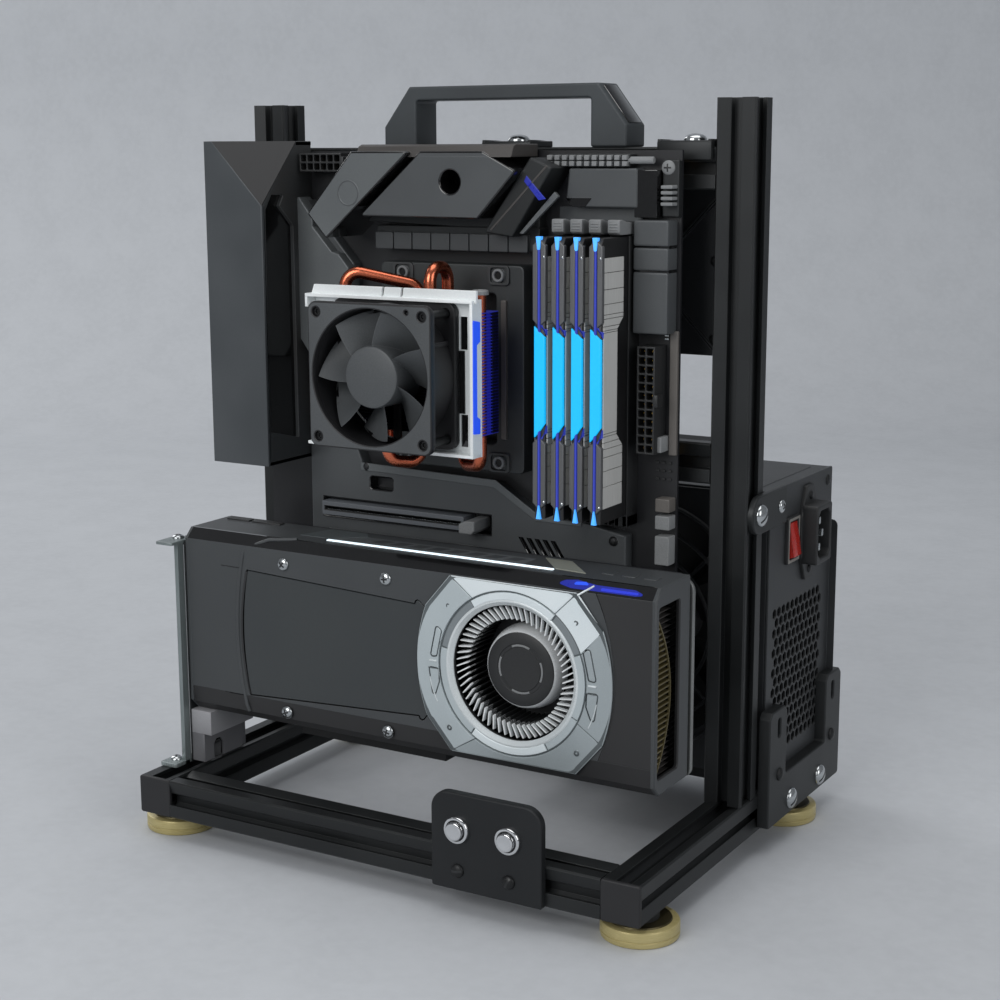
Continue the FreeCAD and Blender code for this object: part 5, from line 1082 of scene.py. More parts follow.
        # Band segments: the sunk ones in the grey that paints their shade, the others in the lit and shaded
        # copies of the silver.
        for start, end, step, finish in (
                (124, 168, 1.1, BAND_SHADED), (168, 236, 1.6, SILVER_HALF_SHADED), (236, 300, 1.9, SILVER_TOP_LIT),
                (300, 334, 1.5, SILVER_HALF_SHADED), (334, 382, 1.7, SILVER_HALF_SHADED), (382, 413, 1.1, BAND_SHADED),
                (413, 484, 1.9, SILVER_TOP_LIT)):
            band = ring_part(self.axis, 35.9, self.ring_inner - 0.7, start + 0.5, end - 0.5, 14)
            shell.plate(FRONT, front - 0.4, band, (step, 0.35), finish)
        cone = [(33, -0.2), (36.1, -0.2), (36.1, 1.9), (35.5, 2.2), (34.9, 2.2), (33.6, 1.1), (33, 0.5)]
        shell.turned(FRONT, self.axis, front, cone, SILVER_SATIN_HIGHLIGHT, 96, hollow=True)
        rivet = [(0, 0), (1.5, 0), (1.5, 0.55), (1.15, 0.75), (0.6, 0.75), (0.5, 0.3), (0, 0.3)]
        for place in ((28.9, 139.6), (97.9, 140.2), (28.9, 78.9), (98.6, 77.8)):
            shell.turned(FRONT, place, front - 1.2, rivet, SILVER_SHADE, 16)
        # A bright bead at the upper right: a painted highlight.
        ear = loop([(98.6, 153.4), (101.5, 155.4), (103.2, 156.4), (105.2, 157.8)])
        shell.bead(ear, front + np.array([-1.3, -0.2, 1, 2.4]), 0.5, SILVER_SATIN_HIGHLIGHT, 8)
        shell.piece("card_surround", "bench", "silver", ["card_fan_ring"])

    def blower(self) -> None:
        """Build the blower wheel: thin leaning blades on a disc round a bright hub."""
        shell = Shell()
        axis, root, tip, radius = self.axis, self.blade_root, self.blade_tip, self.hub_radius
        back, near, rim, disc = self.wheel_back, self.hub_front, tip - 0.9, radius - 0.7
        deep, tall, reach = back - self.blade_front, back - near - 10.2, (tip - root) / 2
        shell.turned(FRONT, axis, back, [(0, 0), (tip, 0), (tip, 1.6), (0, 1.6)], BLACK_PLASTIC, 64)
        section = rounded([(-reach, -0.4), (reach, -0.34), (reach, 0.34), (-reach, 0.4)], 0.28, 2)
        section = turn_flat(section, (0, 0), 24) + ((root + tip) / 2, 0)
        for number in range(self.blades):
            blade = turn_flat(section, (0, 0), 360 * number / self.blades) + axis
            # Each blade is black deep in the wheel and pale at its front: painted shade inside the wheel.
            shell.plate(FRONT, back - 1.5, blade, [(0, 0), (0, deep - 3.6)], BLACK_PLASTIC)
            shell.plate(FRONT, self.blade_front + 7, blade, [(0, 0), (0, 6.6), (0.1, 7)], BLADE)
        shell.turned(FRONT, axis, back - deep + 10, [(rim, 0), (tip, 0), (tip, 1), (rim, 1)], BLACK_PLASTIC,
            96, hollow=True)
        hub = [(0, 0), (radius + 2.2, 0), (radius + 2, 2), (radius + 0.4, 7.4), (radius - 0.6, 8.3),
            (0, 8.3)]
        cap = [(0, 0), (disc, 0), (disc, 0.4), (disc - 0.6, 0.8), (12.7, 0.8), (12.4, 0.45), (11, 0.45),
            (10.7, 0.8), (0, 0.8)]
        for level, profile, finish in (
                (back - 1.4, [(0, 0), (radius, 0), (radius, tall), (0, tall)], BLACK_PLASTIC),
                (near + 9, hub, HUB), (near + 0.8, cap, BLACK_PLASTIC)):
            shell.turned(FRONT, axis, level, profile, finish, 64)
        for middle in (0, 90, 180, 270):
            mark = ring_part(axis, 11.2, 12.2, middle - 24, middle + 24, 12)
            shell.plate(FRONT, near + 0.5, mark, [(0, 0), (0, 0.25), (0.1, 0.35)], LATCH)
        shell.piece("card_blower_wheel", "card_rotor", "black_plastic", ["card_blower"])

    def outlet_stack(self) -> None:
        """Build the bronze fins behind the outlet and the bowed strip at their ends."""
        shell = Shell()
        low, high = self.low + 5, self.low + 86
        right, front, start = self.right - self.wall - 0.6, self.front, self.front + 4.2
        for z in np.linspace(low, high - 0.6, self.fins):
            share = (z - low) / (high - low)
            edge = start + 4 * share * (1 - share) * self.outlet_bow
            shell.block((right - 21.5, front + 7.2, z), (right - 4, front + 29, z + 0.6), BROWN, 0.12)
            shell.block((right - 8, front + 3.3, z), (right - 0.4, edge + 0.4, z + 0.9), BRONZE, 0.12)
        bulge = bow((start + 1.1, low), (start + 1.1, high), -self.outlet_bow, 25)
        inner = bow((start, high), (start, low), self.outlet_bow, 25)
        shell.plate(RIGHT, right - 1.2, np.concatenate([bulge, inner]), (1.1, 0.2), BRONZE)
        shell.blocks(GLOSS, 0.2, ((right - 21.8, front + 28.6, low), (right, front + 34, high)),
            ((right - 21.8, front + 5.2, low), (right - 20.9, front + 29, high)))
        shell.piece("card_outlet_fins", "bench", "bronze_fins", ["card_fins"])

    def plates(self) -> None:
        """Build the light metal plate behind the card and the edge of its board."""
        shell = Shell()
        span = Span.of("card_back_plate")
        left, low, right, back, high = span.left, span.low, span.right, span.back, span.high
        outline = rounded(rectangle(left, low, right, high), [1, 4, 6.5, 1], 6)
        shell.plate(BACK, span.front, outline, (back - span.front, 0.7, 3, True), TRIM)
        for place in ((left + 8, high - 8), (right - 8, high - 8), (left + 8, low + 8),
                      (right - 8, low + 8)):
            Head(2.6, 1, BRIGHT_SCREW, True, 0.7).add_to(shell, BACK, place, back)
        for index in range(9):
            x = left + 22 + 9 * index
            shell.block((x, back - 0.1, low + 24), (x + 4, back + 0.5, high - 24), TRIM, 0.25, BACK)
        shell.block((-70.5, span.front, self.high - 3.2), (left - 0.2, back - 0.2, self.high - 0.2), TRIM,
            0.4)
        shell.piece("card_back_cover", "bench", "silver", ["card_back_plate"])

    def bracket(self) -> None:
        """Build the black slot bracket, with its tongues in painted light above and painted shade below,
        and the bright strut beside it.
        """
        shell = Shell()
        span = Span.of("card_bracket")
        face, tongue = -136, 48.5
        outline = [(span.front, span.low), (tongue - 4, span.low), (tongue - 4, span.low + 17),
            (tongue - 2, span.low + 19), (tongue + 2, span.low + 19), (tongue + 4, span.low + 17),
            (tongue + 4, span.low), (span.back, span.low), (span.back, span.high), (span.front, span.high)]
        vents = [slot_loop((56, z), 9, 2.2, 0) for z in np.arange(62, 142, 5.2)]
        shell.plate(RIGHT, face, outline, (1, 0.25, 2, True), SHEET, vents)
        shell.block((span.left, span.front, span.high - 1), (face + 1, 50.5, span.high), SHEET, 0.3, UP)
        shell.block((face, 30.4, 48.4), (face + 14, 66, 61.4), TONGUE_LIT, 0.4, RIGHT)
        arch = [(30.4, 33), (38.2, 33), (38.2, 41), (40, 43.4), (43.6, 43.4), (45.6, 40.5), (45.6, 33),
            (62, 33), (62, 48.4), (30.4, 48.4)]
        shell.plate(RIGHT, face + 8, rounded(arch, 0.4, 2), (1.2, 0.3), TONGUE_SHADED)
        shell.block((face, 30.4, 33), (face + 8.1, 66, 48.5), TONGUE_SHADED, 0.3)
        # A black plate in the notch between the tongues: painted shade.
        shell.block((face + 7.8, 38, 33.1), (face + 8.2, 45.8, 43.6), GLOSS, 0.1)
        shell.piece("card_bracket_plate", "bench", "supply_sheet", ["card_bracket"])
        strut = Shell()
        bar = Span.of("card_strut")
        strut.block((-138.6, 25.4, bar.low), (face, 30, bar.high - 1.5), STRUT, 0.35, LEFT)
        for level, corners, thick in ((bar.low, (bar.left, bar.front, face, 30), 2),
                                      (bar.high - 1.5, (-147, 20.5, face, 38), 1.5)):
            strut.plate(UP, level, rounded(rectangle(*corners), 1.2, 3), (thick, 0.4), STRUT)
        strut.piece("card_strut_bar", "bench", "bright_screw", ["card_strut"])

    def build(self) -> None:
        """Build every piece of the card."""
        self.shroud()
        self.trim()
        self.glass()
        self.surround()
        self.blower()
        self.outlet_stack()
        self.plates()
        self.bracket()
@dataclass(frozen=True)
class Wheel:
    """An axial fan wheel: a rounded hub and broad blades that are swept and pitched."""

    axis: Pair
    hub: float
    tip: float
    front: float
    back: float
    blades: int
    start_deg: float
    sweep_deg: float
    hub_span_deg: float
    tip_span_deg: float
    blade_front: float
    blade_back: float
    thick: float
    finish: Finish
    blade_finish: Finish

    def blade(self, number: int) -> np.ndarray:
        """The rings of one blade, from inside the hub out to its tip.

        At radius r a blade starts at an angle that falls by the sweep and spans an angle that
        goes from the hub's span to the tip's. Its depth grows along the chord as the chord's
        share plus a little sine for camber, and its thickness is the root of a sine.
        """
        radius = np.linspace(self.hub - 0.8, self.tip, 7)
        share = ((radius - self.hub) / (self.tip - self.hub))[:, None]
        along = np.linspace(0, 1, 10)[None]
        first = self.start_deg - 360 * number / self.blades - self.sweep_deg * share
        span = self.hub_span_deg + (self.tip_span_deg - self.hub_span_deg) * share
        angle = np.radians(first - span * along)
        depth = self.blade_front + (self.blade_back - self.blade_front) * (along + 0.08
            * np.sin(along * math.pi)) * (1 - 0.06 * share)
        half = self.thick / 2 * np.sqrt(np.sin(np.clip(along, 0.01, 0.99) * math.pi))
        angles = np.concatenate([angle, angle[:, ::-1]], 1)
        depths = np.concatenate([depth - half, (depth + half)[:, ::-1]], 1)
        radii = np.broadcast_to(radius[:, None], angles.shape)
        return np.stack([self.axis[0] + radii * np.cos(angles), depths,
            self.axis[1] + radii * np.sin(angles)], -1)

    def add_to(self, shell: Shell) -> None:
        """Add the hub and every blade to a shell."""
        deep = self.back - self.front
        edge = 1.6
        profile = [(0, 0), (self.hub, 0), (self.hub, deep - edge), (self.hub - 0.3 * edge,
            deep - 0.3 * edge), (self.hub - edge, deep), (0, deep)]
        shell.turned(FRONT, self.axis, self.back, profile, self.finish, 64)
        for number in range(self.blades):
            shell.loft(self.blade(number), self.blade_finish)


def bent(points: Sequence[Triple], bend: float, steps: int = 8) -> np.ndarray:
    """A path of straight runs with tangent arcs of one radius between them.

    Each arc starts and ends at the radius times the tangent of half the turn from its corner,
    and its points come from the corner's two directions by the sine rule for angles.
    """
    points = np.asarray(points, float)
    path = [points[:1]]
    for before, here, after in zip(points, points[1:], points[2:]):
        into = (here - before) / np.linalg.norm(here - before)
        away = (after - here) / np.linalg.norm(after - here)
        turn = math.acos(float(np.clip(into @ away, -1, 1)))
        back = bend * math.tan(turn / 2)
        out = (away - into * (into @ away)) / math.sin(turn)
        angles = np.linspace(0, turn, steps)[:, None]
        start = here - into * back
        path.append(start + bend * (np.sin(angles) * into + (1 - np.cos(angles)) * out))
    path.append(points[-1:])
    return np.concatenate(path)


@dataclass(frozen=True)
class Cooler:
    """The processor cooler: its fan, white cowl, fins with painted blue light, copper pipes and mount
    frame.
    """

    axis: Pair = (-8, 248)
    fan_half: float = 35
    fan_front: float = 18
    fan_back: float = 43
    flange: float = 4
    mouth: float = 32.5
    barrel: float = 34.2
    corner: float = 4.5
    screw_in: float = 5
    cowl: tuple[float, float, float, float] = (-57.7, 210.2, 38.5, 284.8)
    cowl_front: float = 36
    cowl_back: float = 44.5
    sheet: float = 1.5
    stack: tuple[float, float, float, float] = (-51.6, 219, 35.6, 277.8)
    stack_front: float = 44.8
    stack_deep: float = 20
    fins: int = 40
    pipe: float = 3
    bend: float = 7
    near: float = 53.8
    far: float = 69.8
    mount: tuple[float, float, float, float] = (-46, 195, 38, 298)
    mount_front: float = 85.3
    board: float = 97

    def frame(self) -> None:
        """Build the fan's two flanges, its barrel and the cross that holds its motor; the frame's sides and
        rear are in painted shade, darker than its front.
        """
        shell = Shell()
        x, z = self.axis
        half, back, flange = self.fan_half, self.fan_back, self.flange
        square = rounded(rectangle(x - half, z - half, x + half, z + half), self.corner, 6)
        reach = half - self.screw_in
        corners = [(x + a * reach, z + b * reach) for a in (-1, 1) for b in (-1, 1)]
        holes = [circle(self.axis, self.mouth, 64), *(circle(place, 2.2, 20) for place in corners)]
        shell.plate(FRONT, self.fan_front + flange, square, (flange, 0.7, 2, True), FAN_SHADED,
            [*holes, circle((x + 21.5, z + half - 3.4), 0.9, 12)], lid=GREY_PLASTIC)
        shell.plate(FRONT, back, square, (flange, 0.5, 2, True), FAN_SHADED, holes)
        for place in corners:
            shell.turned(FRONT, place, back - 0.2, [(0, 0), (2.1, 0), (2.1, 23.2), (1.2, 23.2), (1, 22.4),
                (0, 22.4)], BLACK_SCREW, 20)
        inside = self.mouth + 0.05
        wall = [(inside, flange - 0.4), (self.barrel, flange - 0.4), (self.barrel, 21.4), (inside, 21.4)]
        shell.turned(FRONT, self.axis, back, wall, FAN_SHADED, 64, hollow=True)
        for turn in (28, 62, 208, 242):
            end_x, end_z = arc(self.axis, self.barrel, turn, turn, 1)[0]
            shell.block((end_x - 1.2, self.fan_front + 3.8, end_z - 1.2),
                (end_x + 1.2, back - 3.8, end_z + 1.2), FAN_SHADED, 0.3)
        shell.turned(FRONT, self.axis, back, [(0, 0), (15, 0), (15, 1.3), (14.5, 1.75), (0, 1.75)],
            BLACK_PLASTIC, 48)
        for turn in (0, 90, 180, 270):
            arm = turn_flat(rectangle(14, -2, self.mouth + 1, 2), (0, 0), turn)
            shell.plate(FRONT, back, arm + self.axis, (1.7, 0.3), BLACK_PLASTIC)
        shell.piece("cooler_fan_case", "bench", "grey_plastic", ["cooler_fan_frame"])

    def rotor(self) -> None:
        """Build the fan wheel on its own body."""
        shell = Shell()
        Wheel(self.axis, 15, 31.2, self.fan_front + 1.6, self.fan_back - 2.3, 7, 141, 10, 54, 46, 21, 37.4,
            1.5, GREY_PLASTIC, GREY_PLASTIC).add_to(shell)
        shell.piece("cooler_fan_wheel", "cooler_rotor", "grey_plastic", ["cooler_fan_rotor"])

    def hood(self) -> None:
        """Build the white cowl with its lip and its slotted back, black painted shadow in the slots and
        beside the fan, and a strip of painted blue light on its side.
        """
        shell = Shell()
        left, low, right, high = self.cowl
        sheet, front, back = self.sheet, self.cowl_front, self.cowl_back - self.sheet
        slots = [rectangle(x, z, x + 4, z + 15.5) for x in (left + 7, right - 11) for z in (low + 4.2,
            high - 23.9)]
        shell.plate(FRONT, self.cowl_back, rectangle(left, low, right, high), (sheet, 0.2), COWL,
            [circle(self.axis, self.mouth, 64)] + slots)
        for near, far, facing in (
                ((left, front, high - sheet), (right, back, high), UP),
                ((left, front, low), (right, back, low + sheet), DOWN),
                ((right - sheet, front, low + sheet), (right, back, high - sheet), RIGHT),
                ((left, front + 5, low + sheet), (left + sheet, back, high - sheet), LEFT),
                ((left, front, high - 6.6), (left + sheet, front + 5, high - sheet), LEFT)):
            shell.block(near, far, COWL, 0.25, facing)
        under, over = high - 1.6, high + 4.4
        for start, end, start_top, end_top in ((left + 2, -14.2, left + 4.2, -13.2),
                                               (-12.9, -3.3, -11.9, -2.3),
                                               (-2, right + 1, -1, right + 1)):
            shell.plate(FRONT, front + 3.5, [(start, under), (end, under), (end_top, over), (start_top,
                over)], (sheet, 0.3), COWL)
        shell.piece("cooler_cowl_shell", "bench", "white_cowl", ["cooler_cowl"])
        # Black blocks in the slots and a black bar on the back beside the fan: painted shadow.
        painted_shadow = Shell()
        deep = self.cowl_back
        for x in (left + 6, right - 12):
            for z in (low + 3.2, high - 24.9):
                painted_shadow.block((x, deep - 0.6, z), (x + 6, deep + 0.2, z + 17.5), GLOSS, 0.1)
        painted_shadow.block((27, deep - 1.9, 230.4), (30.2, deep - 1.4, 260.4), GLOSS, 0.15)
        painted_shadow.piece("cooler_cowl_shadow", "bench", "black_plastic")
        # A blue glowing strip on the cowl's right side: painted blue light from the fins' lamp.
        lamp = Shell()
        strip = [(front + 0.3, 222), (42.4, 221.5), (42.4, 228.5), (39.6, 230), (39.6, 263.8),
            (42.6, 265.2), (42.6, 274.4), (front + 0.3, 275.6)]
        lamp.plate(RIGHT, right, rounded(strip, 0.6, 3), (0.45, 0.2), GLOW_STRIP_PAINTED)
        lamp.piece("cooler_side_painted_glow", "bench", "cooler_fin")

    def stack_of_fins(self) -> None:
        """Build the level fins, with painted shade in the middle and a painted blue glow at their right
        ends.
        """
        shell = Shell()
        left, low, right, high = self.stack
        back = self.stack_front + self.stack_deep
        # Left of this x the fins take the painted shade, right of it the painted blue glow.
        turn = 26
        for z in np.linspace(low, high - 0.55, self.fins):
            shell.block((left, self.stack_front, z), (turn, back, z + 0.55), FIN_SHADED, 0.1)
            shell.block((turn, self.stack_front, z), (right, back, z + 0.55), FIN_LIT_BLUE, 0.1)
        core_x = self.axis[0]
        shell.block((core_x - 23, self.stack_front + 12, low + 6), (core_x + 23, 85, high - 6), MOUNT, 0.5)
        for x in (left, right - 0.9):
            shell.block((x, back - 6, low + 0.1), (x + 0.9, back - 0.1, high - 0.1), FIN_SHADED, 0.2)
        shell.piece("cooler_fin_stack", "bench", "cooler_fin", ["cooler_fins"])

    def pipes(self) -> None:
        """Build the copper pipes: bent runs over and under the fins and an upright one."""
        shell = Shell()
        x = self.axis[0]
        _, low, _, high = self.stack
        ends = {1: high, -1: low}
        for fin_x, core_x, side, reach, fall in ((-38, -4, 1, 18, 8), (12, 12, 1, 20, 0),
                                                 (-14, -4, -1, 17, -3), (40, 20, -1, 15, -4)):
            top = ends[side] + side * reach
            over = top - fall if side > 0 else top + fall
            path = bent([(x + fin_x, self.near, ends[side] - side * 2), (x + fin_x, self.near, top),
                (x + core_x, self.far, over), (x + core_x, self.far, ends[side] - side * 5.7)], self.bend)
            shell.tube(path, self.pipe, COPPER, 20)
        upright = x + 40
        shell.tube(np.array([(upright, self.near, low - 1), (upright, self.near, 250), (upright, self.near,
            high + 8.4)]), self.pipe, COPPER, 20)
        shell.turned(UP, (upright, self.near), high + 8.3, [(0, 0), (4.2, 0), (4.2, 1.7), (3.6, 2.3), (1.6,
            2.4), (1.2, 1.9), (0, 1.9)], LATCH, 28)
        shell.piece("cooler_heat_pipes", "bench", "copper", ["heat_pipes"])

    def yoke(self) -> None:
        """Build the mount frame with a raised rim round each screw and its edge bars."""
        shell = Shell()
        left, low, right, high = self.mount
        x, z = self.axis
        front, face = self.mount_front, self.mount_front + 0.1
        window = rounded(rectangle(left + 16, low + 14, right - 16, high - 14), 2, 3)
        shell.plate(FRONT, self.board, rounded(rectangle(left, low, right, high), 3, 4),
            (self.board - front, 0.8), MOUNT, [window])
        for place in ((a, b) for a in (left + 14, right - 14) for b in (low + 5, high - 5)):
            outer, inner = (rounded(rectangle(-a, -b, a, b) + place, size, 4) for a, b,
                size in ((6.2, 4.9, 2.2), (4.6, 3.7, 1.6)))
            shell.plate(FRONT, face, outer, (1.3, 0.3), RIM, [inner])
            shell.turned(FRONT, place, face, [(2, 0), (3.4, 0), (3.3, 1.6), (2.9, 2), (2.3, 2), (2, 1.6)],
                LATCH, 24, hollow=True)
            shell.turned(FRONT, place, face, [(0, 0), (2.05, 0), (2.05, 0.9), (0, 0.9)], BLACK_SCREW, 20)
        shell.block((right - 12.4, front - 1.6, 212), (right - 9.4, front + 0.2, 281), GREY_STRIP, 0.5)
        shell.block((x - 20, 85, z - 20), (x + 20, self.board, z + 20), BRIGHT_SCREW, 0.6)
        shell.piece("cooler_mount_frame", "bench", "black_plastic", ["cooler_mount"])

    def build(self) -> None:
        """Build every piece of the cooler."""
        self.frame()
        self.rotor()
        self.hood()
        self.stack_of_fins()
        self.pipes()
        self.yoke()


@dataclass(frozen=True)
class Memory:
    """Four lit memory modules with grooved side plates, and the latches that hold them."""

    first: float = 61.5
    pitch: float = 9.9
    count: int = 4
    half: float = 3.5
    front: float = 58
    back: float = 85.6
    low: float = 180
    high: float = 313.4
    plate_front: float = 60.5
    plate_back: float = 80.2
    plate_waist: float = 74.3

    def waist(self, height: float) -> float:
        """Where the side plate ends at a height: it steps in over the middle on slopes."""
        return float(np.interp(height, [215.7, 221.4, 271.2, 276.6], [self.plate_back, self.plate_waist,
            self.plate_waist, self.plate_back]))

    def module(self, shell: Shell, lit: Shell, middle: float) -> None:
        """Add one module's dark core, its lips, its grooved plates and its lit bars."""
        front, back, low, high, half = self.front, self.back, self.low, self.high, self.half
        core = [(front + 1.6, low), (back, low), (back, high), (front + 3, high), (front + 0.9, high - 3)]
        shell.plate(RIGHT, middle - half + 0.6, core, (2 * half - 1.2, 0.5, 2, True), MODULE_CORE)
        shell.block((middle - 0.7, 84, low + 0.2), (middle + 0.7, 90.9, high - 0.2), BOARD, 0.2)
        marks = (187.2, 197.7, 205.3, 211.8, 215.7, 218.8, 221.6, 222.9, 270.2, 271.2, 273.1, 276.6, 278.5,
            283.3, 290.1, 297.8, 304.6)
        edge, gap = self.plate_front, 0.14
        for side, facing in ((-1, LEFT), (1, RIGHT)):
            for start, end in zip(marks, marks[1:]):
                shell.plate(facing, middle + side * (half - 0.6), [(edge, start + gap), (self.waist(start),
                    start + gap), (self.waist(end), end - gap), (edge, end - gap)],
                    [(0, 0), (0, 0.5), (0.1, 0.6)], MODULE_SIDE)
            near, far = middle + side * 0.75, middle + side * half
            for under, over in ((low + 5, 219), (272.5, high - 1.2)):
                shell.plate(FRONT, edge, [(near, under), (far, under + 2.5), (far, over - 2.5), (near,
                    over)], (2.3, 0.5), MODULE)
        lit.block((middle - 0.62, front + 0.15, low + 6.5), (middle + 0.42, front + 3.2, high - 5.6),
            LIT_LINE, 0.15)
        for level, edges, finish, corners in (
                (2.6, (2.5, 0.35), LIT_CYAN, [(-2.6, 219.2), (0.4, 222.4), (2.9, 226), (2.9, 267.2),
                                              (-2.6, 272)]),
                (3, (1.9, 0.3), LIT_LINE, [(1.2, 272.4), (3.4, 267.9), (3.4, 270.5), (-0.4, 273.3)]),
                (3, (1.9, 0.3), LIT_LINE, [(1.2, 218.6), (3.4, 225.2), (3.4, 221.6), (-0.4, 217.6)]),
                (2.6, (2.4, 0.15), LIT_TIP, [(-1.7, high + 0.4), (-1, high - 5.2), (-0.3, high - 6.4),
                                             (0.4, high - 5.2), (0.9, high + 0.4)]),
                (2.6, (2.4, 0.15), LIT_TIP, [(-1.6, low - 0.2), (0.8, low - 0.2), (-0.4, low + 7)])):
            lit.plate(FRONT, front + level, loop(corners) + (middle, 0), edges, finish)
        for z in (304.6, 188.4):
            shell.turned(FRONT, (middle + 2.6, z), edge, [(0, 0), (0.8, 0), (0.8, 2.3), (0.4, 2.6), (0,
                2.65)], BRIGHT_SCREW, 12)

    def latch(self, number: int) -> None:
        """Build one grey latch with a grip on top and a hook over the module."""
        shell = Shell()
        middle = self.first + self.pitch * number
        span = Span.of(f"memory_latch_{number + 1}")
        side = rounded([(span.front, span.low + 1), (span.front + 2, span.low), (span.back, span.low),
            (span.back, span.high - 2), (span.front + 8, span.high - 1), (span.front + 3, span.high),
            (span.front, span.high)], 0.8, 3)
        shell.plate(RIGHT, span.left, side, (span.right - span.left, 0.5, 2, True), LATCH)
        for step in range(3):
            shell.block((middle - 2.2, span.front - 0.25, span.low + 2.2 + 1.3 * step),
                (middle + 2.2, span.front + 0.4, span.low + 2.8 + 1.3 * step), LATCH, 0.15)
        shell.piece(f"memory_latch_grip_{number + 1}", f"memory_catch_{number + 1}", "latch_plastic",
            [f"memory_latch_{number + 1}"])

    def build(self) -> None:
        """Build the modules and their latches."""
        shell, lit = Shell(), Shell()
        for number in range(self.count):
            self.module(shell, lit, self.first + self.pitch * number)
            self.latch(number)
        shell.piece("memory_module_set", "bench", "module_shell", ["memory_modules"])
        lit.piece("memory_light_bars", "bench", "module_shell")
@dataclass(frozen=True)
class Board:
    """The mainboard's metal covers, its sockets, its slot latch and its upright connectors."""

    left: float = -128
    right: float = 116
    low: float = 48
    high: float = 353
    face: float = 97
    armour_front: float = 90
    bar_front: float = 66
    socket_front: float = 86
    pin_front: float = 84
    pin_pitch: float = 4.2
    pin_cell: float = 3.2

    def at(self, across: float, down: float) -> Pair:
        """A place on the board, given from its upper left corner."""
        return (self.left + across, self.high - down)

    def on_board(self, places: Sequence[Pair]) -> Loop:
        """Turn places from the board's upper left corner into bench places."""
        return loop([self.at(*place) for place in places])

    def regulators(self) -> None:
        """Build the covers round the processor's top edge, with their fins and their grooves."""
        shell = Shell()
        face, front = self.face, self.socket_front
        block = self.on_board([(79.2, 32), (148.8, 32.4), (170.2, 9.5), (151.8, 0.2), (116, 0.2)])
        shell.plate(FRONT, face, rounded(block, 1.1, 2), (27, 0.9, 3), GLOSS,
            [circle((5.4, 338.2), 5.6, 28)], lid=ARMOUR)
        left = self.on_board([(50.5, 31), (62, 43.4), (112.5, 0.2), (78, 0.2)])
        shell.plate(FRONT, face, rounded(left, 1.1, 2), (31, 0.9, 3), GLOSS, lid=ARMOUR_LIGHT)
        shell.turned(FRONT, (-51.8, 332.4), self.bar_front + 0.1, [(5.7, 0), (6.4, 0), (6.3, 0.3), (5.8,
            0.3)], ARMOUR, 32, hollow=True)
        ridge = [(70, 350), (72.5, 355.2), (75, 356.1), (96, 356.1), (96, 350)]
        shell.plate(RIGHT, -49.7, ridge, (89.4, 0.5, 2, True), BROWN)
        for corners, level, high, finish in (
                ([(54.9, 346.2), (55.6, 345.5), (24.7, 314.9), (24, 315.6)], 77.1, 0.6, BROWN),
                # The blue patch on the right cover is a painted blue glow.
                ([(44.3, 341.2), (54.7, 330.5), (51, 329.8), (43, 338.6)], 77.1, 0.6, GLOW_BLUE_PAINTED),
                ([(57.6, 333.7), (59.7, 331.6), (40.4, 313.6), (38.3, 313.9)], 82, 2, ARMOUR_LIGHT)):
            shell.plate(FRONT, level, corners, (high, 0.2), finish)
        right = self.on_board([(148, 39), (164, 41), (186, 8), (174, 3)])
        shell.plate(FRONT, face, rounded(right, 1.1, 2), (20, 0.9, 3), BRACKET)
        web = self.on_board([(68, 35), (172, 39), (172, 23), (68, 23)])
        shell.plate(FRONT, face, web, (7, 0.6), BRACKET)
        low, high = self.high - 48, self.high - 37
        shell.block((-50, front + 2.2, low), (45, face, high), BRACKET, 0.4)
        shell.blocks(SHROUD, 0.4, *(((x, front, low - 0.7), (x + 10.7, front + 3, high - 3.3))
            for x in np.arange(-49.6, 36, 11.2)))
        shell.piece("board_regulator_covers", "bench", "armour", ["regulator_cover"])

    def armour(self) -> None:
        """Build the flat armour with its slot, its slanted slits and its screws."""
        shell = Shell()
        outline = self.on_board([(31.5, 301), (220, 301), (220, 184), (198, 180), (173, 180), (148, 165),
            (66, 163), (62, 153), (62, 57), (31.5, 23)])
        slot = rectangle(-88, 161.4, 15.5, 170.9)
        slits = []
        for step in range(5):
            x = 33.5 + 4.6 * step
            slits.append(loop([(x + 5.2, 153.1), (x + 5.9, 153.1), (x + 0.7, 161.1), (x, 161.1)]))
        slits.append(rounded(rectangle(-58, 178.4, -44, 184.6), 1.4, 3))
        shell.plate(FRONT, self.face, rounded(outline, 1.2, 3), (7, 0.9, 3), ARMOUR, [slot] + slits,
            wall=GLOSS)
        front = self.armour_front + 0.1
        shell.plate(FRONT, front, self.on_board([(64.5, 161), (147, 163), (171, 178), (196, 178), (196,
            182), (170, 181.6), (146, 167), (64.5, 165)]), (1, 0.3), ARMOUR_LIGHT)
        for low, high in ((148.2, 151.6), (131, 147), (108, 127)):
            shell.plate(FRONT, front, rounded(rectangle(-94, low, 89, high), 1, 3), (0.9, 0.35),
                ARMOUR_LIGHT)
        for place in ((-60, 190), (85.5, 165.5), (-90, 66), (85, 66)):
            Head(2.5, 1.4, BLACK_SCREW, True, 0.7).add_to(shell, FRONT, place, front, 20)
        shell.piece("board_armour_cover", "bench", "armour", ["board_armour"])

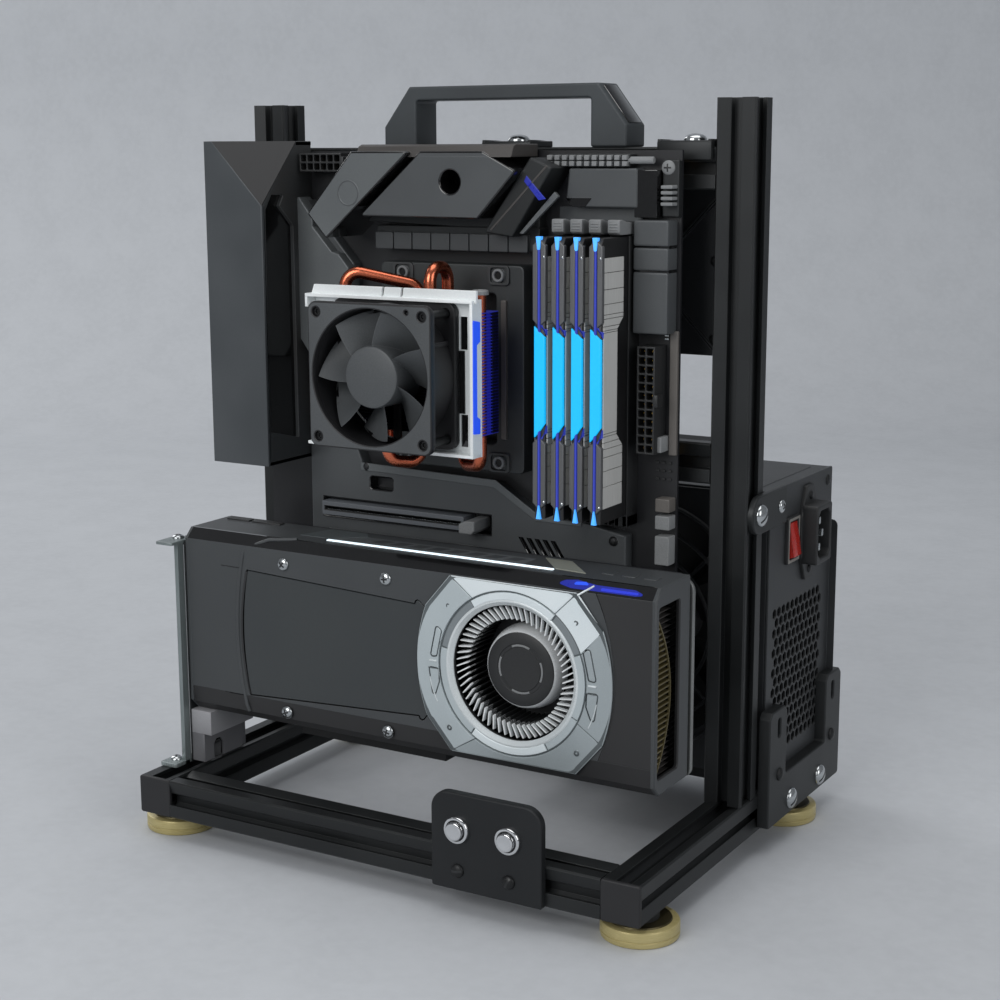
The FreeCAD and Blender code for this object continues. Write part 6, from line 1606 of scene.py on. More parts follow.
    def right_edge(self) -> None:
        """Build the cover on the board's right edge from its three stepped blocks."""
        shell = Shell()
        face = self.face
        shell.blocks(ARMOUR, 0.8, *(((96, face - 10, low), (114, face, high)) for low,
            high in ((268, 296.9), (297.7, 308.2), (309, 321))))
        shell.block((96, face - 8.5, 268.5), (113.8, face - 0.5, 320.5), GLOSS, 0.3)
        cover = [(59, 330.6), (60.6, 344.7), (96.6, 344.8), (96.8, 326.4), (62.4, 326.4)]
        shell.plate(FRONT, face, rounded(cover[::-1], 1, 3), (8, 0.8, 3), ARMOUR)
        shell.block((52, face - 1.7, 319.6), (96.8, face, 326.6), ARMOUR, 0.4)
        shell.plate(FRONT, face - 7.9, [(73, 330.8), (58.9, 330.7), (62.6, 326.6), (69.4, 326.6)],
            [(0, 0), (0, 0.25), (0.1, 0.35)], GLOSS)
        shell.block((95, face - 7.4, 322), (106.8, face, 344), GLOSS, 0.3)
        shell.piece("board_edge_cover", "bench", "armour", ["right_cover"])

    def sockets(self) -> None:
        """Build the memory sockets, the card's slot and the two power sockets."""
        shell = Shell()
        for number in range(4):
            x = 61.5 + 9.9 * number
            for side in (-1, 1):
                shell.block((x + side * 2.15 - 1.35, self.socket_front, 174),
                    (x + side * 2.15 + 1.35, self.face, 313.6), SOCKET, 0.35)
            shell.block((x - 0.9, self.socket_front + 5.2, 174), (x + 0.9, self.face, 313.6), SOCKET, 0.1)
            shell.block((x - 3.5, self.socket_front, 174), (x + 3.5, self.face, 179.8), SOCKET, 0.5)
        deep = self.face - self.socket_front
        shell.plate(FRONT, self.face, rounded(rectangle(-87, 162.4, 2, 169.9), 0.6, 2), (deep, 0.5),
            SLOT_GREY, [rectangle(-85, 165.3, 0, 167)], wall=BLACK_PLASTIC)
        shell.block((-85.5, self.socket_front + 9, 165), (0.5, self.face - 0.2, 167.3), BLACK_PLASTIC, 0.1)
        for x in np.arange(-84, 0, 1):
            shell.block((x, self.socket_front + 1, 165.35), (x + 0.4, self.socket_front + 3, 165.7),
                BRIGHT_SCREW, 0.05)
        shell.piece("board_edge_sockets", "bench", "socket_plastic", ["edge_sockets"])
        power = Shell()
        self.pins(power, 100, 211, 2, 12)
        self.pins(power, -95, 342.5, 6, 2)
        power.piece("board_power_sockets", "bench", "socket_plastic", ["power_sockets"])

    def pins(self, shell: Shell, left: float, low: float, columns: int, rows: int) -> None:
        """Add a power socket with a square well and a bright pin for each contact."""
        edge = self.pin_pitch - self.pin_cell
        wide, tall = columns * self.pin_pitch + edge, rows * self.pin_pitch + edge
        cells = [(left + edge + self.pin_pitch * c, low + edge + self.pin_pitch * r)
            for c in range(columns) for r in range(rows)]
        holes = [rounded(rectangle(x, z, x + self.pin_cell, z + self.pin_cell), 0.5, 2) for x, z in cells]
        shell.plate(FRONT, self.face - 3, rectangle(left, low, left + wide, low + tall),
            (self.face - 3 - self.pin_front, 0.35), SOCKET, holes)
        shell.block((left, self.face - 3.1, low), (left + wide, self.face, low + tall), SOCKET, 0.2)
        half = self.pin_cell / 2
        for x, z in cells:
            shell.block((x + half - 0.4, self.pin_front + 3.5, z + half - 0.4),
                (x + half + 0.4, self.face - 2.9, z + half + 0.4), BRASS, 0.15)
        shell.block((left + wide - 0.1, self.pin_front - 0, low + tall / 2 - 3),
            (left + wide + 1.6, self.pin_front + 6, low + tall / 2 + 3), SOCKET, 0.4, RIGHT)

    def slot_catch(self) -> None:
        """Build the latch at the end of the card's slot, on its own body."""
        shell = Shell()
        x, z = 2.7, 162.4
        side = [(x, z), (x + 7.4, z), (x + 9.4, z + 2), (x + 9.4, z + 7), (x + 4, z + 7), (x, z + 5)]
        shell.plate(FRONT, 95.5, rounded(side, 0.9, 3), (16, 0.9, 3), LATCH)
        shell.piece("slot_latch_grip", "slot_catch", "latch_plastic", ["slot_latch"])

    def laminate(self) -> None:
        """Build the small parts along the board's edges and the plate on its back."""
        shell = Shell()
        face, near = self.face, self.face + 0.1
        for places, size, finish in (
                ([(104.8 + 3.2 * (i % 3), 205 - 4 * (i // 3)) for i in range(9)], (1.8, 1, 1.1), SOCKET),
                ([(108.6, 264.6 + 1.6 * i) for i in range(2)], (2.2, 1, 0.9), BRIGHT_SCREW),
                ([(-66 + 3.4 * i, 349.8) for i in range(4)], (2, 1.4, 1.4), BRIGHT_SCREW)):
            shell.blocks(finish, 0.15, *(((x, face - size[1], z), (x + size[0], near, z + size[2])) for x,
                z in places))
        for low, tall, finish in ((182.4, 6.6, GREY_STRIP), (173.8, 6.8, LATCH), (156.4, 14.2, LATCH)):
            shell.block((107.6, 90, low), (115.2, near, low + tall), finish, 0.5)
        shell.block((48.6, 90, 345.3), (92.4, near, 351.3), BRACKET, 0.4)
        shell.blocks(LATCH, 0.3, *(((x, 88, z), (x + 2.6, 90.4, z + 2.3)) for x in range(49, 93, 4)
            for z in (345.7, 348.5)))
        shell.turned(RIGHT, (91.5, 348.4), 91.3, [(0, 0), (1.7, 0), (1.7, 12.6), (1.3, 13), (0, 13)], LATCH,
            20)
        shell.block((107.4, 94, 322.4), (115.8, near, 348.5), BRACKET, 0.5)
        Head(3.4, 1.4, LATCH, True, 0.8).add_to(shell, FRONT, (110.4, 345), 94.05)
        for number in range(4):
            z = 327.6 + 2.6 * number
            shell.block((109, 88.6, z), (115, 94.2, z + 1.6), LATCH, 0.4)
        shell.block((111.7, 95.4, 209.5), (115.8, near, 269), GREY_STRIP, 0.4)
        shell.block((107.6, 88, 211.5), (111.4, near, 219), LATCH, 0.6)
        rear = face + 1.6
        shell.blocks(LATCH, 0.1, *(((x, rear - 0.1, z), (x + 1.4, rear + 0.9, z + 0.8)) for x in range(-20,
            12, 4) for z in range(236, 264, 4)), facing=BACK)
        shell.plate(BACK, rear - 0.1, rounded(rectangle(-32, 224, 24, 276), 4, 4), (1.5, 0.4), STRUT,
            [rounded(rectangle(-22, 234, 14, 266), 3, 4)])
        shell.piece("board_small_parts", "bench", "circuit_board")

    def build(self) -> None:
        """Build every piece of the board."""
        self.regulators()
        self.armour()
        self.right_edge()
        self.sockets()
        self.slot_catch()
        self.laminate()


@dataclass(frozen=True)
class PortCover:
    """The angular cover over the board's ports, with its facet, its recess and its arm."""

    left: float = -133.3
    right: float = -97
    front: float = 54
    back: float = 97
    low: float = 192
    high: float = 358
    wall: float = 2
    recess: float = 3.2

    def cut_depth(self, across: float, up: float) -> float:
        """How far the facet sinks behind the front face at a place on it.

        The facet is the plane through three points; its depth rises in proportion to the
        distance past the line that joins the two points on the front face.
        """
        a = np.array([-128, 54, 358])
        b = np.array([-97, 84, 358])
        c = np.array([-97, 54, 326])
        normal = np.cross(b - a, c - a)
        return float(a[1] - (normal[0] * (across - a[0]) + normal[2] * (up - a[2])) / normal[1])

    def build(self) -> None:
        """Build the cover as one shell: flat front, facet, walls, rear rim and ports."""
        shell = Shell()
        left, right, low, high = self.left, self.right, self.low, self.high
        front, back, thick = self.front, self.back, self.wall
        corner_x, corner_z, facet_back, fold = -128, 326, 84, front + 1.4
        face = [(left, low), (right, low), (right, corner_z), (corner_x, high), (left, high)]
        shell.plate(FRONT, front + 2.2, face, (2.2, 0.5, 3), COVER_FACE)
        slope = [(right, corner_z), (right, high), (corner_x, high)]
        outer = np.array([(x, self.cut_depth(x, z), z) for x, z in slope])
        shell.loft(np.array([outer + (-0.4, 2.4, -0.4), outer]), FACET)
        side = [(fold, low), (back, low), (back, high), (facet_back, high), (fold, corner_z)]
        recess = [(55.9, 210), (80.7, 204), (80.2, 315), (68.9, 325.4), (72.6, 331), (62.6, 331.2),
            (57.4, 323.8)]
        shell.plate(RIGHT, right - thick, side, (thick, 0.3), COVER, [rounded(recess, 0.6, 3)])
        # A black plate behind the recess in the right wall: painted shade.
        shade_plate = [(55.6, 202), (82.5, 202), (82.5, 334), (64.4, 334), (55.9, 324)]
        shell.plate(RIGHT, right - thick - 1.2, shade_plate, (1.25, 0.2), GLOSS)
        roof = [(left, fold), (corner_x, fold), (right, facet_back), (right, back), (left, back)]
        shell.plate(UP, high - thick, roof, (thick, 0.4), COVER)
        shell.plate(DOWN, low + thick, rectangle(left, fold, right, back), (thick, 0.4), COVER)
        ports = [(low + up, low + up + tall) for up, tall in ((8, 12), (24, 12), (42, 17), (63, 17), (84,
            17), (106, 14))]
        shell.plate(LEFT, left + thick, rectangle(fold, low, back, high), (thick, 0.3), COVER,
            [rectangle(77, under, 93, over) for under, over in ports], wall=BRIGHT_SCREW)
        arm = [(-97.2, 256), (-90, 246), (-66, 246), (-65.6, 294.2), (-71.6, 301), (-75.8, 302),
            (-87.6, 314.6), (-87.6, 319), (-97.2, 331)]
        shell.plate(FRONT, 94, rounded(arm, 0.8, 3), (9.8, 0.7, 3), ARMOUR_LIGHT)
        for number, (under, over) in enumerate(ports):
            shell.blocks((BRIGHT_SCREW, BRASS)[number % 2], 0.1, ((left + thick, 77, under), (left + 14, 93,
                under + 0.8)), ((left + thick, 77, over - 0.8), (left + 14, 93, over)))
            shell.block((left + thick, 83.6, under + 2.4), (left + 12, 86.4, over - 2.4), BLACK_PLASTIC,
                0.3)
        shell.piece("port_cover_shell", "bench", "armour", ["port_cover"])
@dataclass(frozen=True)
class PowerSupply:
    """The power supply behind the right post: its case, its fan, its inlet and its switch."""

    left: float = 6
    right: float = 146
    front: float = 142
    back: float = 228
    low: float = 37
    high: float = 187
    sheet: float = 1.2
    vent_pitch: float = 6
    vent_flat: float = 4.6
    vent_low: Pair = (151, 50)
    vent_columns: int = 11
    vent_rows: int = 15
    opening: float = 62
    axis: Pair = (76, 112)
    wire: float = 1
    inlet: Pair = (192, 158)
    rocker: Pair = (170, 158)

    def vents(self) -> list[Loop]:
        """The staggered hexagons: each row is half a pitch off the last, and the rows are a
        pitch times the root of three over two apart."""
        radius = self.vent_flat / math.sqrt(3)
        row = self.vent_pitch * math.sqrt(3) / 2
        places = [(self.vent_low[0] + self.vent_pitch * (column + 0.5 * (number % 2)),
            self.vent_low[1] + row * number) for number in range(self.vent_rows)
            for column in range(self.vent_columns)]
        return [arc(place, radius, 30, 330, 6) for place in places]

    def case(self) -> None:
        """Build the folded case: the vented side, the other walls and the seams between them."""
        shell = Shell()
        left, front, low, back, high = self.left, self.front, self.low, self.back, self.high
        sheet, wide, fold, flap = self.sheet, self.right - self.sheet, front + 1.3, 8
        openings = [rectangle(y - across, z - up, y + across, z + up) for (y, z), across,
            up in ((self.inlet, 10.8, 9.8), (self.rocker, 6.5, 10.5))]
        shell.plate(RIGHT, wide, rounded(rectangle(front, low, back, high), 1, 2), (sheet, 0.35), SUPPLY,
            self.vents() + openings, wall=BLACK_PLASTIC)
        for near, far, bevel, facing in (
                ((left, fold, high - sheet), (wide + 0.2, back, high - 0.3), 0.35, UP),
                ((left + flap, front + flap, high - 0.5), (wide - flap, back - flap, high), 0.2, UP),
                ((left, fold, low), (wide + 0.2, back, low + sheet), 0.35, DOWN),
                ((left, fold, low + 1), (left + sheet, back, high - 1), 0.35, LEFT),
                ((left + 1, back - sheet, low + 1), (wide, back - 0.4, high - 1), 0.35, BACK)):
            shell.block(near, far, SUPPLY, bevel, facing)
        for start, end in ((30, 102), (66, 150)):
            shell.plate(BACK, back - 0.5, rounded(rectangle(start, 66, end, 158), 3, 4), (0.5, 0.25),
                SUPPLY)
        for place in ((front + 6, low + 6.5), (back - 6.5, high - 6.5), (back - 6.5, low + 28)):
            Head(2.9, 1.3, BLACK_SCREW, True, 0.8).add_to(shell, RIGHT, place, self.right - 0.05, 15)
        shell.piece("supply_case", "bench", "supply_sheet", ["psu_housing"])

    def fan_side(self) -> None:
        """Build the sheet with the round opening, and the wire grille in front of it."""
        shell = Shell()
        inner = self.sheet + 0.3
        outline = rounded(rectangle(self.left + inner, self.low + inner, self.right - inner,
            self.high - inner), 1, 2)
        shell.plate(FRONT, self.front + self.sheet, outline, (self.sheet, 0.3), SUPPLY,
            [circle(self.axis, self.opening, 96)])
        shell.piece("supply_fan_sheet", "bench", "supply_sheet", ["psu_fan_side"])
        grille = Shell()
        outer = self.opening + 4
        angles = np.radians(np.arange(96) * 360 / 96)
        for index in range(5):
            radius = outer * (index + 1) / 5
            ring = np.column_stack([self.axis[0] + radius * np.cos(angles), np.full(96,
                self.front - 3 * self.wire), self.axis[1] + radius * np.sin(angles)])
            grille.tube(ring, self.wire, WIRE, 10, closed=True)
        for turn in (45, 135, 225, 315):
            way = np.array([math.cos(math.radians(turn)), 0, math.sin(math.radians(turn))])
            middle = np.array([self.axis[0], self.front - 1.15 * self.wire, self.axis[1]])
            shares = (0.1, 0.5, 0.985)
            grille.tube(np.array([middle + way * outer * share for share in shares]), self.wire, WIRE, 10)
        grille.piece("supply_fan_grille", "bench", "wire", ["psu_fan_grille"])

    def fan(self) -> None:
        """Build the fan wheel on its own body and the motor's mount behind it."""
        shell = Shell()
        Wheel(self.axis, 22, 60.3, self.front + 7.6, self.front + 29.4, 7, 90, 8, 46, 34, self.front + 9.5,
            self.front + 27, 1.6, BLACK_PLASTIC, BLACK_PLASTIC).add_to(shell)
        shell.piece("supply_fan_wheel", "supply_rotor", "black_plastic", ["psu_fan_rotor"])
        mount = Shell()
        base = self.front + 33
        mount.turned(FRONT, self.axis, base, [(0, 0), (17.6, 0), (17.6, 2.5), (17, 3), (0, 3)],
            BLACK_PLASTIC, 48)
        mount.block((self.left + 1.5, base - 3, self.axis[1] - 3), (self.right - 1.5, base - 0.1,
            self.axis[1] + 3), SUPPLY, 0.5)
        mount.piece("supply_fan_mount", "bench", "supply_sheet", ["psu_fan_mount"])

    def plug(self) -> None:
        """Build the mains inlet: a pointed flange, a chamfered well and three bright pins."""
        shell = Shell()
        y, z = self.inlet
        right = self.right
        octagon = [(-1, -1), (1, -1), (1, 1), (-1, 1)]
        flange = np.array([(-12, -9), (-5, -25), (5, -25), (12, -9), (12, 9), (5, 25), (-5, 25), (-12, 9)],
            float) + self.inlet
        well = np.array([(-8.5, -9.5), (-5.5, -12.5), (5.5, -12.5), (8.5, -9.5), (8.5, 9.5), (5.5, 12.5),
            (-5.5, 12.5), (-8.5, 9.5)]) + self.inlet
        body = rounded(np.array(octagon) * (10.5, 15.5) + self.inlet, 1.6, 4)
        for level, outline, edge, hole in (
                (right, rounded(flange, 2, 3), (2, 0.6, 3), well),
                (right + 1.9, body, (8.1, 0.9, 3), well),
                (right - 12, np.array(octagon) * (10.5, 9.5) + self.inlet, [(0, 0), (0, 12.1)],
                 inset(well, 0.6))):
            shell.plate(RIGHT, level, outline, edge, BLACK_PLASTIC, [hole])
        shell.block((right - 12.1, y - 9, z - 9.4), (right - 7.5, y + 9, z + 9.4), BLACK_PLASTIC, 0.3,
            RIGHT)
        for side, up in ((-2, 7), (2, 0), (-2, -7)):
            shell.block((right - 9, y + side - 1, z + up - 2), (right + 8.2, y + side + 1, z + up + 2),
                BRIGHT_SCREW, 0.4, RIGHT)
        for up in (-19.5, 19.5):
            Head(2.3, 1.2, BLACK_SCREW, True, 0.7).add_to(shell, RIGHT, (y, z + up), right + 1.95, 30)
        shell.piece("supply_inlet", "bench", "black_plastic", ["power_inlet"])

    def switch(self) -> None:
        """Build the rocker's grey bezel, and the red rocker on its own body."""
        shell = Shell()
        y, z = self.rocker
        outer = rounded(rectangle(y - 8.1, z - 12.1, y + 8.1, z + 12.1), 1.2, 4)
        room = rounded(rectangle(y - 5.5, z - 9.5, y + 5.5, z + 9.5), 0.6, 3)
        shell.plate(RIGHT, self.right, outer, (2, 0.6, 3), BLACK_PLASTIC, [room], lid=BEZEL)
        well = rectangle(y - 6.5, z - 10.5, y + 6.5, z + 10.5)
        shell.plate(RIGHT, self.right - 8, well, [(0, 0), (0, 8.1)], BLACK_PLASTIC, [room])
        shell.block((self.right - 8.1, y - 6, z - 10), (self.right - 7, y + 6, z + 10), BLACK_PLASTIC, 0.2,
            RIGHT)
        shell.piece("supply_rocker_bezel", "bench", "grey_plastic", ["rocker_bezel"])
        key = Shell()
        x = self.right
        side = [(x + 1.2, z - 9.3), (x + 4.4, z - 8.3), (x + 3.7, z - 4), (x + 3.2, z), (x + 2.3, z + 4.6),
            (x + 1.6, z + 9.1), (x - 1.2, z + 9), (x - 4.6, z + 2.5), (x - 4.6, z - 2.5)]
        key.plate(BACK, y - 5, rounded(side, 0.5, 3), (10, 0.5, 2, True), RED)
        key.piece("supply_rocker_key", "mains_rocker", "red_rocker", ["rocker_switch"])

    def holders(self) -> None:
        """Build the thick bracket on the base rail and the rounded tab on the post."""
        shell = Shell()
        start, low, wide, high, ear, bar, edge = 134.5, 14, 101, 61, 22.5, 24, 3
        flat = np.array([(0, 0), (wide, 0), (wide, high - edge), (wide - edge, high), (wide - ear + edge,
            high), (wide - ear, high - edge), (wide - ear, bar), (ear, bar), (ear, high - edge),
            (ear - edge, high), (edge, high), (0, high - edge)], float) + (start, low)
        radii = [2, 2, 1, 1, 1, 1, 1.5, 1.5, 1, 1, 1, 1]
        slots = [rounded(rectangle(m - 2, low + high - 15, m + 2, low + high - 5), 1.6, 4)
            for m in (start + ear * 0.55, start + wide - ear * 0.55)]
        shell.plate(RIGHT, self.right, rounded(flat, radii, 3), (6, 0.8, 3), BRACKET, slots)
        shell.piece("supply_bracket_plate", "bench", "bracket_metal", ["psu_bracket"])
        tab = Shell()
        span = Span.of("psu_tab")
        middle = (span.front + 9.5, (span.low + span.high) / 2)
        end = arc(middle, 9.5, 90, 270, 13)
        outline = np.concatenate([end, rounded([(span.back, span.low), (span.back, span.high)], 0)])
        tab.plate(RIGHT, span.left, outline, (3, 0.7, 3), BRACKET)
        tab.piece("supply_tab_plate", "bench", "bracket_metal", ["psu_tab"])

    def build(self) -> None:
        """Build every piece of the power supply."""
        self.case()
        self.fan_side()
        self.fan()
        self.plug()
        self.switch()
        self.holders()


@dataclass(frozen=True)
class Stand:
    """The aluminium stand: its handle, feet, caps, tray, front switches and screws."""

    post_front: float = 112
    post_back: float = 132
    grip_low: float = 354.5
    grip_left: float = -60.6
    grip_right: float = 79.4
    grip_high: float = 30.5
    grip_leg: float = 19.6
    grip_bar: float = 7
    slope_across: float = 15.4
    slope_up: float = 20
    foot_radius: float = 18.5
    foot_disc: float = 8
    foot_high: float = 12
    rail: float = 20
    side_x: float = 136
    buttons: Pair = (53.1, 80.7)
    button_up: float = 42.3
    rail_z: float = 22

    def handle(self) -> None:
        """Build the handle from a rounded outline; the recess on each shoulder is a black strip of painted
        shade.
        """
        shell = Shell()
        left, right, low = self.grip_left, self.grip_right, self.grip_low
        high, leg = self.grip_high, self.grip_leg
        knee = high - self.slope_up
        flat = np.array([(left, 0), (left + leg, 0), (left + leg, high - self.grip_bar), (right - leg,
            high - self.grip_bar), (right - leg, 0), (right, 0), (right, knee),
            (right - self.slope_across, high), (left + self.slope_across, high), (left, knee)], float) + (0,
            low)
        radii = [1.1, 1.1, 1.6, 1.6, 1.1, 1.1, 1.5, 1.5, 1.5, 1.5]
        deep = self.post_back - self.post_front
        shell.plate(FRONT, self.post_back, rounded(flat, radii, 4), (deep, 1, 3, True), HANDLE)
        # A black strip along each sloped shoulder: painted shade where the shoulder's recess lies.
        for side, corner in ((-1, left), (1, right)):
            base = np.array([corner - side * 0.9, low + knee + 0.6])
            over = np.array([corner - side * (self.slope_across - 0.6), low + high - 1.4])
            along = (over - base) / np.linalg.norm(over - base)
            out = np.array([along[1], -along[0]]) * side
            panel = np.array([base, over, over + out * 1.02, base + out * 1.02])
            flat = panel if area(panel) > 0 else panel[::-1]
            shell.plate(FRONT, self.post_back - 3.2, flat, (deep - 6.4, 0.4, 2, True), GLOSS)
        shell.piece("stand_handle", "bench", "handle_metal", ["handle"])

    def feet(self) -> None:
        """Build the turned feet, each with grooves round its disc and a ring of painted shade on top."""
        shell = Shell()
        r, disc = self.foot_radius, self.foot_disc
        profile = [(0, 0), (r - 1.2, 0), (r - 0.3, 0.3), (r, 1.2), (r, 2.6), (r - 0.35, 2.9),
            (r - 0.35, 3.3), (r, 3.6), (r, disc - 1.2), (r - 0.35, disc - 0.35), (r - 1.2, disc),
            (0, disc)]
        for x in (-self.side_x, self.side_x):
            for y in (21, 193):
                shell.turned(UP, (x, y), 0, profile, FOOT, 64)
                # The dark ring round the stem is painted shade.
                shell.turned(UP, (x, y), disc - 0.2, [(9, 0), (r - 3.4, 0), (r - 3.8, 0.9), (9, 0.9)],
                    FOOT_TOP_SHADE, 64, hollow=True)
                shell.turned(UP, (x, y), disc - 0.1, [(0, 0), (9, 0), (9, 4), (0, 4)], BLACK_PLASTIC, 40)
        shell.piece("stand_feet", "bench", "foot_metal", ["feet"])
        caps = Shell()
        for x in (-self.side_x, self.side_x):
            for level, facing in ((2, FRONT), (212, BACK)):
                flat = rounded(rectangle(x - 10, self.foot_high, x + 10, self.foot_high + self.rail), 1.2,
                    4)
                caps.plate(facing, level, flat, (2, 0.7, 3), CAP)
        caps.piece("stand_end_caps", "bench", "cap_plastic", ["rail_end_caps"])

    def brackets(self) -> None:
        """Build the two small angle brackets, with a raised rib between their legs."""
        shell = Shell()
        front, low = self.post_front, self.grip_low
        for left in (0, 97):
            side = [(front - 3, low - 6), (front, low - 6), (front, low), (self.post_back, low),
                (self.post_back, low + 3), (front - 3, low + 3)]
            shell.plate(RIGHT, left, rounded(side, [0.5, 0.5, 0.3, 0.5, 0.5, 1.2], 3), (28, 0.4, 2, True),
                BRACKET)
            for edge in (left + 0.2, left + 26.3):
                rib = [(front - 3, low - 5.5), (front - 2.7, low + 2.7), (self.post_back - 6, low + 3.3),
                    (front - 2.5, low + 3.6)]
                shell.plate(RIGHT, edge, rib, [(0, 0), (0, 1.5)], BRACKET)
        shell.piece("stand_angle_brackets", "bench", "bracket_metal", ["angle_brackets"])

    def tray(self) -> None:
        """Build the tray behind the crossbars, with its crossed ribs doubled as thin lines."""
        shell = Shell()
        left, low, high = -126, 254, 354.5
        shell.block((left, self.post_back, low), (126, self.post_back + 2, high), TRAY, 0.5, BACK)
        rib = 2
        reach = high - low - self.rail - rib * 2
        third = 252 / 3
        for column in range(3):
            rib_left = left + third * column + rib * 2
            rib_right = rib_left + third - rib * 6
            for start, end in ((rib_left, rib_right), (rib_right, rib_left)):
                for shift in (0, 1.7):
                    bar = [(start + shift, low + rib), (start + shift + 1.1, low + rib),
                        (end + shift + 1.1, low + reach), (end + shift, low + reach)]
                    flat = loop(bar)
                    shell.plate(FRONT, self.post_back + 0.1, flat, (2, 0.35), TRAY)
        for x in (-118, 118):
            for z in (262, 300):
                Head(2.6, 1.3, BLACK_SCREW, True, 0.7).add_to(shell, FRONT, (x, z), self.post_back + 0.05)
        shell.piece("stand_back_tray", "bench", "tray_sheet", ["back_tray"])

    def switches(self) -> None:
        """Build the front plate, the chrome housings and the two plungers on their bodies."""
        shell = Shell()
        corners = rounded(rectangle(38.5, 12, 98, 60), [1, 1, 9, 9], 8)
        holes = [circle((x, self.button_up), 5.7, 32) for x in self.buttons]
        shell.plate(FRONT, 0, corners, (4, 0.8, 3), SHEET, holes)
        shell.piece("switch_face_plate", "bench", "supply_sheet", ["switch_plate"])
        rims = Shell()
        for name, x in zip(("power", "reset"), self.buttons):
            centre = (x, self.button_up)
            bore, out = 4.7, 6.7
            rim = [(bore, -14), (5.6, -14), (5.6, 0), (out, 0), (out, 1.2), (out - 0.4, 1.8), (out - 1, 2),
                (bore + 0.5, 2), (bore, 1.6)]
            rims.turned(FRONT, centre, -4, rim, CHROME, 48, hollow=True)
            nut = [(5.6, 0), (out + 1, 0), (out + 1.2, 0.3), (out + 1.2, 2.1), (out + 1, 2.4), (5.6, 2.4)]
            rims.turned(BACK, centre, 0.05, nut, CHROME, 6, hollow=True)
            # A thin black ring at the front of the bore: painted shade in the gap round the plunger.
            shade = [(bore - 0.02, 0), (bore + 0.5, 0), (bore + 0.5, 0.06), (bore - 0.02, 0.06)]
            rims.turned(FRONT, centre, -6, shade, SLOT_AND_GAP_SHADE, 48, hollow=True)
            rims.turned(BACK, centre, 8.6, [(0, 0), (5.5, 0), (5.5, 1.4), (0, 1.4)], BLACK_PLASTIC, 32)
            push = Shell()
            push.turned(FRONT, centre, 1, [(0, 0), (4.38, 0), (4.38, 8.3), (4.2, 8.75), (3.7, 9), (3.3,
                8.95), (0, 8.7)], CHROME, 48)
            push.piece(f"switch_{name}_plunger", f"{name}_plunger", "button_chrome", [f"{name}_button"])
        rims.piece("switch_housings", "bench", "button_chrome", ["button_housings"])

    def screws(self) -> None:
        """Put on every screw that the CAD has, by kind: where it is, its face and its turn."""
        rail = self.rail_z
        kinds = (("domed", "bright_screw", "dome_screws", Head(5.6, 3.2, BRIGHT_SCREW, False, 1.2),
            ((RIGHT, (122, 179), 149, 35), (RIGHT, (164.5, rail), 152, 35), (RIGHT, (205.5, rail), 152, 35),
            (UP, (14, 122), 357.5, 20), (UP, (111, 122), 357.5, 20))),
            ("small", "bright_screw", "small_screws", Head(3.4, 2, BRIGHT_SCREW, True, 0.9),
            ((UP, (-142.2, 25.25), 34, 40), (UP, (-142, 33), 153.5, 10), (RIGHT, (148.5, 179), 149, 25),
            (FRONT, (-70.7, 70), 30, 20), (FRONT, (-70.7, 148), 30, 50), (FRONT, (-8.3, 70), 30, 75),
            (FRONT, (-8.3, 148), 30, 5))), ("black", "black_screw", "black_screws",
            Head(3.4, 2, BLACK_SCREW, False, 0.9), ((FRONT, (self.buttons[0], rail), -4, 8),
            (FRONT, (self.buttons[1], rail), -4, 62), (RIGHT, (148, 40), 152, 50),
            (RIGHT, (222, 40), 152, 50))))
        for kind, slot, node, head, places in kinds:
            shell = Shell()
            for facing, centre, face, turn in places:
                head.add_to(shell, facing, centre, face - 0.05 * facing.value[3], turn)
            shell.piece(f"screws_{kind}", "bench", slot, [node])

    def build(self) -> None:
        """Build every piece of the stand."""
        self.handle()
        self.feet()
        self.brackets()
        self.tray()
        self.switches()
        self.screws()
ASSEMBLIES: tuple[type, ...] = (GraphicsCard, Cooler, Memory, Board, PortCover, PowerSupply, Stand)


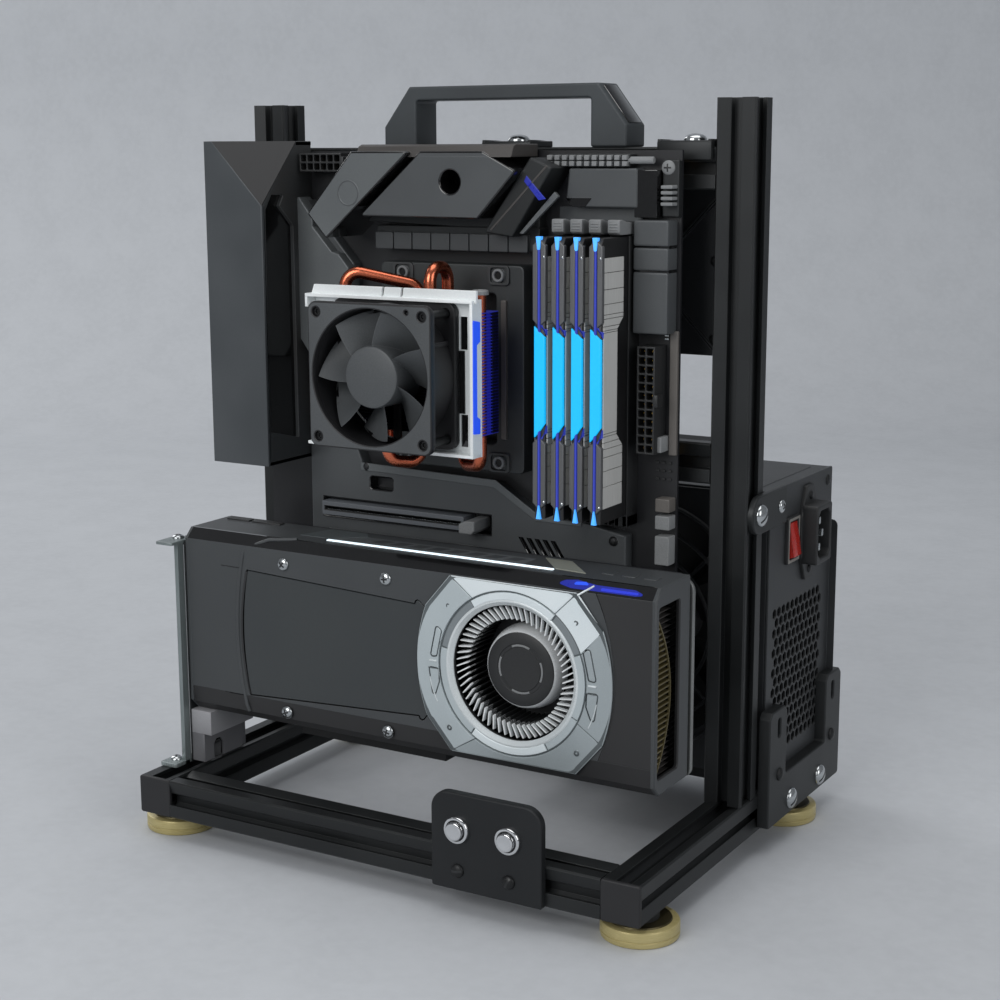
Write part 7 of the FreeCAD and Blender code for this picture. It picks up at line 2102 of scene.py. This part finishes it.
@dataclass(frozen=True)
class Studio:
    """A pale floor that sweeps up into a backdrop, soft lights, and the photograph's camera."""

    eye_m: Triple = (0.47416, -0.78949, 0.35497)
    azimuth_deg: float = 30.647
    pitch_deg: float = 11.132
    roll_deg: float = -0.2009
    focal_px: float = 1797.2
    image_px: float = 1000
    sensor_mm: float = 36
    floor_m: float = 3.4
    back_m: float = 1.25
    sweep_m: float = 0.5

    def camera(self) -> None:
        """Place the camera.

        It looks along minus sine, cosine of the azimuth and down by the pitch. The roll turns
        its right and up axes about that line, and the lens is the focal length in pixels
        times the sensor's width over the image's width.
        """
        azimuth, pitch, roll = (math.radians(a) for a in (self.azimuth_deg, self.pitch_deg, self.roll_deg))
        forward = Vector((-math.sin(azimuth) * math.cos(pitch), math.cos(azimuth) * math.cos(pitch),
            -math.sin(pitch)))
        right = Vector((math.cos(azimuth), math.sin(azimuth), 0))
        up = right.cross(forward)
        turned_right = right * math.cos(roll) + up * math.sin(roll)
        turned_up = up * math.cos(roll) - right * math.sin(roll)
        data = bpy.data.cameras.new("photo_camera")
        data.sensor_width = self.sensor_mm
        data.lens = self.focal_px * self.sensor_mm / self.image_px
        camera = bpy.data.objects.new("photo_camera", data)
        bpy.context.scene.collection.objects.link(camera)
        axes = Matrix((turned_right, turned_up, -forward)).transposed().to_4x4()
        axes.translation = Vector(self.eye_m)
        camera.matrix_world = axes
        bpy.context.scene.camera = camera

    def floor(self) -> None:
        """Make the floor and the backdrop as one sheet.

        Its side view is a straight floor, a quarter circle of sweep_m and a straight wall.
        """
        reach = self.floor_m
        turn = np.radians(np.linspace(0, 90, 25))
        curve = np.stack([self.back_m + self.sweep_m * np.sin(turn), self.sweep_m * (1 - np.cos(turn))],
            -1)
        side = np.concatenate([[(-reach, 0)], curve, [(self.back_m + self.sweep_m, reach)]])
        across = np.array([-reach, reach])
        azimuth = math.radians(self.azimuth_deg)
        grid = np.zeros((len(side), 2, 3))
        grid[..., 0] = across[None] * math.cos(azimuth) - side[:, None, 0] * math.sin(azimuth)
        grid[..., 1] = across[None] * math.sin(azimuth) + side[:, None, 0] * math.cos(azimuth)
        grid[..., 2] = side[:, None, 1]
        rows = np.arange(len(side) - 1)[:, None] * 2 + np.array([0, 1, 3, 2])
        mesh = bpy.data.meshes.new("studio_floor")
        mesh.from_pydata(grid.reshape(-1, 3).tolist(), [], rows.tolist())
        mesh.materials.append(FLOOR.material())
        mesh.shade_smooth()
        made = bpy.data.objects.new("studio_floor", mesh)
        bpy.context.scene.collection.objects.link(made)

    def lamp(self, name: str, place: Triple, target: Triple, size: float, watts: float,
             colour: str = "#ffffff") -> None:
        """Add one soft square lamp that looks at a point."""
        data = bpy.data.lights.new(name, "AREA")
        data.shape = "SQUARE"
        data.size = size
        data.energy = watts
        data.color = linear(colour)[:3]
        lamp = bpy.data.objects.new(name, data)
        bpy.context.scene.collection.objects.link(lamp)
        lamp.location = place
        lamp.rotation_euler = (Vector(target) - Vector(place)).to_track_quat("-Z", "Y").to_euler()

    def lights(self) -> None:
        """Light the bench from the front, from above and a little from each side."""
        world = bpy.data.worlds.new("studio_air")
        world.use_nodes = True
        air = world.node_tree.nodes["Background"]
        air.inputs["Color"].default_value = linear("#e4e8ee")
        air.inputs["Strength"].default_value = 0.26
        bpy.context.scene.world = world
        self.lamp("front_lamp", (-0.25, -2, 1.15), (0, 0, 0.2), 1.3, 21)
        self.lamp("right_lamp", (2, -0.6, 1), (0, 0, 0.2), 1.2, 9)
        self.lamp("top_lamp", (0.1, 0.1, 2.2), (0, 0, 0.1), 1.6, 15)
        self.lamp("left_lamp", (-1.8, 0.5, 1.2), (0, 0, 0.2), 1, 8)

    def build(self) -> None:
        """Set the whole stage."""
        self.floor()
        self.lights()
        self.camera()
        bpy.context.scene.view_settings.view_transform = "Standard"


def write_sizes() -> None:
    """Update the view layer."""
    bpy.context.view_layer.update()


def main() -> None:
    """Dress the frame, build every detailed piece and set the stage."""
    logging.basicConfig(level=logging.INFO, format="%(name)s %(message)s")
    dress(NODE_FINISH)
    for assembly in ASSEMBLIES:
        assembly().build()
    Studio().build()
    write_sizes()


if __name__ == "__main__":
    main()
